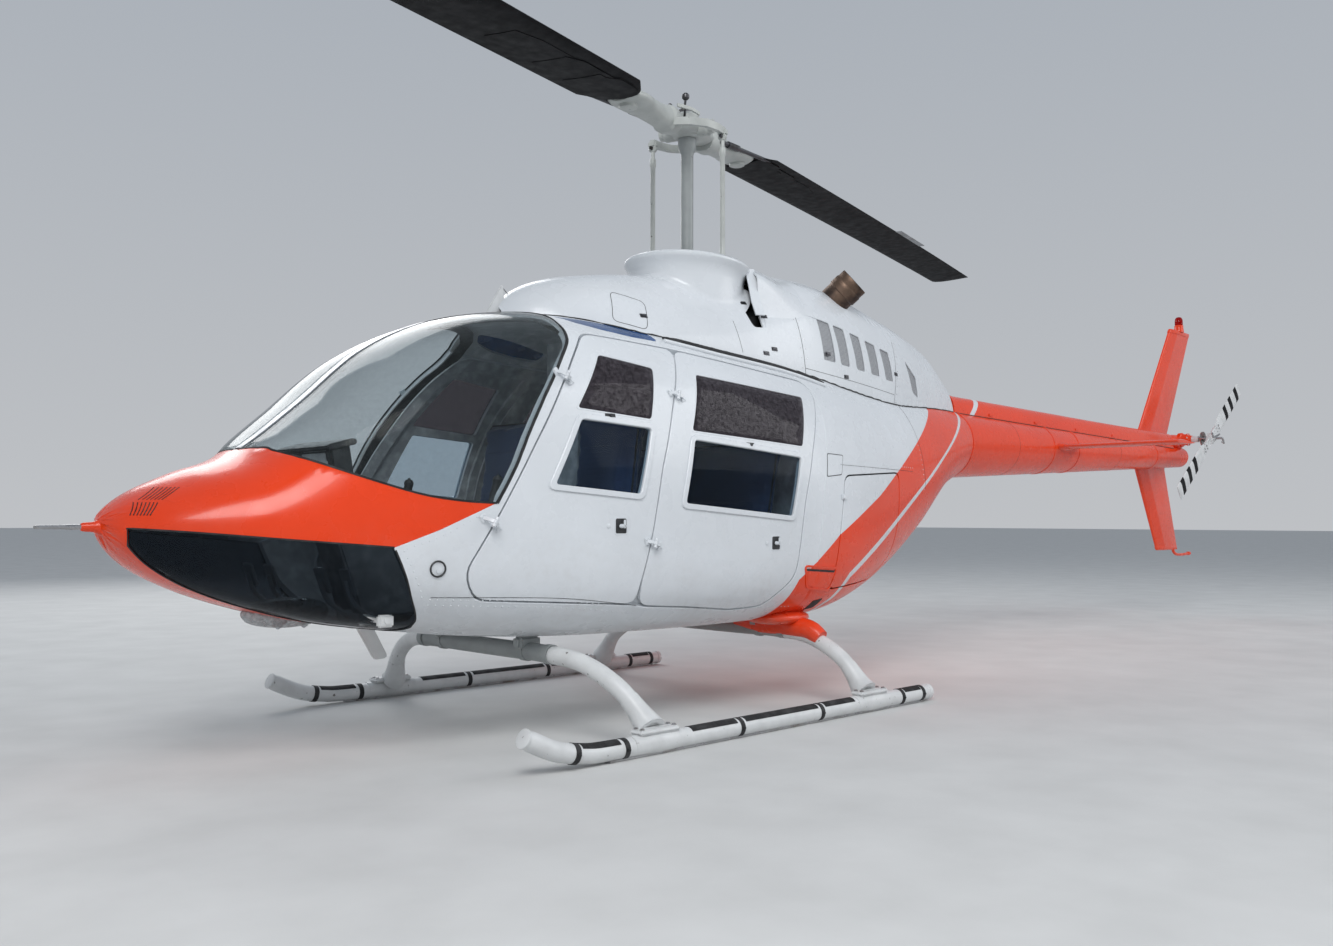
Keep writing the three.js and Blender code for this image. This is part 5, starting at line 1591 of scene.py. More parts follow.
def add_driveshaft_cover():
    rings = [cover_ring(x) for x in COVER_FRONT]
    rings += [cover_ring(x, STRIPE_SLANT) for x in COVER_STRIPE]
    rings += [cover_ring(x) for x in COVER_REAR]
    points, faces, _ = loft(rings)
    slots = [1 if len(face) == 4 and min(face) // COVER_SIDES == len(COVER_FRONT) else 0 for face in faces]
    piece("driveshaft_cover", (points, faces, slots), [ORANGE, WHITE],
          replaces=["driveshaft_cover"], smooth=50)
    latches = []
    for x in np.arange(-2.75, -5.6, -0.62):
        half, height = cover_foot(x)
        latches.append(at(rounded_box((0.046, 0.005, 0.018), 0.002), x, half + 0.001, height + 0.022))
    piece("cover_latches", on_both_sides(together(*latches)), [ORANGE])


def stabiliser_ring(y, ahead=0.0, longer=0.0, thicker=0.0):
    place = (STABILISER_X + ahead, y, STABILISER_Z)
    return aerofoil(place, (-1, 0, 0), (0, 0, 1), STABILISER_CHORD + longer, STABILISER_THICK + thicker)


def add_stabiliser():
    inboard = STABILISER_HALF - 0.012
    rings = [stabiliser_ring(y) for y in np.linspace(-inboard, inboard, 19)]
    tips = [stabiliser_ring(end * STABILISER_HALF, -0.006, -0.012, -0.014) for end in (-1, 1)]
    wing = loft([tips[0], *rings, tips[1]])
    piece("stabiliser", wing, [ORANGE], replaces=["stabiliser"], smooth=22)
    collar = loft([stabiliser_ring(y, grow, 1.6 * grow, 2 * grow) for y, grow in COLLAR_RINGS])
    piece("stabiliser_collars", on_both_sides(collar), [ORANGE])


def fin_ring(z, grow=0.0):
    heights, stations, chords = np.array(FIN_SECTIONS).T
    x, chord = np.interp(z, heights, stations), np.interp(z, heights, chords)
    place = (x + grow, FIN_Y, z)
    return aerofoil(place, (-1, 0, 0), (0, 1, 0), chord + 2 * grow, FIN_THICK + 2 * grow, FIN_FOIL)


FIN_HEIGHTS = [
    0.592, 0.600, *np.linspace(0.66, 1.285, 6), *np.linspace(1.345, 1.605, 4), *np.linspace(1.70, 2.50, 9),
    2.538,
]
# Each cap as rings. Columns: height, how much it stands proud
FIN_CAPS = [
    [(2.500, 0.001), (2.504, 0.006), (2.524, 0.006), (2.536, 0.001)],
    [(0.596, 0.001), (0.602, 0.004), (0.622, 0.004), (0.626, 0.001)],
]
# Columns: station, height
TAIL_SKID = [(-6.190, 0.602), (-6.215, 0.568), (-6.280, 0.548), (-6.400, 0.545), (-6.552, 0.552)]
BEACON_X = -6.400
# Columns: radius, height
BEACON_BASE = [(0.042, 2.530), (0.040, 2.552), (0.037, 2.574), (0.038, 2.586), (0.034, 2.592)]
BEACON_LENS = [(0.031, 2.590), (0.0335, 2.600), (0.0335, 2.632), (0.030, 2.650), (0.020, 2.663), (0.0, 2.669)]


def add_fin():
    rings = [fin_ring(z, -0.005 if z in (FIN_HEIGHTS[0], FIN_HEIGHTS[-1]) else 0.0) for z in FIN_HEIGHTS]
    piece("vertical_fin", loft(rings), [ORANGE], replaces=["vertical_fin"], smooth=6)
    caps = [loft([fin_ring(z, grow) for z, grow in cap]) for cap in FIN_CAPS]
    piece("fin_caps", together(*caps), [ORANGE])
    bar = tube(spline([(x, FIN_Y, z) for x, z in TAIL_SKID], 28), 0.0125, 14)
    sleeve = rod((-6.520, FIN_Y, 0.5515), (-6.556, FIN_Y, 0.5523), 0.0165)
    piece("tail_skid", together(bar, sleeve), [ORANGE], replaces=["tail_skid"])
    base, lens = (at(lathe(profile, 32), BEACON_X, FIN_Y) for profile in (BEACON_BASE, BEACON_LENS))
    shape = together(base, recoloured(lens, 1))
    piece("beacon", shape, [ORANGE, RED_LENS], replaces=["beacon"])


TAIL_SHAFT = (-5.963, 0.0, 1.535)
POD_CENTRE = (-5.960, 0.0, 1.520)
POD_RADII = (0.165, 0.072, 0.062)
# Columns: radius, distance out along the tail rotor's shaft
NECK = [
    (0.058, 0.040), (0.060, 0.068), (0.050, 0.078), (0.046, 0.105), (0.052, 0.110), (0.052, 0.122),
    (0.036, 0.128), (0.032, 0.150),
]
GEARBOX_SHAFT = [(0.026, 0.140), (0.026, 0.203), (0.021, 0.206)]
GEARBOX_BOLT_SWEEP = -6.28  # about one turn, the other way round than the default


def add_tail_gearbox():
    pod = []
    for share in np.linspace(-0.985, 0.985, 22):
        size = math.sqrt(1 - share * share) ** 0.85
        ring = circle((0, 0, 0), (-1.0, 0, 0), 1.0, 32) * (1, POD_RADII[1] * size, POD_RADII[2] * size)
        pod.append(ring + (POD_CENTRE[0] + POD_RADII[0] * share, POD_CENTRE[1], POD_CENTRE[2]))
    neck = along_y(lathe(NECK, 32), TAIL_SHAFT)
    shaft = along_y(lathe(GEARBOX_SHAFT, 24), TAIL_SHAFT)
    bolts = bolt_circle(hex_bolt(0.006, 0.005), 0.045, 8, 0.1215, -0.3, GEARBOX_BOLT_SWEEP)
    bolts = along_y(together(*bolts), TAIL_SHAFT)
    whole = together(loft(pod), neck, recoloured(together(shaft, bolts), 1))
    piece("tail_gearbox", whole, [ORANGE, CREAM], replaces=["tail_gearbox"])


# Rotors

ROTOR_AZIMUTH = math.radians(17.2)
ROTOR_TEETER = math.radians(2.8)
ROTOR_PLACE = Matrix.Translation((0, 0, ROTOR_Z)) @ Matrix.Rotation(ROTOR_AZIMUTH, 4, "Z")
ROTOR_PLANE = ROTOR_PLACE @ Matrix.Rotation(ROTOR_TEETER, 4, "Y")
BLADE_ROOT = 0.640
BLADE_TIP = 5.080
BLADE_DROOP = 0.048
# Columns: radius, chord, thickness
BLADE_SECTIONS = np.array([
    (BLADE_ROOT, 0.200, 0.040), (0.760, 0.330, 0.037), (2.400, 0.330, 0.037), (3.900, 0.330, 0.036),
    (BLADE_TIP, 0.330, 0.035),
])
STRIP_START = 4.35  # where the leading edge's paint is worn off
BLADE_STATIONS = [
    BLADE_ROOT, 0.655, 0.700, 0.760, 1.0, 1.4, 1.9, 2.4, 2.9, 3.4, 3.9, STRIP_START, 4.7, 5.0, 5.072,
    BLADE_TIP,
]
LEADING_COLUMNS = {0, 1, 2, 2 * len(AEROFOIL) - 2, 2 * len(AEROFOIL) - 3}  # of a section's points
TAB_SPAN = (2.95, 3.55)
# Columns: end of the plate, lift over the blade, width
ROOT_PLATES = [(1.55, 0.0022, 0.20), (1.22, 0.0044, 0.23), (0.98, 0.0066, 0.26)]


def droop(radius):
    return BLADE_DROOP * ((radius - BLADE_ROOT) / (BLADE_TIP - BLADE_ROOT))**2


def chord_and_thickness(table, radius):
    return (np.interp(radius, table[:, 0], table[:, k]) for k in (1, 2))


def blade_ring(radius, way, grow=0.0):
    chord, thick = chord_and_thickness(BLADE_SECTIONS, radius)
    return aerofoil((way * radius, way * (chord / 2 + grow), -droop(radius)), (0, -way, 0), (0, 0, 1),
                    chord + 2 * grow, thick + 2 * grow)


def root_plate(way, to_radius, lift, width):
    """A stepped plate on both faces of a blade's root."""
    plates = []
    for face in (1, -1):
        rings = []
        for radius in np.linspace(0.66, to_radius, 7):
            chord, thick = chord_and_thickness(BLADE_SECTIONS, radius)
            half = width / 2 * (1.0 if radius < to_radius - 0.06 else 0.72) * min(1.0, chord / 0.31)
            ring = []
            for y in half * np.linspace(-1, 1, 7):
                high = np.interp(0.5 - way * y / chord, *np.array(AEROFOIL).T) * thick / 2 + lift
                ring.append((way * radius, y, face * high - droop(radius)))
            ring += [(way * radius, end * half * 0.98, -droop(radius)) for end in (1, -1)]
            rings.append(np.array(ring))
        plates.append(loft(rings))
    return together(*plates)


def add_blades():
    for number, way in ((1, 1), (2, -1)):
        rings = [blade_ring(r, way, -0.004 if r in (BLADE_ROOT, BLADE_TIP) else 0.0) for r in BLADE_STATIONS]
        points, faces, _ = loft(rings)
        count = len(rings[0])
        slots = []
        for face in faces:
            outboard = len(face) == 4 and BLADE_STATIONS[min(face) // count] >= STRIP_START
            slots.append(1 if outboard and {i % count for i in face} <= LEADING_COLUMNS else 0)
        edge = -way * (BLADE_SECTIONS[-1, 1] / 2 + 0.012)
        line = [(way * r, edge, -droop(r)) for r in np.linspace(*TAB_SPAN, 6)]
        tab = slab(line, (0, 1, 0), 0.055, 0.0024)
        plates = [root_plate(way, *plate) for plate in ROOT_PLATES]
        shape = together((points, faces, slots), recoloured(tab, 1), *plates)
        node = f"rotor_blade_{number}"
        piece(node, moved(shape, ROTOR_PLANE), [BLACK, STEEL], "main_rotor", [node])


MAST_TURN = Matrix.Rotation(ROTOR_AZIMUTH, 4, "Z")
# Columns: radius, height
MAST_COLUMN = [(0.032, 2.125), (0.031, 2.200), (0.031, 2.660), (0.036, 2.675), (0.044, 2.690), (0.046, 2.740)]
MAST_COLLAR = [
    (0.050, 1.950), (0.050, 2.050), (0.060, 2.056), (0.060, 2.100), (0.078, 2.108), (0.078, 2.134),
    (0.062, 2.142), (0.046, 2.150), (0.046, 2.176), (0.034, 2.182),
]
SWASHPLATE = [(0.075, 2.060), (0.148, 2.060), (0.164, 2.070), (0.164, 2.084), (0.150, 2.093), (0.078, 2.093)]
LINK_Y = 0.195
LINK_TOP = ROTOR_Z - 0.060
PITCH_LINK = [
    (0.010, 2.100), (0.018, 2.104), (0.018, 2.140), (0.013, 2.152), (0.0125, 2.2), (0.0125, LINK_TOP - 0.10),
    (0.016, LINK_TOP - 0.09), (0.016, LINK_TOP - 0.06), (0.010, LINK_TOP - 0.05), (0.010, LINK_TOP - 0.012),
]
LINK_EYE = [(0.018, -0.012), (0.021, -0.008), (0.021, 0.008), (0.018, 0.012)]
LINK_BOLT = [(0.009, -0.026), (0.009, 0.026)]


def add_mast():
    bolts = bolt_circle(hex_bolt(0.008, 0.012), 0.064, 8, 2.133)
    dark = recoloured(together(lathe(MAST_COLLAR, 40), *bolts), 1)
    parts = [lathe(MAST_COLUMN, 40), ring_of(SWASHPLATE, 48), dark]
    for side in (1, -1):
        parts.append(rod((0, 0, 2.078), (0, side * 0.205, 2.078), 0.024, 0.017))
        parts.append(rod((0, side * LINK_Y, 2.062), (0, side * LINK_Y, 2.100), 0.020))
    mast = moved(together(*parts), MAST_TURN)
    piece("rotor_mast", mast, [GREY, DARK_STEEL], "main_rotor", ["rotor_mast"])
    head = (0, 0, LINK_TOP - 0.002)
    eye, bolt = along_x(lathe(LINK_EYE, 20), head), along_x(lathe(LINK_BOLT, 6), head)
    link = together(lathe(PITCH_LINK, 20), eye, recoloured(bolt, 1))
    for name, side in SIDES:
        node = f"pitch_link_{name}"
        shape = moved(at(link, 0, side * LINK_Y), MAST_TURN)
        piece(node, shape, [PALE_GREY, DARK_STEEL], "main_rotor", [node])


# Columns: distance from the mast, half width, half height
YOKE_SECTIONS = [
    (-0.30, 0.050, 0.030), (-0.20, 0.060, 0.034), (-0.09, 0.082, 0.040), (0.0, 0.090, 0.044),
    (0.09, 0.082, 0.040), (0.20, 0.060, 0.034), (0.30, 0.050, 0.030),
]
GRIP_SECTIONS = [
    (0.165, 0.060, 0.060), (0.200, 0.068, 0.066), (0.235, 0.068, 0.066), (0.250, 0.058, 0.056),
    (0.330, 0.056, 0.052), (0.420, 0.066, 0.044), (0.500, 0.088, 0.036), (0.570, 0.096, 0.031),
    (0.628, 0.082, 0.030), (0.652, 0.050, 0.028),
]
# Columns: radius, height
HUB_CAP = [
    (0.060, -0.042), (0.072, -0.034), (0.072, 0.040), (0.062, 0.048), (0.060, 0.072), (0.046, 0.084),
    (0.0, 0.086),
]
HUB_NUT = [(0.040, 0.080), (0.040, 0.104), (0.032, 0.110), (0.0, 0.110)]
TRUNNION = [(0.036, 0.05), (0.042, 0.07), (0.042, 0.118), (0.034, 0.128), (0.034, 0.146), (0.0, 0.148)]
PIN_X = 0.585
PIN = [
    (0.030, -0.050), (0.042, -0.044), (0.042, 0.044), (0.030, 0.050), (0.026, 0.050), (0.026, 0.040),
    (0.0, 0.040),
]
PIN_NUT = [(0.020, 0.040), (0.020, 0.056), (0.014, 0.060), (0.0, 0.060)]
WEIGHT = [
    (0.0, -0.019), (0.011, -0.016), (0.018, -0.008), (0.019, 0.0), (0.018, 0.008), (0.011, 0.016),
    (0.0, 0.019),
]
# Points along each bar (distance from the mast, sideways, up)
PITCH_HORN = [
    (0.235, 0.050, -0.022), (0.215, 0.120, -0.026), (0.150, 0.176, -0.028), (0.070, 0.196, -0.030),
    (-0.006, 0.196, -0.034),
]
HUB_LINK = [(0.060, 0.100, 0.052), (0.120, 0.085, 0.064), (0.200, 0.052, 0.066)]
STALK = [(0.095, 0.036, 0.040), (0.120, 0.052, 0.090), (0.118, 0.055, 0.118)]


def oval_bar(sections, sides, power):
    """A bar along X over oval sections; a power below one makes them squarer."""
    angles = np.linspace(0, 2 * math.pi, sides, endpoint=False)
    return loft([
        np.array([(x, w * squarish(math.cos(a), power), h * squarish(math.sin(a), power)) for a in angles])
        for x, w, h in sections
    ])


def add_hub():
    painted = [
        oval_bar(GRIP_SECTIONS, 28, 0.8),
        at(lathe(PIN, 24), PIN_X),
        slab(PITCH_HORN, (0, 0, 1), 0.036, 0.024),
        at(rounded_box((0.040, 0.046, 0.034), 0.008), 0.0, LINK_Y, -0.040),
        at(rounded_box((0.085, 0.050, 0.018), 0.005), 0.120, -0.010, 0.052),
        slab(HUB_LINK, (0, 0, 1), 0.016, 0.010),
        along_y(lathe(TRUNNION, 24)),
    ]
    steel = [
        at(lathe(PIN_NUT, 6), PIN_X),
        rod((0.250, -0.058, 0.0), (0.760, -0.118, 0.0), 0.011),
        rod((0.330, -0.068, 0.0), (0.430, -0.080, 0.0), 0.017),
        tube(STALK, 0.006, 8),
        at(lathe(WEIGHT, 16), 0.118, 0.055, 0.128),
        *[at(hex_bolt(0.007, 0.008), 0.215, y, 0.066) for y in (0.02, -0.02)],
    ]
    arm = together(*painted, recoloured(together(*steel), 1))
    middle = [oval_bar(YOKE_SECTIONS, 24, 1.0), lathe(HUB_CAP, 32), recoloured(lathe(HUB_NUT, 6), 1)]
    hub = moved(together(*middle, arm, turned(arm)), ROTOR_PLANE)
    piece("rotor_hub", hub, [PALE_GREY, DARK_STEEL], "main_rotor", ["rotor_hub"])


TAIL_ROTOR_AZIMUTH = math.radians(35)
TAIL_ROTOR_PLACE = (
    Matrix.Translation((TAIL_SHAFT[0], 0.300, TAIL_SHAFT[2])) @ Matrix.Rotation(TAIL_ROTOR_AZIMUTH, 4, "Y")
)
# Columns: radius, chord, thickness
TAIL_BLADE_SECTIONS = np.array([(0.1506, 0.084, 0.018), (0.230, 0.134, 0.017), (0.825, 0.134, 0.015)])
TAIL_BAND_PLACES = [0.415, 0.560, 0.720]  # radii of the black bands
TAIL_BAND_HALF = 0.034


TAIL_BAND_EDGES = [place + end * TAIL_BAND_HALF for place in TAIL_BAND_PLACES for end in (-1, 1)]
TAIL_STATIONS = sorted([0.151, 0.160, 0.195, 0.230, 0.30, *TAIL_BAND_EDGES, 0.79, 0.819, 0.825])
# Columns: radius, distance out along the shaft
TAIL_DRUM = [(0.040, -0.022), (0.047, -0.018), (0.047, 0.018), (0.038, 0.026), (0.022, 0.028), (0.022, 0.042)]
TAIL_PLATE = [(0.024, -0.070), (0.060, -0.068), (0.061, -0.057), (0.024, -0.055)]
TAIL_AXLE = [(0.020, -0.088), (0.020, 0.040), (0.010, 0.042), (0.010, 0.096), (0.006, 0.100), (0.0, 0.100)]
TAIL_ARM = [(0.0, 0.082, 0.040), (0.050, 0.080, 0.055), (0.085, 0.060, 0.060)]


def tail_blade(way):
    """A tail rotor blade in its own plane, with a second colour on its bands."""
    rings = []
    for radius in TAIL_STATIONS:
        chord, thick = chord_and_thickness(TAIL_BLADE_SECTIONS, radius)
        trim = 0.006 if radius in (TAIL_STATIONS[0], TAIL_STATIONS[-1]) else 0.0
        place = (way * radius, 0, way * (chord - trim) / 2)
        rings.append(aerofoil(place, (0, 0, -way), (0, 1, 0), chord - trim, thick - trim))
    points, faces, _ = loft(rings)
    slots = []
    for face in faces:
        ring = min(face) // len(rings[0])
        middle = (TAIL_STATIONS[ring] + TAIL_STATIONS[min(ring + 1, len(TAIL_STATIONS) - 1)]) / 2
        banded = any(abs(middle - place) < TAIL_BAND_HALF for place in TAIL_BAND_PLACES)
        slots.append(1 if banded and len(face) == 4 else 0)
    return points, faces, slots


def add_tail_rotor():
    for number, way in ((1, -1), (2, 1)):
        node = f"tail_rotor_blade_{number}"
        shape = moved(tail_blade(way), TAIL_ROTOR_PLACE)
        piece(node, shape, [CREAM, BLACK], "tail_rotor", [node])
    steel = [
        slab(TAIL_ARM, (0, 0, 1), 0.014, 0.008),
        rod((0.085, -0.062, 0.062), (0.095, -0.006, 0.060), 0.006),
        rod((0.085, 0.060, 0.060), (0.085, 0.060, 0.105), 0.008),
    ]
    for x in (0.135, 0.185):
        steel += [along_y(hex_bolt(0.006, 0.006), (x, 0.012, z)) for z in (-0.014, 0.014)]
    root = at(rounded_box((0.090, 0.024, 0.056), 0.008, 3), 0.165)
    arm = together(root, recoloured(together(*steel), 1))
    centre = together(along_y(ring_of(TAIL_PLATE, 28)), along_y(lathe(TAIL_AXLE, 20)))
    yoke = together(rounded_box((0.298, 0.030, 0.070), 0.010, 3), along_y(lathe(TAIL_DRUM, 28)))
    hub = moved(together(yoke, recoloured(centre, 1), arm, turned(arm, "Y")), TAIL_ROTOR_PLACE)
    piece("tail_rotor_hub", hub, [CREAM, STEEL], "tail_rotor", ["tail_rotor_hub"])


# Skids

SKID_Y = 0.920
SKID_Z = 0.041
SKID_END_X = -0.690
# Columns: station, height
SKID_ROUTE = [
    (SKID_END_X, SKID_Z), (0.0, SKID_Z), (0.9, SKID_Z), (1.32, SKID_Z), (1.44, 0.048), (1.56, 0.073),
    (1.690, 0.131),
]
# Collars round a skid's tube. Columns: distance along the tube, radius
TOE = [(-0.004, 0.031), (0.0, 0.0345), (0.006, 0.0345), (0.008, 0.031)]
HEEL = [(-0.020, 0.0355), (-0.019, 0.037), (0.0, 0.037), (0.001, 0.033)]
STRAP = [(-0.011, 0.034), (-0.011, 0.0372), (0.011, 0.0372), (0.011, 0.034)]
STRAP_PLACES = [1.485, 1.258, 0.650, 0.147, -0.449, -0.613]
GRIP_STRIPS = [(1.46, 1.285), (0.925, 0.675), (0.625, 0.172), (0.122, -0.085), (-0.470, -0.595)]
GRIP_ARC = np.linspace(math.radians(38), math.radians(142), 9)
GRIP_RADII = (0.0372, 0.034)
# Columns: name, station at the belly, station at the skid
CROSSTUBES = [("front", 1.200, 1.090), ("rear", -0.212, -0.235)]
# Columns: share of the way from belly to skid, distance from the centre line, height
CROSSTUBE_HALF = [
    (0.0, 0.150, 0.327), (0.0, 0.400, 0.327), (0.25, 0.600, 0.305), (0.6, 0.770, 0.222), (1.0, 0.880, 0.095),
    (1.0, 0.893, 0.084),
]
TUBE_SIDES = 28
CLAMP_PLACES = (0.290, 0.440)  # distances from the centre line
# Columns: radius, distance along the tube
CLAMP = [(0.034, -0.016), (0.0385, -0.016), (0.0385, 0.016), (0.034, 0.016)]
# Radius of a saddle round the crosstube's leg. Columns: height, radius
SADDLE_SPREAD = [(0.07, 0.060), (0.11, 0.050), (0.15, 0.041), (0.21, 0.0355)]


def collar_on(centre, way, profile):
    """A collar round a tube at a centre; the profile's columns are distance along the way and radius."""
    way = unit(way)
    return loft([circle(centre + way * along, way, radius, TUBE_SIDES) for along, radius in profile])


def grip_strip(path, start, end):
    """A rough strip over the top of a skid."""
    rings = []
    for x in np.linspace(start, end, 14):
        z = np.interp(x, path[:, 0], path[:, 2])
        ring = []
        for radius, arc in zip(GRIP_RADII, (GRIP_ARC, GRIP_ARC[::-1])):
            ring += [(x, SKID_Y + radius * math.cos(a), z + radius * math.sin(a)) for a in arc]
        rings.append(np.array(ring))
    return loft(rings)


def add_skids():
    path = spline([(x, SKID_Y, z) for x, z in SKID_ROUTE], 90)
    radii = np.full(len(path), 0.035)
    radii[[0, -1]] = 0.031
    runner = tube(path, radii, TUBE_SIDES)
    toe = collar_on(path[-1], path[-1] - path[-3], TOE)
    heel = collar_on(np.array([SKID_END_X, SKID_Y, SKID_Z]), (-1.0, 0, 0), HEEL)
    shoe = box_between((-0.640, SKID_Y - 0.018, 0.0005), (1.330, SKID_Y + 0.018, 0.012), 0.003)
    straps = []
    for x in STRAP_PLACES:
        i = int(np.argmin(abs(path[:, 0] - x)))
        way = path[min(i + 1, len(path) - 1)] - path[i - 1]
        centre = np.array([x, SKID_Y, np.interp(x, path[:, 0], path[:, 2])])
        straps.append(collar_on(centre, way, STRAP))
        straps.append(at(rounded_box((0.020, 0.012, 0.012), 0.003), x, SKID_Y + 0.036, centre[2]))
    strips = [grip_strip(path, start, end) for start, end in GRIP_STRIPS]
    skid = together(runner, toe, heel, recoloured(shoe, 1))
    for name, side in SIDES:
        node = f"skid_{name}"
        piece(node, sided(skid, side), [CREAM, STEEL], replaces=[node])
        piece(f"skid_straps_{name}", sided(together(*straps), side), [RUBBER])
        piece(f"skid_grip_strips_{name}", sided(together(*strips), side), [GRIT])


def crosstube_path(belly, skid):
    half = [(belly + (skid - belly) * share, y, z) for share, y, z in CROSSTUBE_HALF]
    return spline([(x, -y, z) for x, y, z in half[::-1]] + half, 96)


def saddle(belly, skid):
    """The sleeve, plate and bolts where a crosstube stands on a skid."""
    along = np.linspace(-0.125, 0.125, 15)
    fatter = [0.0362 + 0.0035 * math.cos(math.pi * share / 0.27)**2 for share in along]
    sleeve = tube([(skid + d, SKID_Y, SKID_Z + 0.002) for d in along], fatter, TUBE_SIDES)
    path = crosstube_path(belly, skid)
    leg = path[path[:, 1] > 0.80]
    spread = np.interp(leg[:, 2], *np.array(SADDLE_SPREAD).T)
    y = SKID_Y - 0.004
    plate = at(rounded_box((0.200, 0.070, 0.020), 0.008, 3), skid, y, 0.086)
    corners = [(dx, dy) for dx in (-0.080, 0.080) for dy in (-0.016, 0.016)]
    bolts = [at(hex_bolt(0.007, 0.007), skid + dx, y + dy, 0.095) for dx, dy in corners]
    return together(sleeve, tube(leg, spread, TUBE_SIDES), plate, recoloured(together(*bolts), 1))


def add_crosstubes():
    for name, belly, skid in CROSSTUBES:
        path = crosstube_path(belly, skid)
        points, faces, _ = tube(path, 0.035, TUBE_SIDES)
        middles = [path[min(min(face) // TUBE_SIDES, len(path) - 1)][1] for face in faces]
        bar = (points, faces, [1 if abs(y) < CLAMP_PLACES[1] else 0 for y in middles])
        mounts = []
        for side in (1, -1):
            mounts += [along_y(ring_of(CLAMP, TUBE_SIDES), (belly, side * y, 0.327)) for y in CLAMP_PLACES]
            block = rounded_box((0.110, 0.060, 0.060), 0.014, 3)
            mounts.append(at(block, belly, side * CLAMP_PLACES[0], 0.362))
        shape = together(bar, recoloured(together(*mounts), 1))
        node = f"crosstube_{name}"
        piece(node, shape, [CREAM, GREY], replaces=[node])
    saddles = together(*[saddle(belly, skid) for _, belly, skid in CROSSTUBES])
    piece("skid_saddles", on_both_sides(saddles), [CREAM, STEEL])


# Probe on the nose

PROBE_Z = 0.824
# Columns: radius, station
PROBE_COLLAR = [(0.030, 2.706), (0.026, 2.722), (0.017, 2.738), (0.0145, 2.770), (0.011, 2.776)]
PROBE_TUBE = [
    (0.0090, 2.765), (0.0090, 2.815), (0.0072, 2.825), (0.0066, 2.900), (0.0050, 2.912), (0.0032, 2.912),
    (0.0028, 2.880), (0.0, 2.880),
]


def add_probe():
    place = (0, 0, PROBE_Z)
    collar = along_x(lathe(PROBE_COLLAR, 28), place)
    barrel = along_x(lathe(PROBE_TUBE, 20), place)
    shape = together(collar, recoloured(barrel, 1))
    piece("pitot_tube", shape, [ORANGE, STEEL], replaces=["pitot_tube"])


# Cabin

def refinish(node, entry):
    """A carried-over solid keeps its shape and takes another material."""
    mesh = frame["nodes"][node].data
    mesh.materials.clear()
    mesh.materials.append(entry)


def points_of(mesh):
    flat = np.empty(len(mesh.vertices) * 3)
    mesh.vertices.foreach_get("co", flat)
    return flat.reshape(-1, 3)


def evaluated_mesh(made):
    graph = bpy.context.evaluated_depsgraph_get()
    return bpy.data.meshes.new_from_object(made.evaluated_get(graph), depsgraph=graph)


def swell(made, voxel, cap):
    """Blows a pad up as cloth; no point moves further than the cap."""
    scene = bpy.context.scene
    remesh = made.modifiers.new("remesh", "REMESH")
    remesh.mode = "VOXEL"
    remesh.voxel_size = voxel
    made.data = evaluated_mesh(made)
    made.modifiers.clear()
    start = points_of(made.data)
    cloth = made.modifiers.new("cloth", "CLOTH")
    cloth.settings.use_pressure = True
    cloth.settings.uniform_pressure_force = PAD_PRESSURE
    cloth.settings.effector_weights.gravity = 0.0
    cloth.point_cache.frame_start = 1
    cloth.point_cache.frame_end = PAD_FRAMES
    for number in range(1, PAD_FRAMES + 1):
        scene.frame_set(number)
    end = points_of(evaluated_mesh(made))
    made.modifiers.clear()
    scene.frame_set(1)
    move = end - start
    reach = np.linalg.norm(move, axis=1)[:, None]
    move *= np.minimum(1.0, cap / np.maximum(reach, 1e-9))
    made.data.vertices.foreach_set("co", (start + move).ravel())
    finer = made.modifiers.new("finer", "SUBSURF")
    finer.levels = 1
    made.data = evaluated_mesh(made)
    made.modifiers.clear()
    made.data.shade_smooth()
    made.data.update()


def sewn(made, lines, radius, closed):
    """Piping or stitching laid on a pad along lines near it."""
    mesh = made.data
    tree = BVHTree.FromPolygons([v.co for v in mesh.vertices], [p.vertices for p in mesh.polygons])
    shift = Vector((MAST_X, 0, 0))
    parts = []
    for line in lines:
        found = [tree.find_nearest(Vector(p) + shift)[0] - shift for p in dense(line, 0.02, closed)]
        parts.append(tube(found, radius, 8, closed))
    return together(*parts)


PAD_PRESSURE = 4.0
PAD_FRAMES = 20
PAD_CAP = 0.024
PIPING = 0.0045
STITCH = 0.0022
# Pads from the side (station, height)
SEAT_CUSHION = [(0.850, 0.708), (1.225, 0.708), (1.225, 0.788), (0.850, 0.770)]
SEAT_BACK = [(0.812, 0.800), (0.890, 0.800), (0.822, 1.318), (0.750, 1.318)]
BENCH_CUSHION = [(-0.056, 0.690), (0.256, 0.690), (0.256, 0.768), (-0.056, 0.755)]
BENCH_BACK = [(-0.078, 0.780), (0.000, 0.780), (-0.102, 1.240), (-0.176, 1.240)]
# Columns: name, node, outline, low y, high y, voxel
PADS = [
    ("seat_cushion_left", "front_seat_left", SEAT_CUSHION, 0.140, 0.540, 0.009),
    ("seat_back_left", "front_seat_left", SEAT_BACK, 0.140, 0.540, 0.009),
    ("seat_cushion_right", "front_seat_right", SEAT_CUSHION, -0.540, -0.140, 0.009),
    ("seat_back_right", "front_seat_right", SEAT_BACK, -0.540, -0.140, 0.009),
    ("bench_cushion", "rear_bench", BENCH_CUSHION, -0.540, 0.540, 0.012),
    ("bench_back", "rear_bench", BENCH_BACK, -0.515, 0.515, 0.012),
]
CHANNELS = [0.32, 0.68]  # stitched lines, as shares of a pad's length


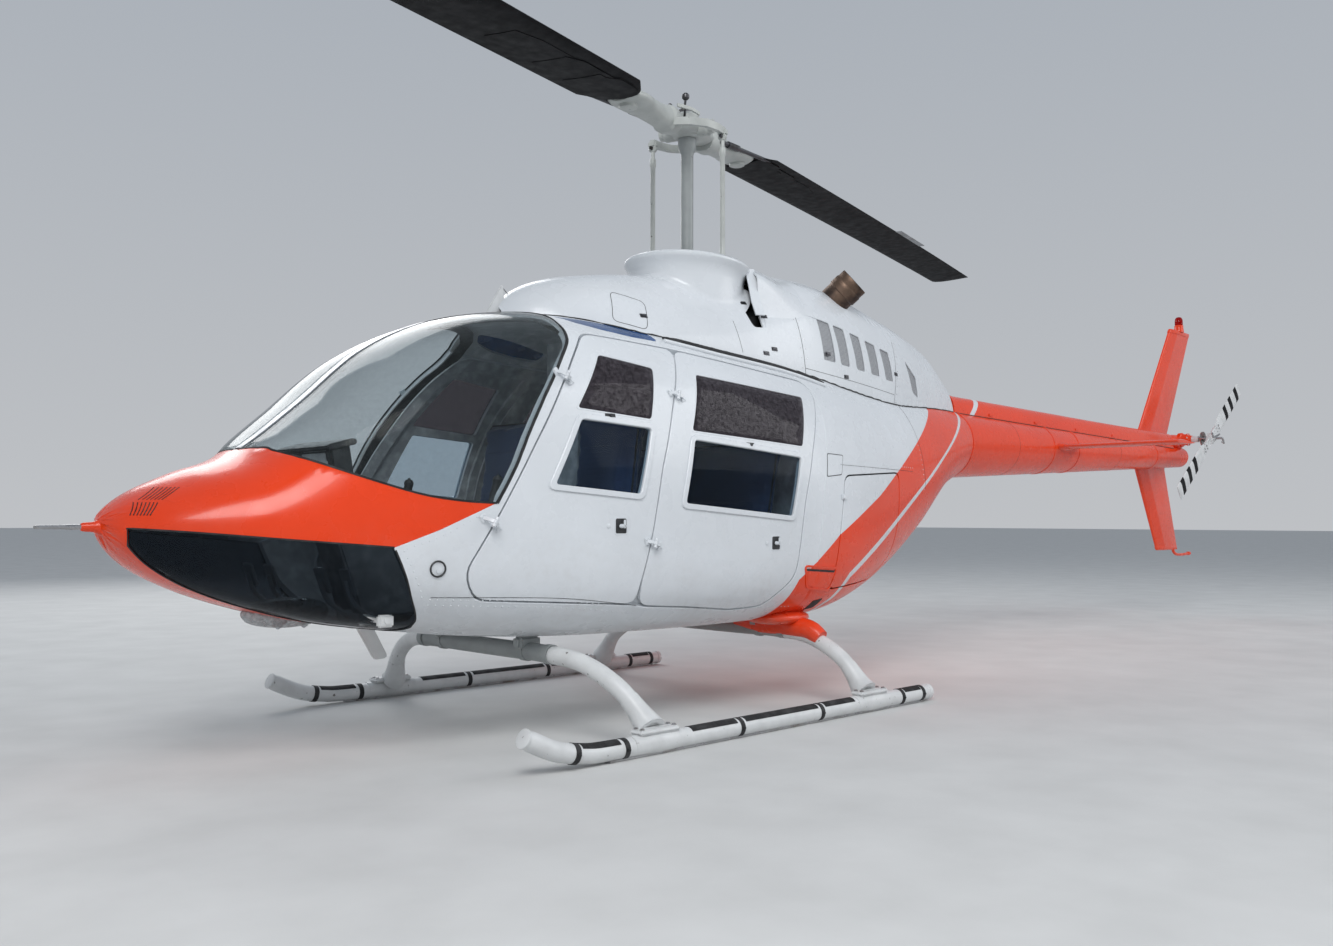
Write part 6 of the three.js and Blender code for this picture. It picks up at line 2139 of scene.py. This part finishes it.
def add_seats():
    for name, node, outline, low, high, voxel in PADS:
        pad = piece(name, prism(outline, low, high, 0.024), [SEAT_BLUE], replaces=[node])
        swell(pad, voxel, PAD_CAP)
        corners = np.array(outline)
        upright = np.ptp(corners[:, 1]) > np.ptp(corners[:, 0])
        front = corners[[1, 2]] if upright else corners[[3, 2]]
        edge = [(*front[0], low), (*front[1], low), (*front[1], high), (*front[0], high)]
        loop = np.array([(x, y, z) for x, z, y in edge])
        ends = [(loop[1] - loop[0]) * share for share in CHANNELS]
        channels = [[loop[0] + end, loop[3] + end] for end in ends]
        shape = together(sewn(pad, [loop], PIPING, True), recoloured(sewn(pad, channels, STITCH, False), 1))
        piece(f"{name}_seams", shape, [RUBBER, SEAT_BLUE])


def bellows(radius, height, folds=5):
    profile = [(0.0, 0.0)]
    for k in range(2 * folds + 1):
        share = k / (2 * folds)
        wide = radius * (1 - 0.55 * share)
        profile.append((wide if k % 2 == 0 else wide * 0.82, height * share))
    return lathe([*profile, (0.0, height)], 24)


# Console from the side (station, height)
PEDESTAL = [
    (1.562, 0.487), (1.818, 0.487), (1.955, 0.862), (1.978, 1.100), (1.905, 1.130), (1.842, 0.862),
    (1.702, 0.782), (1.562, 0.702),
]
BOARD = [(1.853, 0.884), (1.930, 0.884), (1.975, 1.105), (1.896, 1.128)]
SHIELD = [(1.872, 1.128), (1.985, 1.100), (1.995, 1.112), (1.985, 1.122), (1.886, 1.150), (1.868, 1.142)]
BOARD_FOOT = np.array([1.853, 0.0, 0.884])
BOARD_HEAD = np.array([1.896, 0.0, 1.128])
PEDESTAL_FOOT = np.array([1.702, 0.0, 0.782])
PEDESTAL_HEAD = np.array([1.842, 0.0, 0.862])
DIAL_ROWS = [0.060, 0.132, 0.200]
DIAL_PITCH = 0.072
# Columns: radius, height
DIAL_RIM = [(0.024, 0.000), (0.032, 0.000), (0.032, 0.004), (0.029, 0.006), (0.024, 0.004)]
DIAL_FACE = [(0.0245, 0.001), (0.0245, 0.002), (0.0, 0.002)]
KNOB = [(0.011, 0.0), (0.010, 0.010), (0.0, 0.011)]


def add_console():
    parts = [
        prism(PEDESTAL, -0.094, 0.094, 0.008),
        recoloured(prism(BOARD, -0.258, 0.128, 0.006), 1),
        recoloured(prism(SHIELD, -0.268, 0.138, 0.005), 1),
    ]
    rise = unit(BOARD_HEAD - BOARD_FOOT)
    aft = np.array([-rise[2], 0.0, rise[0]])
    needle = box_between((-0.001, -0.003, 0.002), (0.001, 0.019, 0.0028), 0.0003, 1)
    dial = together(
        recoloured(ring_of(DIAL_RIM, 28), 1), recoloured(lathe(DIAL_FACE, 28), 2), recoloured(needle, 3),
    )
    for height in DIAL_ROWS:
        for y in np.arange(-0.215, 0.10, DIAL_PITCH):
            place = BOARD_FOOT + rise * height + (0, y, 0) + aft * 0.0005
            parts.append(moved(dial, frame_on(place, aft, (0, 1, 0))))
    along = unit(PEDESTAL_HEAD - PEDESTAL_FOOT)
    up = np.array([-along[2], 0.0, along[0]])
    radio = recoloured(box_between((-0.016, -0.076, 0), (0.016, 0.076, 0.006), 0.002), 1)
    knobs = [recoloured(at(lathe(KNOB, 16), 0, y, 0.005), 3) for y in (-0.055, 0.055)]
    for share in (0.2, 0.5, 0.8):
        centre = PEDESTAL_FOOT + (PEDESTAL_HEAD - PEDESTAL_FOOT) * share
        parts.append(moved(together(radio, *knobs), frame_on(centre, up, along)))
    piece("instrument_console", together(*parts), [TRIM, PLASTIC, CHIN_PANE, CREAM],
          replaces=["instrument_console"])


# Controls from the side (station, height)
STICK = [(1.290, 0.511), (1.370, 0.665), (1.416, 0.815), (1.392, 0.925)]
STICK_GRIP = [(1.394, 0.905), (1.386, 0.945), (1.372, 0.985), (1.368, 1.018)]
STICK_GRIP_RADII = [0.016, 0.019, 0.017, 0.019, 0.017, 0.019, 0.018, 0.021, 0.014]
STICK_BUTTON = [(0.006, 0.0), (0.006, 0.008), (0.0, 0.009)]
STICK_Y = 0.320
PEDAL_ARM = [(1.900, 0.495), (1.960, 0.520), (2.020, 0.570), (2.045, 0.640)]
PEDAL_PLACES = [0.200, 0.380]
PEDAL_BEARINGS = [0.140, 0.290, 0.420]
PEDAL_RIBS = [-0.032, -0.011, 0.011, 0.032]
PEDAL_TILT = math.radians(20)


def bent_bar(route, y, count, radius, sides):
    """A round bar in a plane along the body, at a distance from the centre line."""
    return tube(spline([(x, y, z) for x, z in route], count), radius, sides)


def add_controls():
    parts = [rod((1.290, -0.328, 0.511), (1.290, 0.328, 0.511), 0.020)]
    dark = []
    for y in (-STICK_Y, STICK_Y):
        parts.append(bent_bar(STICK, y, 20, 0.013, 14))
        dark.append(moved(bellows(0.058, 0.085), frame_on((1.305, y, 0.520), (0.46, 0, 0.89), (1, 0, 0))))
        dark.append(bent_bar(STICK_GRIP, y, len(STICK_GRIP_RADII), STICK_GRIP_RADII, 16))
        dark.append(at(lathe(STICK_BUTTON, 12), 1.368, y, 1.017))
    shape = together(*parts, recoloured(together(*dark), 1))
    piece("cyclic_controls", shape, [TRIM, PLASTIC], replaces=["cyclic_controls"])
    ribs = [at(rounded_box((0.006, 0.070, 0.006), 0.002), -0.008, 0, z) for z in PEDAL_RIBS]
    plate = together(rounded_box((0.012, 0.075, 0.095), 0.004), *ribs)
    plate = moved(plate, Matrix.Rotation(PEDAL_TILT, 4, "Y"))
    pedals = [rod((1.915, 0.120, 0.500), (1.915, 0.440, 0.500), 0.012)]
    for y in PEDAL_PLACES:
        pedals += [bent_bar(PEDAL_ARM, y, 14, 0.009, 10), at(plate, 2.035, y, 0.635)]
    pedals += [at(rounded_box((0.060, 0.024, 0.044), 0.006), 1.915, y, 0.498) for y in PEDAL_BEARINGS]
    piece("pedals", on_both_sides(together(*pedals)), [CREAM])


# Solids that keep the CAD's shape. Columns: node, material
CARRIED_OVER = [
    ("cabin_floor", CARPET),
    ("cabin_bulkhead", PALE_TRIM),
    ("control_column_housing", TRIM),
    ("engine_block", STEEL),
    ("transmission_block", GREY),
]


def finish_carried_over():
    for node, entry in CARRIED_OVER:
        refinish(node, entry)


# Small things on the body

HINGE_PIN = 0.0075
HINGE_LEAF = (0.030, 0.032, 0.006)
# Columns: distance of the leaf across the seam, ends of its knuckles along the pin
FIXED_HALF = (0.026, [(-0.019, -0.008), (0.008, 0.019)])
SWINGING_HALF = (-0.036, [(-0.007, 0.007)])
# Columns: door, axis, places of the pins
HINGES = [
    ("front", (0.5372, 0.0632, -0.8411), [(1.243, 0.586, 1.401), (1.600, 0.628, 0.842)]),
    ("rear", (0.2922, 0.0938, -0.9517), [(0.670, 0.615, 1.367), (0.857, 0.675, 0.758)]),
]


def hinge_half(place, axis, reach, knuckles):
    """A leaf on the skin at a distance across the seam, with an arm to the pin."""
    across = unit((-axis[2], axis[0]))
    x, z = place[0] + across[0] * reach, place[2] + across[1] * reach
    mount = BODY.mount(x, z, turn=math.atan2(across[1], across[0]))
    foot = np.array(mount.translation)
    out = np.array(mount.to_3x3() @ Vector((0, 0, 1)))
    leaf = moved(at(rounded_box(HINGE_LEAF, 0.0025), 0, 0, 0.002), mount)
    corners = [(0.25 * HINGE_LEAF[0] * a, 0.28 * HINGE_LEAF[1] * b) for a in (-1, 1) for b in (-1, 1)]
    bolts = [moved(at(hex_bolt(0.0035, 0.003), x, y, 0.0045), mount) for x, y in corners]
    near = foot + (place - foot) * 0.35 + out * 0.010
    arm = slab([foot + out * 0.003, near, place], axis, 0.013, 0.008)
    barrels = [rod(place + axis * low, place + axis * high, HINGE_PIN, sides=14) for low, high in knuckles]
    return together(leaf, arm, *barrels, *bolts)


def add_hinges():
    for door, axis, places in HINGES:
        axis = unit(axis)
        fixed, swinging = (
            together(*[hinge_half(np.array(place), axis, *half) for place in places])
            for half in (FIXED_HALF, SWINGING_HALF)
        )
        for name, side in SIDES:
            body = f"{door}_{name}_door"
            piece(f"{door}_hinge_lugs_{name}", sided(fixed, side), [WHITE])
            piece(f"{door}_hinge_arms_{name}", sided(swinging, side), [WHITE], body)


# Columns: door, station, height, how far ahead of the handle the window's latch is
HANDLES = [("front", 1.017, 0.826, 0.03), ("rear", 0.107, 0.748, 0.15)]
HANDLE_HALF = (0.027, 0.029)
LATCH_RISE = 0.430  # of the window's latch over the handle
# Columns: radius, height
HANDLE_BOSS = [(0.009, 0.0), (0.008, 0.012)]
DOOR_LOCK = [(0.009, 0.0), (0.009, 0.002), (0.007, 0.003), (0.0, 0.003)]
LATCH_KNOB = [(0.008, 0.0), (0.007, 0.010), (0.0, 0.011)]


def add_handles():
    bar = together(
        at(rounded_box((0.036, 0.011, 0.006), 0.0025), 0, 0, 0.012),
        at(rounded_box((0.011, 0.034, 0.006), 0.0025), -0.010, -0.008, 0.012),
        lathe(HANDLE_BOSS, 16),
        at(lathe(DOOR_LOCK, 20), 0.062),
    )
    knob = together(rounded_box((0.050, 0.018, 0.005), 0.002), lathe(LATCH_KNOB, 16))
    for door, x, z, ahead in HANDLES:
        corners = [(-1, -1), (1, -1), (1, 1), (-1, 1)]
        square = [(x + a * HANDLE_HALF[0], z + b * HANDLE_HALF[1]) for a, b in corners]
        recess = rounded_side(square, 0.0, 0.008)
        loops = [rounded_side(square, 0.005, 0.010), recess]
        rim = panel(BODY, loops, depth=-0.0016, thick=0.0026, edge=0.0006)
        raised = together(rim, moved(bar, BODY.mount(x, z)))
        # The recess is a flat black patch: painted shade standing for the hollow's depth
        handle = together(patch(BODY, recess, 0.0007), recoloured(raised, 1))
        latch = moved(knob, BODY.mount(x + ahead, z + LATCH_RISE, lift=0.001))
        for label, shape, materials, slot in [
            ("handle", handle, [PLASTIC, WHITE], "white_paint"),
            ("window_latch", latch, [PLASTIC], "black_plastic"),
        ]:
            for name, side in SIDES:
                piece(f"{door}_{label}_{name}", sided(shape, side), materials, f"{door}_{name}_door")


# Louvres on the nose. Columns: first slot's lower end, its upper end, spacing below, spacing above
LOUVRES = [
    ((2.674, 0.862), (2.653, 0.904), 0.0070, 0.0082),
    ((2.640, 0.9125), (2.583, 0.9545), 0.0080, 0.0084),
]
LOUVRE_COUNT = 7
FUEL_DOOR = [(-0.309, 1.166), (-0.451, 1.163), (-0.419, 1.065), (-0.286, 1.052)]
STEP_POCKET = [(-0.112, 0.640), (-0.378, 0.623), (-0.350, 0.518), (-0.154, 0.537)]
STEP_TOP = [(-0.128, 0.622), (-0.358, 0.607)]
# Columns: radius, height
VENT_RIM = [(0.024, -0.004), (0.030, -0.004), (0.030, 0.003), (0.027, 0.005), (0.024, 0.002)]
VENT_FACE = [(0.0245, -0.004), (0.0245, -0.001), (0.0, -0.001)]
VENT_KNOB = [(0.010, -0.002), (0.010, 0.004), (0.0, 0.005)]
CHINE = [(1.797, 0.570), (1.280, 0.545), (0.900, 0.500)]
GUTTER = [(0.560, 1.622), (0.500, 1.617), (0.229, 1.591), (-0.188, 1.561), (-0.523, 1.516)]


def outline_strip(skin, loop, width, lift):
    return strip(skin, np.vstack([loop, loop[:1]]), width, lift)


def add_louvres():
    slots = []
    for foot, head, foot_step, head_step in LOUVRES:
        for k in range(LOUVRE_COUNT):
            line = BODY.side([(foot[0] - k * foot_step, foot[1]), (head[0] - k * head_step, head[1])], 0.01)
            # Each louvre's slot is a flat black strip: painted shade in its opening
            slots.append(strip(BODY, line, 0.0034, 0.0005))
    piece("nose_louvres", on_both_sides(together(*slots)), [RUBBER])


def add_body_fittings():
    knob = recoloured(at(lathe(VENT_KNOB, 20), -0.004, 0.006), 1)
    vent = moved(together(ring_of(VENT_RIM, 32), lathe(VENT_FACE, 32), knob), BODY.mount(1.789, 0.679))
    piece("side_vents", on_both_sides(vent), [PLASTIC, WHITE])
    lid = patch(BODY, rounded_side(FUEL_DOOR, -0.004, 0.010), 0.0014)
    # The black ring round the lid is painted shadow in the gap
    gap = patch(BODY, rounded_side(FUEL_DOOR, 0.0, 0.012), 0.0006)
    catch = moved(at(rounded_box((0.020, 0.008, 0.004), 0.001), 0, 0, 0.002), BODY.mount(-0.42, 1.12))
    piece("fuel_door", together(lid, recoloured(gap, 1), catch), [WHITE, RUBBER])
    rim = outline_strip(BODY, rounded_side(STEP_POCKET, 0.0, 0.022), 0.010, 0.0035)
    floor = patch(BODY, rounded_side(STEP_POCKET, -0.010, 0.018), 0.0006)
    shadow = strip(BODY, BODY.side(STEP_TOP), 0.010, 0.0012)
    shape = together(rim, floor, recoloured(shadow, 1))
    piece("step_pockets", on_both_sides(shape), [ORANGE, RUBBER])
    plate = rounded_box((0.046, 0.026, 0.008), 0.003)
    button = at(rounded_box((0.018, 0.016, 0.006), 0.002), 0.008, 0, 0.006)
    catch = moved(together(plate, button), BODY.mount(-0.424, 0.960, lift=0.003))
    piece("baggage_latch", catch, [WHITE], "baggage_lid")


def blister(centre, radii):
    """A soft pod, fuller than an ellipsoid."""
    squareness = 0.85
    angles = np.linspace(0, 2 * math.pi, 40, endpoint=False)
    c, s = np.cos(angles), np.sin(angles)
    rings = []
    for share in np.linspace(-0.992, 0.992, 18):
        size = math.sqrt(1 - share * share)**squareness
        y = np.sign(c) * np.abs(c)**squareness * radii[1] * size
        z = np.sign(s) * np.abs(s)**squareness * radii[2] * size
        rings.append(np.column_stack([np.full(len(angles), radii[0] * share), y, z]) + centre)
    return loft(rings)


TUBE_FAIRING = [
    (-0.206, 0.150, 0.352), (-0.206, 0.360, 0.350), (-0.208, 0.500, 0.350), (-0.212, 0.600, 0.338),
    (-0.216, 0.660, 0.305),
]
# Columns: share of the line, radius
TUBE_FAIRING_RADII = [(0.0, 0.030), (0.3, 0.047), (0.75, 0.049), (0.93, 0.044), (1.0, 0.038)]
# Outline of a black patch behind the crosstube's fairing: painted shade in the gap where the tube leaves the
# belly
CROSSTUBE_GAP_SHADE = [(-0.262, 0.425), (-0.268, 0.470), (-0.345, 0.478), (-0.330, 0.432)]
LAMP_PLACES = [2.10, 2.00]
# Columns: radius, height
LAMP = [(0.012, -0.030), (0.034, 0.000), (0.036, 0.004), (0.030, 0.002), (0.0, -0.004)]
# Aerials from the side (station, height)
BELLY_AERIAL = [
    (1.800, 0.452), (1.728, 0.452), (1.655, 0.322), (1.662, 0.312), (1.707, 0.309), (1.718, 0.316),
]
ROOF_AERIAL = [(1.218, 1.700), (1.112, 1.722), (1.116, 1.842), (1.128, 1.848)]


def add_belly_fittings():
    radii = np.interp(np.linspace(0, 1, 22), *np.array(TUBE_FAIRING_RADII).T)
    fairing = tube(spline(TUBE_FAIRING, 22), radii, 32)
    swelling = blister((-0.170, 0.440, 0.392), (0.170, 0.120, 0.034))
    piece("crosstube_fairings", on_both_sides(together(fairing, swelling)), [ORANGE])
    # A black patch of painted shade in the gap behind the fairing
    gap = patch(BODY, BODY.side(rounded(CROSSTUBE_GAP_SHADE, 0.006), closed=True), 0.0012)
    piece("crosstube_gaps", on_both_sides(gap), [RUBBER])
    lens = blister((2.075, 0, 0.512), (0.165, 0.075, 0.055))
    piece("landing_light_lens", lens, [CLOUDED], smooth=60)
    lamps = [along_x(lathe(LAMP, 24), (x, 0, 0.487)) for x in LAMP_PLACES]
    piece("landing_lights", together(*lamps), [SILVER])
    blade = prism(BELLY_AERIAL, -0.006, 0.006, 0.0045)
    plate = at(rounded_box((0.110, 0.044, 0.006), 0.002), 1.763, 0, 0.440)
    piece("belly_antenna", together(blade, plate), [CREAM])
    fin = prism(ROOF_AERIAL, -0.005, 0.005, 0.0035)
    wire = rod((1.120, 0, 1.838), (1.069, 0, 1.791), 0.0016, sides=8)
    piece("roof_antenna", together(fin, recoloured(wire, 1)), [CREAM, RUBBER])


# A black bead over the gutter, thickest in the middle, is painted shadow of the gap between cowl and roof.
# Columns: share of the gutter, radius
ROOF_SHADOW_RADII = [(0.0, 0.004), (0.06, 0.013), (0.5, 0.013), (0.93, 0.009), (1.0, 0.004)]
# Lines on the body's side (station, height)
BODY_SEAMS = [[(-0.39, 1.115), (-1.255, 1.111)], [(-1.33, 1.50), (-1.45, 1.02)]]
CHIN_RIVETS = [
    [(1.910, 0.742), (1.868, 0.661), (1.828, 0.580)],
    [(1.600, 0.885), (1.780, 0.792), (1.900, 0.752)],
]
WHITE_RIVETS = [
    [(0.86, 0.492), (-0.10, 0.452)],
    [(-0.40, 1.135), (-1.25, 1.130)],
    [(-0.43, 1.47), (-0.36, 1.20), (-0.30, 1.02)],
    [(-1.31, 1.50), (-1.43, 1.02)],
    [(-0.55, 1.50), (-1.30, 1.455)],
]
ORANGE_RIVETS = [
    [(-1.50, 0.80), (-1.52, 1.25)],
    [(-1.98, 1.10), (-2.00, 1.50)],
    [(-2.28, 1.22), (-2.28, 1.44)],
    [(-0.62, 0.52), (-1.40, 0.68)],
]


def add_trim_lines():
    gutter = BODY.side(spline(GUTTER, 40))
    piece("gutters", on_both_sides(bead(BODY, gutter, 0.010, 0.004, 10)), [WHITE])
    radii = np.interp(np.linspace(0, 1, len(gutter)), *np.array(ROOF_SHADOW_RADII).T)
    # A tapered black bead just above the gutter: painted shadow of the gap between cowl and roof
    roof_shadow_bead = tube(BODY.point(gutter + (0.0, 0.016)) + 0.009 * BODY.normal(gutter), radii, 10)
    chine = BODY.side(spline(CHINE, 30))
    seams = [strip(BODY, line, 0.0016) for line in (chine + (0, 0.012), *map(BODY.side, BODY_SEAMS))]
    piece("body_seams", on_both_sides(together(roof_shadow_bead, *seams)), [RUBBER])
    rows = [windshield_aft() + (0.022, 0.0), chine, chine - (0, 0.028)]
    rows += [BODY.side(spline(line, 12)) for line in CHIN_RIVETS]
    rows += [BODY.side(line) for line in WHITE_RIVETS]
    white = together(*[rivets(BODY, row) for row in rows])
    piece("rivet_rows", on_both_sides(white), [WHITE])
    orange = together(*[rivets(BODY, BODY.side(line)) for line in ORANGE_RIVETS])
    piece("tail_rivet_rows", on_both_sides(orange), [ORANGE])


# Small things on the cowls

# Places on the cowl's side (station, height)
ACCESS_PANEL = [(0.717, 1.847), (0.556, 1.813), (0.602, 1.675), (0.769, 1.702)]
COWL_LATCHES = [
    (0.598, 1.742), (-0.326, 2.083), (-0.103, 1.898), (-0.198, 1.838), (-0.142, 1.646), (-0.634, 1.694),
    (-0.206, 1.673), (-0.781, 1.589), (-1.340, 1.660),
]
COWL_SEAMS = [
    [(-1.407, 1.856), (-1.281, 1.488)],
    [(0.027, 1.789), (0.023, 1.634)],
    [(-0.430, 1.600), (-1.290, 1.540)],
]


SCREW_OFFSET = 0.020  # of the rows of screws from the split
AFT_SCREWS = [(-1.430, 1.850), (-1.305, 1.500)]
# A black patch of painted shade on the cowl under the intake hood, from above (station, distance from the
# centre line)
INTAKE_SHADE_PATCH = [(-0.235, 0.120), (-0.225, 0.330), (-0.470, 0.330), (-0.470, 0.120)]


def add_cowl_fittings():
    dark = [strip(COWL, COWL.side(line), 0.0022, 0.0004) for line in COWL_SEAMS]
    split = COWL.side([(COWL_SPLIT_X, 1.56), (COWL_SPLIT_X, 2.085)])
    dark.append(strip(COWL, split, 0.0030, 0.0004))
    panel_loop = COWL.side(rounded(ACCESS_PANEL, 0.03), closed=True)
    dark.append(outline_strip(COWL, panel_loop, 0.0026, 0.0005))
    dark.append(tube(COWL.point(cowl_foot(1.12, -2.27) + (0.0, 0.014)), 0.0038, 8))
    piece("cowl_seams", on_both_sides(together(*dark)), [RUBBER])
    lever = at(rounded_box((0.026, 0.010, 0.004), 0.0015), 0.003, 0, 0.003)
    latch = together(rounded_box((0.040, 0.020, 0.004), 0.0015), lever)
    latches = [moved(latch, COWL.mount(x, z, lift=0.001)) for x, z in COWL_LATCHES]
    piece("cowl_latches", on_both_sides(together(*latches)), [DARK_STEEL])
    rows = [[(COWL_SPLIT_X + end * SCREW_OFFSET, z) for z in (1.60, 2.05)] for end in (1, -1)]
    screws = [rivets(COWL, COWL.side(row), 0.05, 0.0036) for row in (*rows, AFT_SCREWS)]
    piece("cowl_screws", on_both_sides(together(*screws)), [STEEL])
    # A black patch on the cowl under the hood and a black sheet behind the intake's opening: both painted
    # shade of the duct
    intake_shade_patch = patch(COWL, COWL.plan(INTAKE_SHADE_PATCH, closed=True), 0.002)
    back = panel(COWL, [grown(COWL.plan(INTAKE, closed=True), 0.02)], depth=0.060, thick=0.003)
    strut = slab(INTAKE_STRUT, (-0.86, 0.5, 0.0), 0.046, 0.008)
    shape = together(back, intake_shade_patch, recoloured(strut, 1))
    piece("engine_intakes", on_both_sides(shape), [PLASTIC, WHITE])


# Hood over the engine's air intakes, behind the mast
INTAKE_STRUT = [
    (-0.182, 0.250, 2.078), (-0.166, 0.288, 1.990), (-0.150, 0.322, 1.905), (-0.146, 0.352, 1.835),
]
# Columns: height, station of the hood's front edge
HOOD_EDGE = [(1.820, -0.172), (1.909, -0.172), (2.005, -0.191), (2.077, -0.215), (2.118, -0.262)]
HOOD_BACK_X = -0.600
HOOD_TOP = 2.118
HOOD_SQUARENESS = 3.4
HOOD_FOOT = (1.820, 1.960)  # heights between which the hood leaves the cowl


def eased(value):
    value = np.clip(value, 0.0, 1.0)
    return value * value * (3 - 2 * value)


def add_intake_hood():
    angles = np.linspace(0.16, math.pi - 0.16, 61)
    c, s = np.cos(angles), np.sin(angles)
    heights, edges = np.array(HOOD_EDGE).T
    rings = []
    for share in np.linspace(0, 1, 16):
        stations = np.full(len(angles), HOOD_EDGE[-1][1])
        for _ in range(3):
            rows = np.array([table_row(COWL_SECTIONS, COWL_NOSE_X, x) for x in stations])
            half, top, power = rows[:, 1] * COWL_SPREAD, rows[:, 2], rows[:, 3]
            y = half * np.sign(c) * np.abs(c)**(2 / power)
            z = COWL_FOOT_Z + (top - COWL_FOOT_Z) * s**(2 / power)
            front = np.interp(z, heights, edges)
            stations = front + (HOOD_BACK_X - front) * share
        hood_y = half * np.sign(c) * np.abs(c)**(2 / HOOD_SQUARENESS)
        hood_z = COWL_FOOT_Z + (HOOD_TOP - COWL_FOOT_Z) * s**(2 / HOOD_SQUARENESS)
        lift = eased((z - HOOD_FOOT[0]) / (HOOD_FOOT[1] - HOOD_FOOT[0])) * (1 - eased(share))
        outer = np.column_stack([stations, y + (hood_y - y) * lift, z + (hood_z - z) * lift])
        # The sheet is 8 mm thick and sinks 4 mm into the cowl where it leaves it
        sink = np.column_stack([np.zeros(len(c)), outer[:, 1], outer[:, 2] - COWL_FOOT_Z - 0.2])
        sink /= np.linalg.norm(sink, axis=1)[:, None]
        outer -= sink * (0.004 * (1 - lift) ** 6)[:, None]
        rings.append(np.vstack([outer, (outer - 0.008 * sink)[::-1]]))
    points, faces, _ = loft(rings)
    count = len(angles)
    # The hood's inner face takes the black slot: painted shade in the intake's mouth
    slots = [1 if len(face) == 4 and min(i % (2 * count) for i in face) >= count else 0 for face in faces]
    piece("intake_hood", (points, faces, slots), [WHITE, PLASTIC])


add_camera()
add_stage()
add_light()
add_nose()
add_cabin_frame()
add_roof()
add_aft_body()
add_doors()
add_cowls()
add_windshield_trim()
add_mast_fairing()
add_exhausts()
add_tail_boom()
add_driveshaft_cover()
add_stabiliser()
add_fin()
add_tail_gearbox()
add_blades()
add_mast()
add_hub()
add_tail_rotor()
add_skids()
add_crosstubes()
add_probe()
finish_carried_over()
add_seats()
add_console()
add_controls()
add_hinges()
add_handles()
add_louvres()
add_body_fittings()
add_belly_fittings()
add_trim_lines()
add_cowl_fittings()
add_intake_hood()
